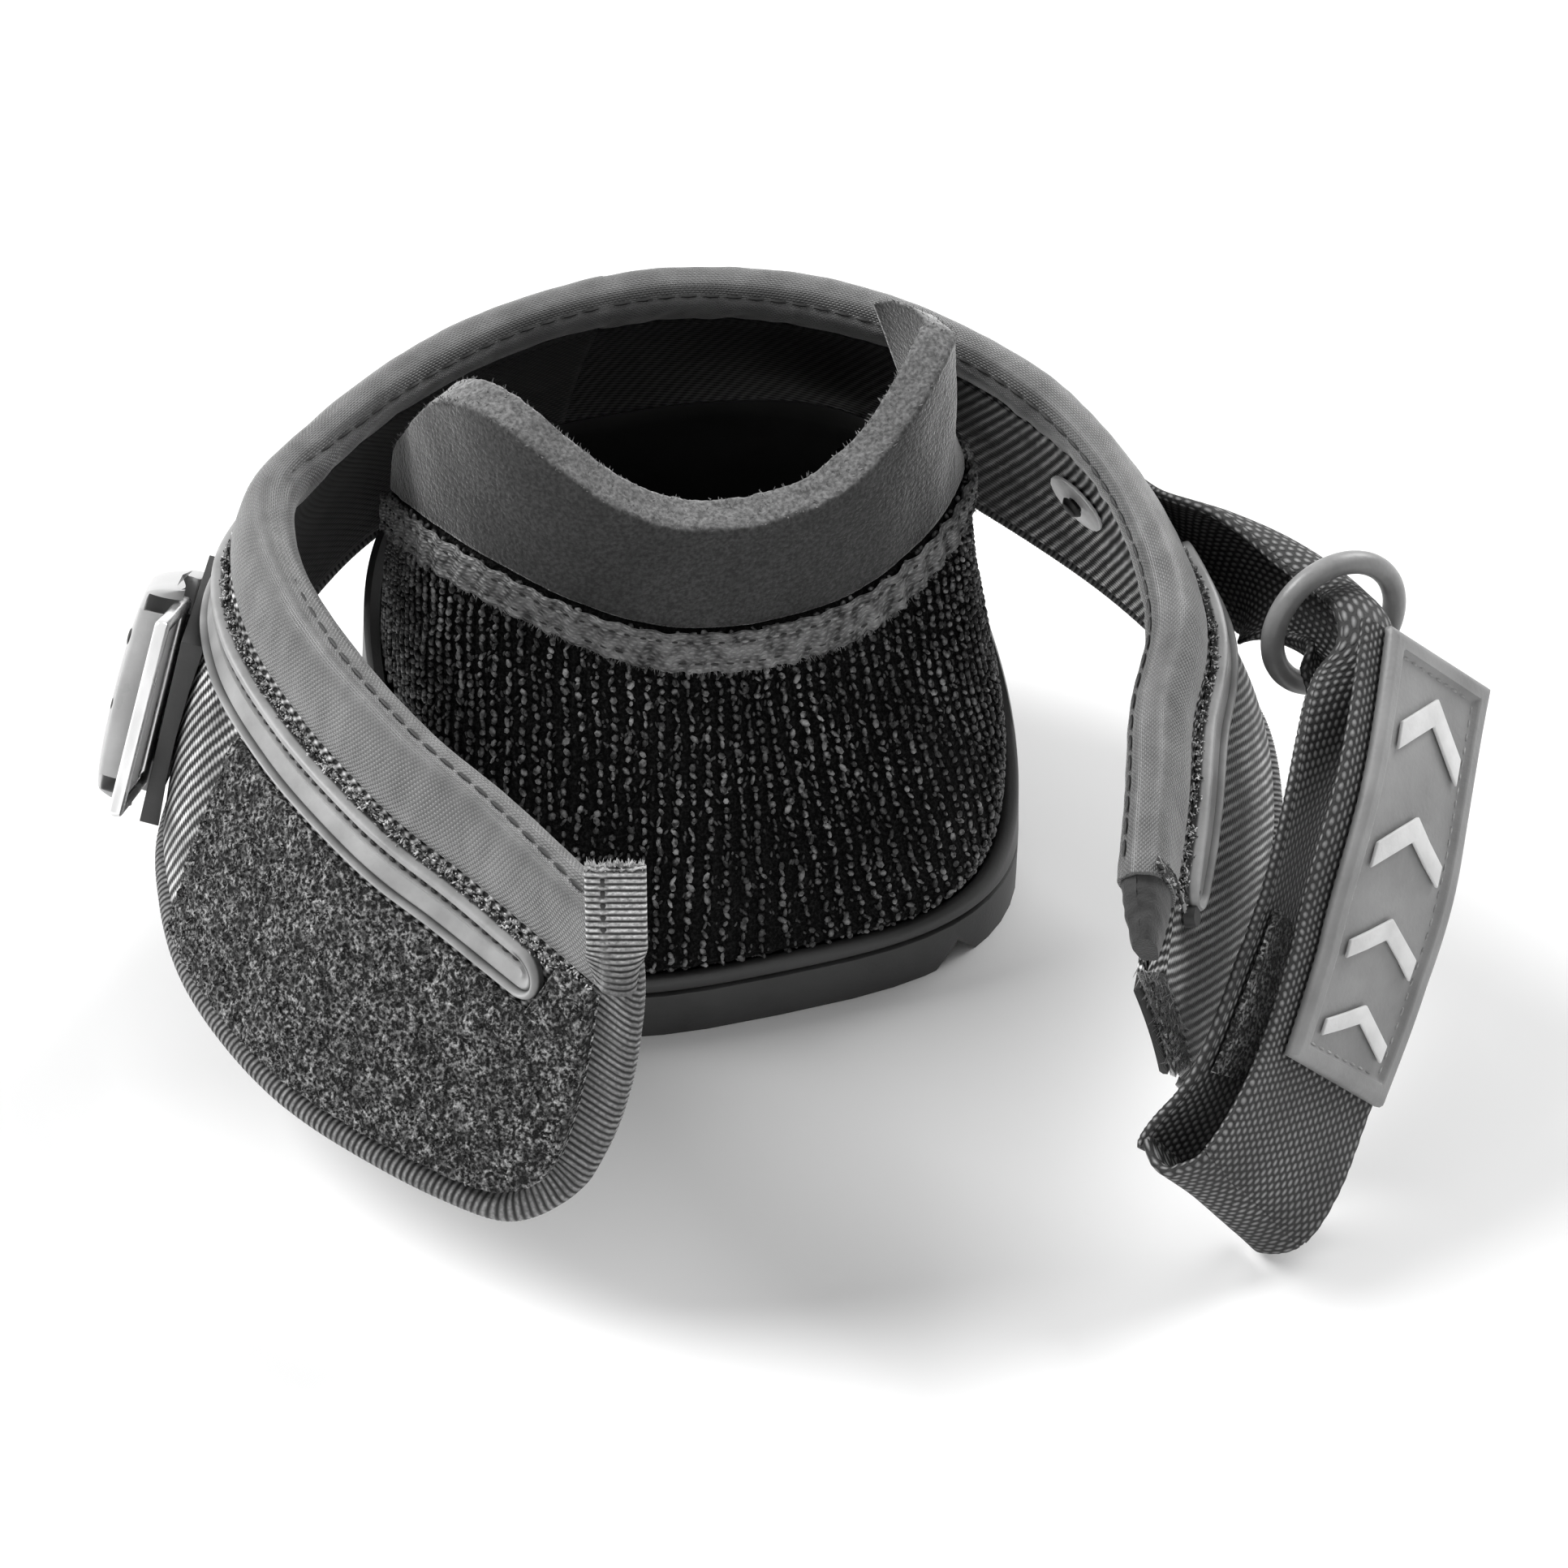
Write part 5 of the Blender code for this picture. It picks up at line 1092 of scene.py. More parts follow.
# Rubber strips: a satin rubber moulding sewn along the band below the rim. It has a round rib
# along each edge, a thin rib inside a sewn groove, and closed round ends.
STRIP_TOP = RIM_DEPTH + 0.003
STRIP_WIDTH = 0.0095
STRIP_THICKNESS = 0.0028
STRIP_END_FROM_LEFT = 0.0125
STRIP_END_FROM_RIGHT = 0.0240
STRIP_FRONT_STATION = 14.95 - 0.42
RIGHT_HINGE_STATION = 17.0
STRIP_UPPER = (0.42, 0.42, 0.60, 0.30, 0.30, 0.62, 0.92, 1.00, 0.97, 0.80, 0.42)
STRIP_LOWER = (0.42, 0.42, 0.42, 0.42, 0.42, 0.42, 0.40, 0.22, 0.66, 0.76, 0.42)
STRIP_TOP_SHARE, STRIP_FLANK_SHARE = 0.80, 0.90
STRIP_STITCH_PITCH = 0.0026


def strip_surface(first, last, straight_cells, bend_cells):
    """The strip as one long loop of its half profile, along both edges and round both ends."""
    centre = STRIP_TOP + STRIP_WIDTH / 2
    reach = STRIP_WIDTH / 2
    place_at, run = even_run(lambda place: band_point(place, centre, TRIM_OUT), first, last)
    straight = run - 2 * reach

    def surface(along, around):
        share = min(1.0, around / STRIP_TOP_SHARE)
        if around > STRIP_FLANK_SHARE:
            share = 1.0 - (around - STRIP_FLANK_SHARE) / (1.0 - STRIP_FLANK_SHARE)
        wide = reach * share
        walk = along * 2 * (straight_cells + bend_cells)
        if walk <= straight_cells:
            x, y = reach + straight * walk / straight_cells, -wide
        elif walk <= straight_cells + bend_cells:
            turn = math.pi * (walk - straight_cells) / bend_cells
            x, y = reach + straight + wide * math.sin(turn), -wide * math.cos(turn)
        elif walk <= 2 * straight_cells + bend_cells:
            back = (walk - straight_cells - bend_cells) / straight_cells
            x, y = reach + straight * (1 - back), wide
        else:
            turn = math.pi * (walk - 2 * straight_cells - bend_cells) / bend_cells
            x, y = reach - wide * math.sin(turn), wide * math.cos(turn)
        lower = 0.5 + 0.5 * y / wide if wide > 1e-6 else 0.5
        rise = (read_single(STRIP_UPPER, share * 10) * (1 - lower)
                + read_single(STRIP_LOWER, share * 10) * lower)
        if around > STRIP_TOP_SHARE:
            rise *= max(0.0, 1 - (around - STRIP_TOP_SHARE) / (STRIP_FLANK_SHARE
                                                               - STRIP_TOP_SHARE))
        wave = 0.00012 * noise.noise(Vector((x * 90, y * 200, first)))
        return band_point(place_at(x / run), centre + y, TRIM_OUT + STRIP_THICKNESS * rise + wave)

    return surface, place_at, run


strip_rubber = new_finish("strip_rubber", 0.30, 0.38)
smear = grain(strip_rubber, 130, 4)
# The "groove" attribute darkens the sewn groove and the strip's outer flank to a fifth: painted shade.
groove_painted_shade = add_node(strip_rubber, 'ShaderNodeAttribute', attribute_name="groove",
                       attribute_type='GEOMETRY')
dress(strip_rubber, mix(strip_rubber, 'MULTIPLY', blend_tones(strip_rubber, smear, 0.28, 0.42),
                        blend_tones(strip_rubber, groove_painted_shade.outputs["Fac"], 1.0, 0.2, 0, 1)),
      grain(strip_rubber, 900, 2), 0.00007, blend_tones(strip_rubber, smear, 0.3, 0.5))

for name, first, last, nodes in (
        ("left_strip", STRIP_END_FROM_LEFT / band_speed(STATION_STEP), STRIP_FRONT_STATION,
         ("left_flap_rubber_strip", "collar_rubber_strip")),
        ("right_strip", RIGHT_HINGE_STATION + 0.02,
         LAST_STATION - STRIP_END_FROM_RIGHT / band_speed(LAST_STATION - 1),
         ("right_flap_rubber_strip",))):
    cells = 220 if name == "left_strip" else 90
    surface, place_at, run = strip_surface(first, last, cells, 16)
    strip_bm = grid_on(surface, (2 * (cells + 16), 50), (2 * run, 0.02), ends=False)
    strip = add_piece(f"dressed_{name}", strip_bm, strip_rubber, "strip_rubber", *nodes, sharp=60)
    # Painted shade: mark the sewn groove and the outer flank, which the material darkens.
    shade = strip.data.attributes.new("groove", 'FLOAT', 'POINT')
    strip_map = strip.data.uv_layers["cloth"].data
    for corner in strip.data.loops:
        along, around = strip_map[corner.index].uv
        share = around / 0.02 / STRIP_TOP_SHARE
        far = along / run > 1.0
        shade.data[corner.vertex_index].value = max(
            math.exp(-((share - (0.70 if far else 0.33)) / 0.055) ** 2),
            min(1.0, max(0.0, (share - 0.97) / 0.04)))
    stitch_bm = sew(lambda walk, lift: band_point(
        place_at((walk + 0.005) / run), STRIP_TOP + STRIP_WIDTH * 0.325,
        TRIM_OUT + STRIP_THICKNESS * 0.34 + lift), run - 0.010, STRIP_STITCH_PITCH, 0.62, 0.0009)
    stitches = add_piece(f"{name}_stitches", stitch_bm, dark_thread, "strip_rubber")
    if name == "left_strip":
        bend_left(strip)
        bend_left(stitches)
    else:
        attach(strip, "right_flap")
        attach(stitches, "right_flap")


# Loop pile: the soft half of a hook fastener, glued and sewn to the left flap's outside. Its
# tiny loops catch the light one by one.
PILE_TOP = STRIP_TOP + STRIP_WIDTH + 0.001
PILE_THICKNESS = 0.0017
PILE_HEM_MARGIN = 0.0055
PILE_END_STATION = 4.4
PILE_LOOPS = 4200
PILE_CORNER = 0.0105


def pile_top(place):
    """The pile also fills the corner between the strip's end and the flap's tip."""
    past = (place * band_speed(STATION_STEP) - PILE_CORNER) / 0.003
    return RIM_DEPTH + 0.001 + (PILE_TOP - RIM_DEPTH - 0.001) * min(1.0, max(0.0, past))


def pile_bottom(place):
    return sheet_bottom(place) - (PILE_HEM_MARGIN - HEM_BINDING_WIDTH)


loop_pile = new_finish("loop_pile", 0.10, 0.95)
fleck = grain(loop_pile, 1250, 3)
lumps = grain(loop_pile, 420, 2)
dress(loop_pile, mix(loop_pile, 'MULTIPLY', blend_tones(loop_pile, fleck, 0.002, 0.42, 0.44, 0.68),
                     blend_tones(loop_pile, lumps, 0.3, 1.4, 0.38, 0.64)),
      mix(loop_pile, 'MULTIPLY_ADD', lumps, 1.2, fleck), 0.0012)

pile_inner, pile_outer = TRIM_OUT, TRIM_OUT + PILE_THICKNESS
place_at, pile_run = even_run(lambda place: band_point(place, 0.045, 0.0), TIP_STATION,
                              PILE_END_STATION)


def pile_surface(along, around):
    place = place_at(along)
    drop, out = slab(around, pile_top(place), pile_bottom(place), pile_inner, pile_outer)
    rough = 0.0
    if out > (pile_inner + pile_outer) / 2:
        rough = 0.0005 * noise.noise(Vector((along * pile_run * 1100, drop * 1100, 2.0)))
        rough += 0.0005 * noise.noise(Vector((along * pile_run * 220, drop * 220, 7.0)))
    return band_point(place, drop, out + rough)


pile = add_piece("dressed_loop_pile", grid_on(pile_surface, (170, 190), (pile_run, 0.08)),
                 loop_pile, "loop_pile", "left_flap_loop_pile", sharp=180)
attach(pile, "left_flap")


def add_loop(bm, _):
    place = place_at(chance.random())
    drop = chance.uniform(pile_top(place) + 0.0006, pile_bottom(place) - 0.0006)
    spot = band_point(place, drop, pile_outer + chance.uniform(-0.0002, 0.0003))
    turn = Matrix.Rotation(chance.uniform(0, math.pi), 4,
                           Vector([chance.uniform(-1, 1) for _ in range(3)]).normalized())
    size = Matrix.Diagonal((chance.uniform(0.0003, 0.0007), 0.00022, 0.00022, 1.0))
    bmesh.ops.create_icosphere(bm, subdivisions=1, radius=1.0,
                               matrix=Matrix.Translation(spot) @ turn @ size)


pile_loops = add_piece("pile_loops", scatter(PILE_LOOPS, add_loop), loop_pile, "loop_pile", sharp=180)
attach(pile_loops, "left_flap")


# Selvedge fuzz: the raw edge of a pile tape shows between the satin rim and each rubber strip.
# Near the right flap's end the strip stops at a small round plug.
FUZZ_WIDTH = 0.0032
PLUG_RADIUS = 0.0021


bright_fuzz = new_finish("bright_fuzz", 0.3, 0.8)
dress(bright_fuzz, blend_tones(bright_fuzz, grain(bright_fuzz, 800, 2), 0.01, 0.85, 0.42, 0.64))


def fuzz_bits(first, last, wide_end):
    """A bit of pile on the raw edge, which is widest at one end of the strip."""
    place_at, _ = even_run(lambda place: band_point(place, RIM_DEPTH, TRIM_OUT), first, last)

    def add_bit(bm, _):
        share = chance.random()
        room = FUZZ_WIDTH * (0.35 + 0.65 * (1 - abs(share - wide_end)))
        drop = STRIP_TOP + 0.0002 - room * chance.random()
        spot = band_point(place_at(share), drop, TRIM_OUT + chance.uniform(0.0, 0.0016))
        way = Vector([chance.uniform(-1, 1) for _ in range(3)]).normalized()
        add_grain(bm, spot, way, way.orthogonal(), (chance.uniform(0.0005, 0.0014), 0.0003, 0.0003))

    return add_bit


left_fuzz = add_piece("left_fuzz", scatter(1300, fuzz_bits(TIP_STATION, 6.6, 0.0)), bright_fuzz,
                      "loop_pile", sharp=180)
bend_left(left_fuzz)
right_fuzz = add_piece("right_fuzz", scatter(500, fuzz_bits(17.1, RIM_LAST_STATION, 1.0)),
                       bright_fuzz, "loop_pile", sharp=180)
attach(right_fuzz, "right_flap")

plug_place = LAST_STATION - (STRIP_END_FROM_RIGHT - 0.0012) / band_speed(LAST_STATION - 1)
plug_centre = STRIP_TOP + STRIP_WIDTH / 2
plug_spot = band_point(plug_place, plug_centre, TRIM_OUT + 0.001)
plug_way = band_normal(plug_place, plug_centre / band_height(plug_place))
plug_bm = bmesh.new()
bmesh.ops.create_cone(plug_bm, cap_ends=True, segments=28, radius1=PLUG_RADIUS,
                      radius2=PLUG_RADIUS * 0.9, depth=0.002,
                      matrix=Matrix.Translation(plug_spot)
                      @ Vector((0, 0, 1)).rotation_difference(plug_way).to_matrix().to_4x4())
strip_plug = add_piece("strip_plug", plug_bm, shell_rubber, "strip_rubber")
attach(strip_plug, "right_flap")


# Right flap's end: the satin is cut back there and bares the roll's dark padding. The layers are
# tacked together by hand with dark and pale thread, and loose threads hang from the cut edge.
core_at, core_run = even_run(lambda place: band_point(place, 0.004, 0.0),
                             RIM_LAST_STATION - 0.1, RIGHT_LAST_STATION)


def core_surface(along, around):
    """The bare padding: the roll's section, drawn in towards the flap's end."""
    drop, out = rim_section(around)
    shrink = 0.88 - 0.40 * along ** 1.5 + 0.05 * noise.noise(Vector((along * 7, around * 9, 0.0)))
    drop = RIM_DEPTH * 0.55 + (drop - RIM_DEPTH * 0.55) * shrink
    return band_point(core_at(along), drop, out * shrink)


rim_core = add_piece("right_rim_core", grid_on(core_surface, (40, 42), (core_run, 0.044)),
                     dark_lining, "lycra", sharp=60)
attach(rim_core, "right_flap")


def add_tack(bm, _):
    place = RIM_LAST_STATION - chance.uniform(0.0, 0.0035) / band_speed(LAST_STATION - 1)
    drop = chance.uniform(0.001, RIM_DEPTH)
    spot = band_point(place, drop, RIM_ROLL_THICKNESS / 2 * 0.93)
    ahead = band_point(place, drop + 0.001, 0.004) - band_point(place, drop, 0.004)
    up = band_normal(place, drop / band_height(place))
    ahead = Matrix.Rotation(chance.uniform(-0.9, 0.9), 3, up) @ ahead.normalized()
    add_grain(bm, spot, ahead, up, (chance.uniform(0.002, 0.0045), 0.0006, 0.0007))


def add_loose_thread(bm, _):
    drop = chance.uniform(RIM_DEPTH, sheet_bottom(RIGHT_LAST_STATION) * 0.9)
    spot = band_point(RIGHT_LAST_STATION, drop, chance.uniform(LINING_IN, PANEL_OUT))
    ahead = band_point(RIGHT_LAST_STATION, drop, 0.0) - band_point(RIGHT_LAST_STATION - 0.1, drop, 0.0)
    way = ahead.normalized() + Vector([chance.uniform(-0.8, 0.8) for _ in range(3)])
    add_tuft(bm, spot, way.normalized(), chance.uniform(0.0008, 0.0024), 0.0003)


end_tacks = add_piece("end_tacks", scatter(46, add_tack), dark_thread, "lycra", sharp=180)
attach(end_tacks, "right_flap")
pale_tacks = add_piece("end_pale_tacks", scatter(16, add_tack), pale_thread, "lycra", sharp=180)
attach(pale_tacks, "right_flap")
loose_threads = add_piece("end_loose_threads", scatter(420, add_loose_thread), seam_twill, "lycra")
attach(loose_threads, "right_flap")


# Edge binding: a ribbed tape folded over the band's lower edge and sewn through. On the left
# flap it also goes round the tip's corner and up the cut end.
BINDING_RIB = 0.00135
BINDING_TOP_DROP = 0.0025
STAND_FOLD_START = 0.0160
STAND_LENGTH = 0.0280
TIP_TAPE_WIDTH = 0.0088


def binding_section(share, width, thick):
    """A point (inward from the edge, out) round the folded tape."""
    inward, out = slab(share, 0.0, width, -thick / 2, thick / 2)
    return inward, out


def left_binding_route(walk):
    """Place, drop, and the inward direction (along, down) of the left half's edge, by length."""
    speed = band_speed(STATION_STEP)
    radius = TIP_CORNER_RADIUS
    corner = math.pi / 2 * radius
    rise = band_height(0.0) - radius - BINDING_TOP_DROP
    if walk < rise:
        return 0.0, BINDING_TOP_DROP + walk, 1.0, 0.0
    if walk < rise + corner:
        turn = math.pi / 2 - (walk - rise) / radius
        place = radius * (1 - math.sin(turn)) / speed
        return (place, band_height(place) - radius * (1 - math.cos(turn)), math.sin(turn),
                -math.cos(turn))
    far = left_hem_at((walk - rise - corner) / left_hem_run)
    return far, band_height(far), 0.0, -1.0


left_hem_at, left_hem_run = even_run(lambda place: band_point(place, band_height(place), 0.0),
                                     TIP_CORNER_RADIUS / band_speed(STATION_STEP), TOE_STATION)
left_tip_run = (band_height(0.0) - TIP_CORNER_RADIUS - BINDING_TOP_DROP
                + math.pi / 2 * TIP_CORNER_RADIUS)
left_binding_run = left_tip_run + left_hem_run


def rib_wave(walk):
    """The tape's ribs: how far each stands out at a distance along it."""
    return 0.00025 * math.cos(2 * math.pi * walk / BINDING_RIB)


def left_binding_surface(along, around):
    walk = along * left_binding_run
    place, drop, inward_along, inward_down = left_binding_route(walk)
    tip = max(0.0, min(1.0, (left_tip_run - walk) / 0.020))
    width = HEM_BINDING_WIDTH + (TIP_TAPE_WIDTH - HEM_BINDING_WIDTH) * tip
    inward, out = binding_section(around, width, HEM_BINDING_THICKNESS - 0.0022 * tip)
    out += math.copysign(rib_wave(walk), out)
    return band_point(place + inward_along * inward / band_speed(STATION_STEP),
                      drop + inward_down * inward, out)


def ribbed_tape(name, dark, light, foot=1.0):
    """A finish for the ribbed tape, whose yarn runs from a dark to a light tone. foot is what is
    left of its tone past the standing end's fold, where a lighter copy's painted light fades out."""
    tape = new_finish(name, light, 0.75)
    rib_along, _ = cloth_map(tape)
    wave = mix(tape, 'SINE', mix(tape, 'MULTIPLY', rib_along, 2 * math.pi / BINDING_RIB))
    yarn = grain(tape, 1500, 3)
    # worn: the yarn's random tone, times the fade of the standing end's painted light past its fold.
    worn = mix(tape, 'MULTIPLY', blend_tones(tape, yarn, dark, light),
               blend_tones(tape, rib_along, 1.0, foot, STAND_FOLD_START - 0.002, STAND_LENGTH - 0.003))
    dress(tape, mix(tape, 'MULTIPLY', blend_tones(tape, wave, 0.05, 1.6, -0.8, 0.8), worn),
          mix(tape, 'MULTIPLY_ADD', yarn, 0.5, wave), 0.00015)
    set_shader(tape, Sheen_Weight=0.2)
    return tape


binding_tape = ribbed_tape("binding_tape", 0.08, 0.22)
left_binding_bm = grid_on(left_binding_surface, (1180, 22), (left_binding_run, 0.022))
left_binding = add_piece("dressed_left_binding", left_binding_bm, binding_tape, "binding_tape",
                         "left_flap_binding", "collar_hem_binding", sharp=180)
bend_left(left_binding)

right_hem_at, right_hem_run = even_run(lambda place: band_point(place, band_height(place), 0.0),
                                       TOE_STATION, RIGHT_LAST_STATION)


def right_binding_surface(along, around):
    place = right_hem_at(along)
    inward, out = binding_section(around, HEM_BINDING_WIDTH, HEM_BINDING_THICKNESS)
    out += math.copysign(rib_wave(along * right_hem_run), out)
    return band_point(place, band_height(place) - inward, out)


right_binding_bm = grid_on(right_binding_surface, (900, 18), (right_hem_run, 0.016))
right_binding = add_piece("dressed_right_binding", right_binding_bm, binding_tape,
                          "binding_tape", "right_flap_hem_binding", sharp=180)
bend_right(right_binding)


# Standing end: the binding's cut end is left long at the left tip. It stands flat above the rim,
# frayed along its top and sewn through, and folds over the edge below.
STAND_RISE = 0.0155
STAND_HALF_WIDTH = 0.0053
STAND_THICKNESS = 0.0013
STAND_FOLD_RADIUS = 0.0027
STAND_ASIDE = -0.0036
STAND_AHEAD = 0.0030
STAND_SEAM = -0.0022
STAND_FACE = Vector((-0.27, -0.86, 0.43))
FRAY_TUFTS = 220


def stand_point(walk, across, out):
    """A point of the standing end: walk from its cut top, across from its middle to the right."""
    fold = min(1.0, max(0.0, (walk - STAND_FOLD_START) / (STAND_LENGTH - STAND_FOLD_START)))
    fold = fold * fold * (3 - 2 * fold)
    bend = max(fold / STAND_FOLD_RADIUS, 1.0)
    quarter = math.pi / 2 / bend
    arc = min(abs(across), quarter)
    aside = math.sin(arc * bend) / bend
    back = (1 - math.cos(arc * bend)) / bend + abs(across) - arc
    foot = max(walk, STAND_FOLD_START)
    centre = band_point(0.0, foot - STAND_RISE, 0.0) + Vector((0, 0, foot - walk))
    inward = (bowed_point(0.1, 0.0) - bowed_point(0.0, 0.0)).normalized()
    outward = STAND_FACE * math.cos(arc * bend) + TIP_CURL_WAY * math.copysign(
        math.sin(arc * bend), across)
    return (centre + TIP_CURL_WAY * (STAND_ASIDE + math.copysign(aside, across))
            + STAND_FACE * (STAND_AHEAD * (1 - fold) + STAND_FOLD_RADIUS * 0.6 * fold)
            + inward * back + outward * out)


def stand_surface(along, around):
    walk = along * STAND_LENGTH
    across, out = slab(around, -STAND_HALF_WIDTH, STAND_HALF_WIDTH, -STAND_THICKNESS / 2,
                       STAND_THICKNESS / 2)
    seam = math.exp(-((across - STAND_SEAM) / 0.0006) ** 2)
    out += math.copysign(rib_wave(walk) - 0.0005 * seam, out)
    if walk < 0.0012:
        walk -= 0.0009 * noise.noise(Vector((across * 1400, out * 900, 0.0)))
    return stand_point(walk, across, out)


# The standing end is the same tape as the binding, made about three times lighter and faded to a third
# past its fold: painted light on the part that stands up.
lit_standing_tape = ribbed_tape("lit_standing_tape", 0.20, 0.62, 0.33)
standing_end = add_piece("standing_end", grid_on(stand_surface, (130, 60), (STAND_LENGTH, 0.024)),
                         lit_standing_tape, "binding_tape", sharp=180)
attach(standing_end, "left_flap")
seam_bm = sew(lambda walk, lift: stand_point(walk + 0.002, STAND_SEAM,
                                             STAND_THICKNESS / 2 + 0.0002 + lift),
              0.014, 0.0026, 0.75, 0.0011)
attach(add_piece("standing_end_stitches", seam_bm, dark_thread, "binding_tape"), "left_flap")


def add_tip_fray(bm, _):
    across = chance.uniform(-STAND_HALF_WIDTH, STAND_HALF_WIDTH) * 0.96
    root = stand_point(chance.uniform(-0.0002, 0.0008), across,
                       chance.uniform(-0.5, 0.6) * STAND_THICKNESS)
    way = Vector((chance.uniform(-0.6, 0.6), chance.uniform(-0.6, 0.6), 1.0)).normalized()
    add_tuft(bm, root, way, chance.uniform(0.0006, 0.0018), 0.00035)


fray_thread = new_finish("fray_thread", 0.7, 0.7)
dress(fray_thread, blend_tones(fray_thread, grain(fray_thread, 900, 2), 0.25, 0.9))
tip_fray = add_piece("binding_fray", scatter(FRAY_TUFTS, add_tip_fray), fray_thread,
                     "binding_tape")
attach(tip_fray, "left_flap")


# Hook patch: the stiff half of the fastener, glued inside the right flap so that it takes the
# left flap's pile when the collar is closed.
HOOK_TOP = RIM_DEPTH + 0.008
HOOK_THICKNESS = 0.0017
HOOK_FIRST_STATION = 18.5

hook_tape = new_finish("hook_tape", 0.03, 0.7)
hooks = floats(hook_tape, (0.0015, 0.0013), 0.5, (0.34, 0.34))
dress(hook_tape, mix(hook_tape, 'MULTIPLY_ADD', hooks, 0.05,
                     blend_tones(hook_tape, grain(hook_tape, 300, 3), 0.008, 0.02)),
      hooks, 0.0006)
surface, run = sheet_on_band(HOOK_FIRST_STATION, RIGHT_LAST_STATION, HOOK_TOP, sheet_bottom,
                             LINING_IN - LAYER_GAP - HOOK_THICKNESS, LINING_IN - LAYER_GAP)
hook_patch = add_piece("dressed_hook_patch", grid_on(surface, (70, 64), (run, 0.09)), hook_tape,
                       "loop_pile", "right_flap_hook_patch", sharp=180)
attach(hook_patch, "right_flap")


# Buckle: a moulded base riveted through the collar, a domed cover with two small slots, and a
# rectangle of bright steel bar that turns under the cover and takes the strap.
BUCKLE_STATION = 6.05
BUCKLE_BASE_HALF_LENGTH = 0.254 * BAND_HEIGHT
BUCKLE_MARGIN = 0.0017
BUCKLE_DROP = STRIP_TOP + STRIP_WIDTH + BUCKLE_MARGIN + BUCKLE_BASE_HALF_LENGTH
BUCKLE_BASE_RISE = 0.0022
BUCKLE_LEAN = math.radians(14)
HOUSING_LENGTH = 2.22 * BUCKLE_BASE_HALF_LENGTH
HOUSING_FRONT = 0.013
HOUSING_WALL_LENGTH = 0.0085
HOUSING_REAR = 0.0125
HOUSING_HEIGHT = 0.0108
HOUSING_SLOT_HEIGHT = 0.0040
HOUSING_MOUTH_HEIGHT = 0.0084
HOUSING_ROOF = 0.0016
HOUSING_RISE_SHARES = (0.42, 0.72, 0.88, 0.97, 1.0, 1.0, 0.98, 0.88, 0.60)
HOUSING_SLOTS = ((0.0104, -0.0105, 0.0036), (0.0104, 0.0030, 0.0036))
HOUSING_ARM_SHARE = 0.89
VISOR_HALF = 0.845 * BUCKLE_BASE_HALF_LENGTH
VISOR_END = 1.005 * BUCKLE_BASE_HALF_LENGTH
VISOR_WALL = 0.0012
VISOR_FOOT = 0.0020
VISOR_LEAN = 0.15


def buckle_frame():
    """Origin on the base's flat top, then the rearward, downward and outward directions."""
    share = BUCKLE_DROP / band_height(BUCKLE_STATION)
    outward = band_normal(BUCKLE_STATION, share)
    down = station(BUCKLE_STATION)[1].normalized()
    down = (down - outward * down.dot(outward)).normalized()
    down = (down + outward.cross(down) * math.tan(BUCKLE_LEAN)).normalized()
    crown = band_point(BUCKLE_STATION, BUCKLE_DROP, TRIM_OUT)
    return crown + outward * BUCKLE_BASE_RISE, outward.cross(down), down, outward


buckle_origin, buckle_rearward, buckle_down, buckle_outward = buckle_frame()


def buckle_point(rear, low, out):
    return (buckle_origin + buckle_rearward * rear + buckle_down * low + buckle_outward * out)


def end_round(share):
    """The cover's height falls in a round past the loop's arms. share is -1 to 1 down it."""
    past = max(0.0, (abs(share) - HOUSING_ARM_SHARE) / (1 - HOUSING_ARM_SHARE))
    return 1 - 0.6 * past * past


def housing_surface(along, around):
    """The cover's outline, open to the rear, swept down its length with rounded ends."""
    share = -1.0 + 2.0 * (0.5 - 0.5 * math.cos(math.pi * along))
    low = HOUSING_LENGTH / 2 * share
    rise = read_single(HOUSING_RISE_SHARES, (share + 1) / 2 * (len(HOUSING_RISE_SHARES) - 1))
    lid = HOUSING_MOUTH_HEIGHT + HOUSING_ROOF * (1 - 0.75 * abs(share) ** 2.5)
    lid *= end_round(share)
    top = lid + (HOUSING_HEIGHT - HOUSING_MOUTH_HEIGHT - HOUSING_ROOF) * rise
    mouth = min(HOUSING_MOUTH_HEIGHT, lid - 0.0008)
    shrink = 1.0 - 0.16 * max(0.0, abs(share) - 0.75) / 0.25
    front, wall = -HOUSING_FRONT, HOUSING_WALL_LENGTH - HOUSING_FRONT
    rear = HOUSING_REAR
    outline = ((front, SEAT_GAP), (front, top * 0.28), (front + 0.0006, top * 0.55),
               (front + 0.0022, top * 0.80), (front + 0.0048, top * 0.95), (wall, top),
               (0.0, top), (rear * 0.5, top * 0.995), (rear * 0.85, top * 0.965),
               (rear, (mouth + lid) / 2), (rear * 0.97, mouth),
               (rear * 0.6, mouth - 0.0004), (wall + 0.001, HOUSING_SLOT_HEIGHT),
               (wall, HOUSING_SLOT_HEIGHT * 0.6), (wall, SEAT_GAP), (front, SEAT_GAP))
    rearward, out = read_along(outline, around * (len(outline) - 1))
    return buckle_point(rearward * shrink, low, max(SEAT_GAP, out))


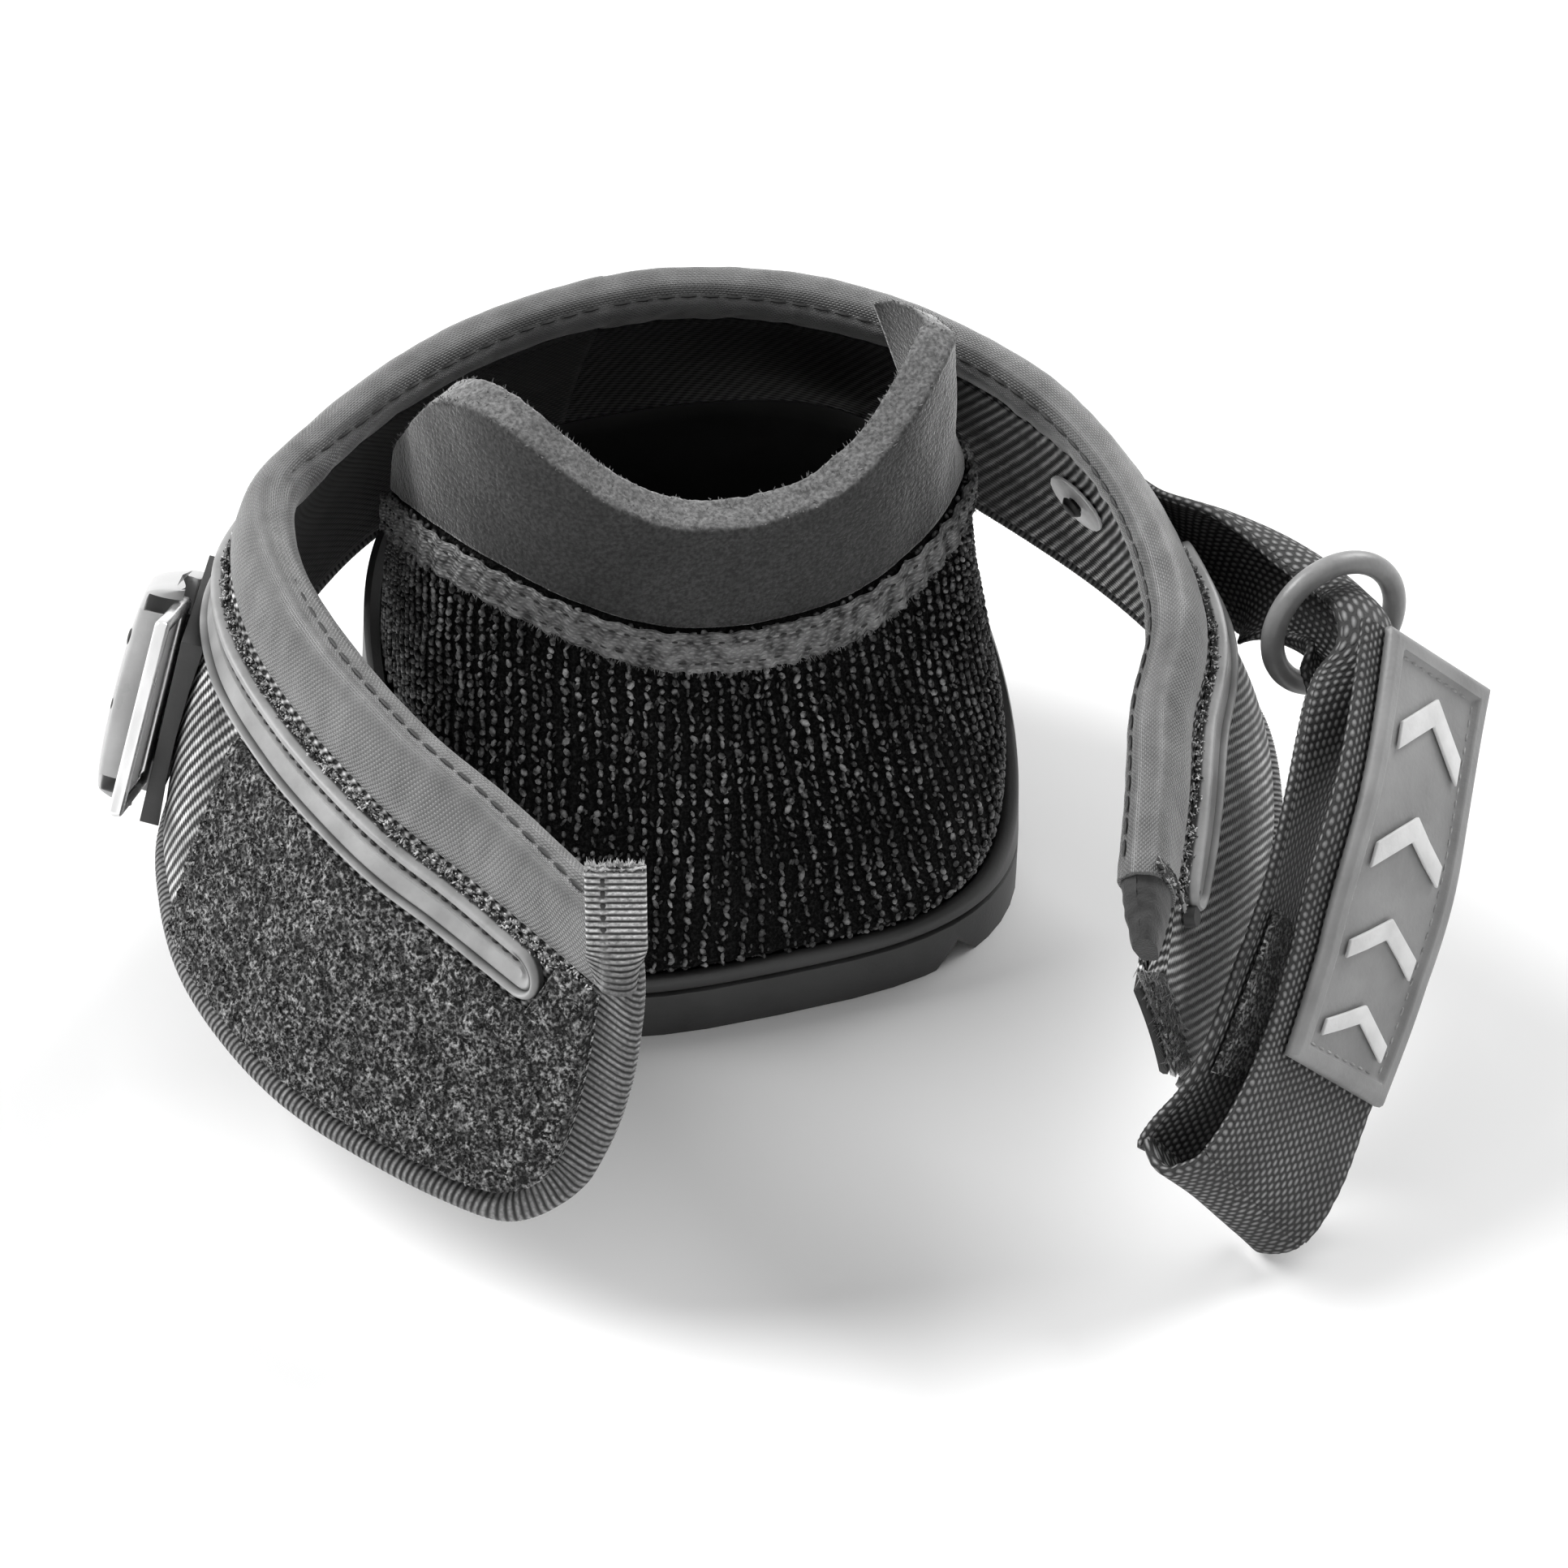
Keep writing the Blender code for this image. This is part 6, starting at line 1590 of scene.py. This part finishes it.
def visor_between(first, last):
    """The cover's rounded rear wall, between two distances down the cover."""
    def surface(along, around):
        low = first + (last - first) * along
        share = low / HOUSING_LENGTH * 2
        lid = HOUSING_MOUTH_HEIGHT + HOUSING_ROOF * (1 - 0.75 * abs(share) ** 2.5)
        lid *= end_round(share)
        down, rear = slab(around, 0.0, lid - VISOR_FOOT, -VISOR_WALL, 0.0)
        bulge = 0.0012 * math.sin(math.pi * down / (lid - VISOR_FOOT))
        return buckle_point(HOUSING_REAR * (1 - 0.16 * max(0.0, abs(share) - 0.75) / 0.25)
                            + rear + bulge - VISOR_LEAN * down, low, lid - down)

    return surface


pale_plastic = new_finish("pale_plastic", 0.50, 0.33)
scuff = grain(pale_plastic, 90, 4)
dress(pale_plastic, blend_tones(pale_plastic, scuff, 0.42, 0.56), grain(pale_plastic, 1300, 2),
      0.00004, blend_tones(pale_plastic, scuff, 0.26, 0.42))
dark_plastic = new_finish("dark_plastic", 0.035, 0.45)
dress(dark_plastic, blend_tones(dark_plastic, grain(dark_plastic, 80, 3), 0.025, 0.05),
      grain(dark_plastic, 1500, 2), 0.00005)
bright_steel = new_finish("bright_steel", 0.72, 0.22, 1.0)
streak = grain(bright_steel, 160, 3, (1.0, 1.0, 0.15))
dress(bright_steel, blend_tones(bright_steel, streak, 0.75, 0.95), streak, 0.00006,
      blend_tones(bright_steel, streak, 0.16, 0.34))

buckle_base = add_piece("dressed_buckle_base", softened("buckle_base", 0.0006), dark_plastic,
                        "buckle_plastic", "buckle_base")
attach(buckle_base, "boot")
housing = add_piece("dressed_buckle_housing", grid_on(housing_surface, (56, 90),
                                                      (HOUSING_LENGTH, 0.08)),
                    pale_plastic, "buckle_plastic", "buckle_housing", sharp=50)
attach(housing, "boot")

for name, first, last in (("upper", -HOUSING_LENGTH / 2, -VISOR_END), ("middle", -VISOR_HALF, VISOR_HALF),
                          ("lower", VISOR_END, HOUSING_LENGTH / 2)):
    visor = add_piece(f"housing_{name}_wall",
                      grid_on(visor_between(first, last), (30, 40), (last - first, 0.02)),
                      pale_plastic, "buckle_plastic", sharp=50)
    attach(visor, "boot")

slot_bm = bmesh.new()
for rear, low, length in HOUSING_SLOTS:
    turn = Matrix((buckle_down, buckle_rearward, buckle_outward)).transposed().to_4x4()
    size = Matrix.Diagonal((length / 2, 0.0011, 0.0004, 1.0))
    bmesh.ops.create_uvsphere(slot_bm, u_segments=12, v_segments=6, radius=1.0,
                              matrix=Matrix.Translation(buckle_point(rear, low, HOUSING_HEIGHT - 0.0007))
                              @ turn @ size)
housing_slots = add_piece("housing_slots", slot_bm, dark_plastic, "buckle_plastic")
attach(housing_slots, "boot")

loop_bar = add_piece("dressed_buckle_loop", softened("buckle_loop", 0.0011, 5), bright_steel,
                     "loop_steel", "buckle_loop", sharp=80)
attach(loop_bar, "buckle_loop")


# Rivets, screws and washer: blackened steel heads, and one bright plated washer inside the
# collar behind the strap. Their edges are softened, as stamped parts are.
washer_metal = new_finish("washer_metal", 0.8, 0.45, 0.35)
ring_marks = grain(washer_metal, 420, 3)
dress(washer_metal, blend_tones(washer_metal, ring_marks, 0.75, 0.95), ring_marks, 0.00005,
      blend_tones(washer_metal, ring_marks, 0.3, 0.5))
blackened_steel = new_finish("blackened_steel", 0.04, 0.5, 1.0)
for node in ("buckle_rivet_upper", "buckle_rivet_lower", "shell_screw_left", "shell_screw_right",
             "strap_rivet", "rivet_washer"):
    width = 0.0002 if node == "rivet_washer" else 0.0004
    metal = washer_metal if node == "rivet_washer" else blackened_steel
    fastener = add_piece(f"dressed_{node}", softened(node, width, 3), metal,
                         "washer_metal", node)
    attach(fastener, "boot")


# Strap: one length of heavy webbing. Its end is sewn and riveted to the collar, it is cupped
# through a rubber ring, drops to a fold, and comes back up to a square end.
STRAP_WIDTH = 0.487 * BAND_HEIGHT
STRAP_THICKNESS = 0.0019
ANCHOR_DROP = 0.5064 * BAND_HEIGHT
ANCHOR_LEAN = math.radians(30)
ANCHOR_FIRST_STATION = 14.95
ANCHOR_LAST_STATION = 16.30
FOLD_STATION = 14.0
FOLD_GAP_STATIONS = 0.06
FLOAT_SIZE = (0.00185, 0.0013)
STRAP_STATION_SHARES = (
    (1.062, -0.308, 0.661, 0.42, 0.02, -0.90, 0.6),
    (1.128, -0.385, 0.692, 0.20, 0.05, -0.98, 2.0),
    (1.190, -0.465, 0.696, -0.20, 0.00, -0.95, 4.3),
    (1.230, -0.537, 0.692, -0.45, -0.10, -0.85, 5.1),
    (1.220, -0.595, 0.698, -0.44, 0.02, -0.86, 5.0),
    (1.173, -0.641, 0.646, 0.20, 0.40, -0.87, 3.2),
    (1.048, -0.716, 0.539, 0.50, 0.46, -0.71, 0.7),
    (0.916, -0.806, 0.419, 0.55, 0.36, -0.74, 0.0),
    (0.790, -0.886, 0.318, 0.58, 0.22, -0.78, 0.0),
    (0.710, -0.927, 0.232, 0.61, 0.08, -0.79, 0.0),
    (0.630, -0.941, 0.152, 0.63, 0.045, -0.775, 0.0),
    (0.610, -0.963, 0.138, 0.63, 0.045, -0.775, 0.0),
    (0.624, -0.990, 0.138, 0.63, 0.045, -0.775, 0.0),
    (0.690, -1.006, 0.166, 0.63, 0.045, -0.775, 0.0),
    (0.785, -0.980, 0.218, 0.62, 0.05, -0.79, 0.0),
    (0.890, -0.930, 0.290, 0.60, 0.06, -0.80, 0.0),
    (1.018, -0.866, 0.410, 0.58, 0.00, -0.81, 0.0),
    (1.153, -0.787, 0.567, 0.55, -0.08, -0.83, 0.0),
    (1.324, -0.648, 0.722, 0.52, -0.18, -0.84, 0.0),
)


def anchor_point(place, across, out):
    """A point of the anchor, which lies square to the band's run although the fall doesn't."""
    drop = ANCHOR_DROP + across / math.cos(ANCHOR_LEAN)
    place += across * math.tan(ANCHOR_LEAN) / band_speed(place)
    return band_point(place, drop, out)


def anchor_row():
    """Where the strap leaves the collar, behind its anchor."""
    place = ANCHOR_LAST_STATION + SEAT_GAP * 4 / band_speed(ANCHOR_LAST_STATION)
    out = TRIM_OUT + LAYER_GAP + STRAP_THICKNESS / 2
    top = anchor_point(place, -STRAP_WIDTH / 2, out)
    bottom = anchor_point(place, STRAP_WIDTH / 2, out)
    crown = anchor_point(place, 0.0, out)
    outward = band_normal(place, ANCHOR_DROP / band_height(place))
    bulge = (crown - (top + bottom) / 2).dot(outward)
    centre = crown - outward * (bulge / 3)
    return tuple(centre) + tuple((bottom - top).normalized()) + (8 * bulge / STRAP_WIDTH,)


STRAP_ROWS = [anchor_row()] + [
    (x * COLLAR_HALF_SPREAD, y * COLLAR_LENGTH, z * RIM_HEIGHT, wide_x, wide_y, wide_z, cup)
    for x, y, z, wide_x, wide_y, wide_z, cup in STRAP_STATION_SHARES]
STRAP_END = len(STRAP_ROWS) - 1.0


@functools.lru_cache(maxsize=None)
def strap_frame(place):
    """Centre, direction, width direction and face normal of the strap at a place."""
    values = read_along(STRAP_ROWS, place)
    nudge = STATION_STEP / 10
    ahead = Vector(read_along(STRAP_ROWS, place + nudge)[:3])
    behind = Vector(read_along(STRAP_ROWS, place - nudge)[:3])
    along = (ahead - behind).normalized()
    wide = Vector(values[3:6])
    wide = (wide - along * wide.dot(along)).normalized()
    return Vector(values[:3]), along, wide, along.cross(wide), values[6]


def strap_point(place, across, out):
    """A point of the strap, flat or curled by the cup's angle across its width."""
    centre, _, wide, face, cup = strap_frame(place)
    if abs(cup) < 0.05:
        return centre + wide * across + face * out
    radius = STRAP_WIDTH / cup
    angle = across / radius
    level = radius * math.sin(cup / 2) / (cup / 2)
    return (centre + wide * ((radius + out) * math.sin(angle))
            + face * ((radius + out) * math.cos(angle) - level))


def strap_surface(first, last, half_width, inner, outer, shift=0.0, bumps=0.0):
    place_at, run = even_run(lambda place: strap_frame(place)[0], first, last)

    def surface(along, around):
        across, out = slab(around, -half_width, half_width, inner, outer)
        wave = bumps * noise.noise(Vector((along * run * 55, across * 70, first)))
        edge = 0.00025 * math.cos(2 * math.pi * along * run / FLOAT_SIZE[0])
        across += math.copysign(edge, across) * (1 if abs(across) > half_width * 0.96 else 0)
        return strap_point(place_at(along), across + shift, out + wave)

    return surface, place_at, run


webbing = new_finish("webbing", 0.12, 0.7)
pebbles = floats(webbing, FLOAT_SIZE, 0.5, (0.42, 0.42), wander=0.0003)
yarn = grain(webbing, 1500, 3)
web_tone = mix(webbing, 'MULTIPLY_ADD', pebbles, 0.24, blend_tones(webbing, yarn, 0.002, 0.02))
dress(webbing, mix(webbing, 'MULTIPLY', web_tone,
                   blend_tones(webbing, grain(webbing, 60, 3), 0.7, 1.25)),
      mix(webbing, 'MULTIPLY_ADD', yarn, 0.25, pebbles), 0.0005)

anchor_at, anchor_run = even_run(lambda place: anchor_point(place, 0.0, TRIM_OUT),
                                 ANCHOR_FIRST_STATION, ANCHOR_LAST_STATION)


def anchor_surface(along, around):
    across, out = slab(around, -STRAP_WIDTH / 2, STRAP_WIDTH / 2, TRIM_OUT,
                       TRIM_OUT + STRAP_THICKNESS)
    return anchor_point(anchor_at(along), across, out)


anchor = add_piece("dressed_strap_anchor", grid_on(anchor_surface, (26, 70),
                                                   (anchor_run, 2 * STRAP_WIDTH)),
                   webbing, "webbing", "strap_anchor", sharp=60)
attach(anchor, "boot")

half = STRAP_THICKNESS / 2
surface, leg_at, leg_run = strap_surface(0.0, FOLD_STATION - FOLD_GAP_STATIONS, STRAP_WIDTH / 2,
                                         -half, half, bumps=0.0003)
leg = add_piece("dressed_strap_leg", grid_on(surface, (330, 96), (leg_run, 2 * STRAP_WIDTH)),
                webbing, "webbing", "strap_leg", sharp=60)
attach(leg, "strap")
surface, tail_at, tail_run = strap_surface(FOLD_STATION + FOLD_GAP_STATIONS, STRAP_END,
                                           STRAP_WIDTH / 2, -half, half, bumps=0.0002)
tail = add_piece("dressed_strap_tail", grid_on(surface, (150, 96), (tail_run, 2 * STRAP_WIDTH)),
                 webbing, "webbing", "strap_tail", sharp=60)
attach(tail, "strap_tail")
fold_first, fold_last = FOLD_STATION - 0.12, FOLD_STATION + 0.12
surface, _, fold_run = strap_surface(fold_first, fold_last, STRAP_WIDTH / 2 - 0.0001,
                                     -half + 0.0001, half - 0.0001)
fold = add_piece("strap_fold", grid_on(surface, (24, 96), (fold_run, 2 * STRAP_WIDTH)), webbing,
                 "webbing", sharp=60)
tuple(strap_frame(fold_first + 0.06)[0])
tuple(strap_frame(fold_last - 0.06)[0])
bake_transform(fold)


# Fastening tapes: loop tape on the strap's leg and hook tape on its tail, so that the tail stays
# down on the leg when it is folded back.
TAPE_THICKNESS = 0.0010
TAPE_MARGIN = 0.003
tape_low = half + LAYER_GAP
for name, first, last, finish, body, node in (
        ("dressed_strap_loop_tape", 8.0, 9.5, loop_pile, "strap", "strap_loop_tape"),
        ("dressed_strap_hook_tape", FOLD_STATION + 1.0, STRAP_END - 1.5, hook_tape,
         "strap_tail", "strap_hook_tape")):
    surface, _, run = strap_surface(first, last, STRAP_WIDTH / 2 - TAPE_MARGIN, tape_low,
                                    tape_low + TAPE_THICKNESS, bumps=0.0001)
    tape = add_piece(name, grid_on(surface, (60, 60), (run, 2 * STRAP_WIDTH)), finish,
                     "loop_pile", node, sharp=60)
    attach(tape, body)


# Keeper ring: a soft rubber ring, moulded in one, that the cupped strap is pulled through.
KEEPER_RADIUS = 0.3526 * STRAP_WIDTH
KEEPER_TUBE = 0.00225
KEEPER_STATION = 4.0

ring_centre, ring_axis, _, ring_face, ring_cup = strap_frame(KEEPER_STATION)
ring_centre = ring_centre - ring_face * (STRAP_WIDTH / ring_cup * math.sin(ring_cup / 2)
                                         / (ring_cup / 2))
ring_bm = bmesh.new()
tube = bmesh.ops.create_circle(ring_bm, cap_ends=False, segments=20, radius=KEEPER_TUBE,
                               matrix=Matrix.Translation((KEEPER_RADIUS, 0, 0))
                               @ Matrix.Rotation(math.pi / 2, 4, 'X'))
bmesh.ops.spin(ring_bm, geom=ring_bm.verts[:] + ring_bm.edges[:], axis=(0, 0, 1), cent=(0, 0, 0),
               angle=2 * math.pi, steps=96, use_merge=True)
bmesh.ops.remove_doubles(ring_bm, verts=ring_bm.verts, dist=MERGE_DISTANCE)
bmesh.ops.recalc_face_normals(ring_bm, faces=ring_bm.faces)
turn = Vector((0, 0, 1)).rotation_difference(ring_axis).to_matrix().to_4x4()
bmesh.ops.transform(ring_bm, matrix=Matrix.Translation(ring_centre) @ turn, verts=ring_bm.verts)
ring_rubber = new_finish("ring_rubber", 0.035, 0.35)
dress(ring_rubber, blend_tones(ring_rubber, grain(ring_rubber, 200, 3), 0.20, 0.29),
      grain(ring_rubber, 1200, 2), 0.00005)
keeper = add_piece("dressed_keeper_ring", ring_bm, ring_rubber, "ring_rubber", "keeper_ring")
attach(keeper, "keeper_ring")


# Rubber patch: a moulded tab sewn to the tail, to grip it by. It has a bevelled border, a sewn
# groove inside that, and four pale chevrons that point to the strap's end.
PATCH_THICKNESS = 0.0026
PATCH_WIDTH = 0.855 * STRAP_WIDTH
PATCH_SHIFT = 0.0020
PATCH_FIRST_STATION = 15.95
PATCH_FRAME_WIDTH = 0.0034
PATCH_RECESS = 0.0012
PATCH_BEVEL = 0.0012
PATCH_STITCH_PITCH = 0.0027

patch_at, patch_run = even_run(lambda place: strap_frame(place)[0], PATCH_FIRST_STATION,
                               STRAP_END)


def patch_height(walk, across):
    """The patch's top above its underside, by the distance in from its nearest edge."""
    edge = min(walk, patch_run - walk, PATCH_WIDTH / 2 - abs(across))
    if edge < PATCH_BEVEL:
        return PATCH_THICKNESS * (0.55 + 0.45 * math.sqrt(max(0.0, edge) / PATCH_BEVEL))
    inner = (edge - PATCH_FRAME_WIDTH) / 0.0006
    return PATCH_THICKNESS - PATCH_RECESS * min(1.0, max(0.0, inner))


def patch_surface(along, around):
    walk = along * patch_run
    share = around * 2 % 2
    if share < 1.0:
        across = PATCH_WIDTH * (share - 0.5)
        out = tape_low + patch_height(walk, across)
    else:
        across = PATCH_WIDTH * (1.5 - share)
        out = tape_low
    return strap_point(patch_at(along), across + PATCH_SHIFT, -out)


patch_rubber = new_finish("patch_rubber", 0.26, 0.5)
print_marks = grain(patch_rubber, 70, 4)
dress(patch_rubber, blend_tones(patch_rubber, print_marks, 0.20, 0.32),
      grain(patch_rubber, 1100, 3), 0.0001, blend_tones(patch_rubber, print_marks, 0.4, 0.6))
patch = add_piece("dressed_strap_patch", grid_on(patch_surface, (170, 200), (patch_run, 0.07)),
                  patch_rubber, "patch_rubber", "strap_patch", sharp=50)
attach(patch, "strap_tail")

groove = PATCH_FRAME_WIDTH + 0.0010
groove_out = -(tape_low + PATCH_THICKNESS - PATCH_RECESS)
for name, side in (("near", -1), ("far", 1)):
    stitch_bm = sew(lambda walk, lift: strap_point(
        patch_at((walk + groove) / patch_run), side * (PATCH_WIDTH / 2 - groove) + PATCH_SHIFT,
        groove_out - lift), patch_run - 2 * groove, PATCH_STITCH_PITCH, 0.7, 0.0006)
    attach(add_piece(f"patch_{name}_stitches", stitch_bm, pale_thread, "patch_rubber"),
            "strap_tail")
for name, end in (("low", groove), ("top", patch_run - groove)):
    stitch_bm = sew(lambda walk, lift: strap_point(
        patch_at(end / patch_run), walk + groove - PATCH_WIDTH / 2 + PATCH_SHIFT,
        groove_out - lift), PATCH_WIDTH - 2 * groove, PATCH_STITCH_PITCH, 0.7, 0.0006)
    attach(add_piece(f"patch_{name}_stitches", stitch_bm, pale_thread, "patch_rubber"),
            "strap_tail")

pale_rubber = new_finish("pale_rubber", 0.72, 0.5)
dress(pale_rubber, blend_tones(pale_rubber, grain(pale_rubber, 160, 4), 0.62, 0.78),
      grain(pale_rubber, 1300, 2), 0.00006)
for number in range(1, 5):
    chevron = add_piece(f"dressed_chevron_{number}",
                        softened(f"patch_chevron_{number}", 0.00025), pale_rubber,
                        "pale_rubber", f"patch_chevron_{number}")
    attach(chevron, "strap_tail")
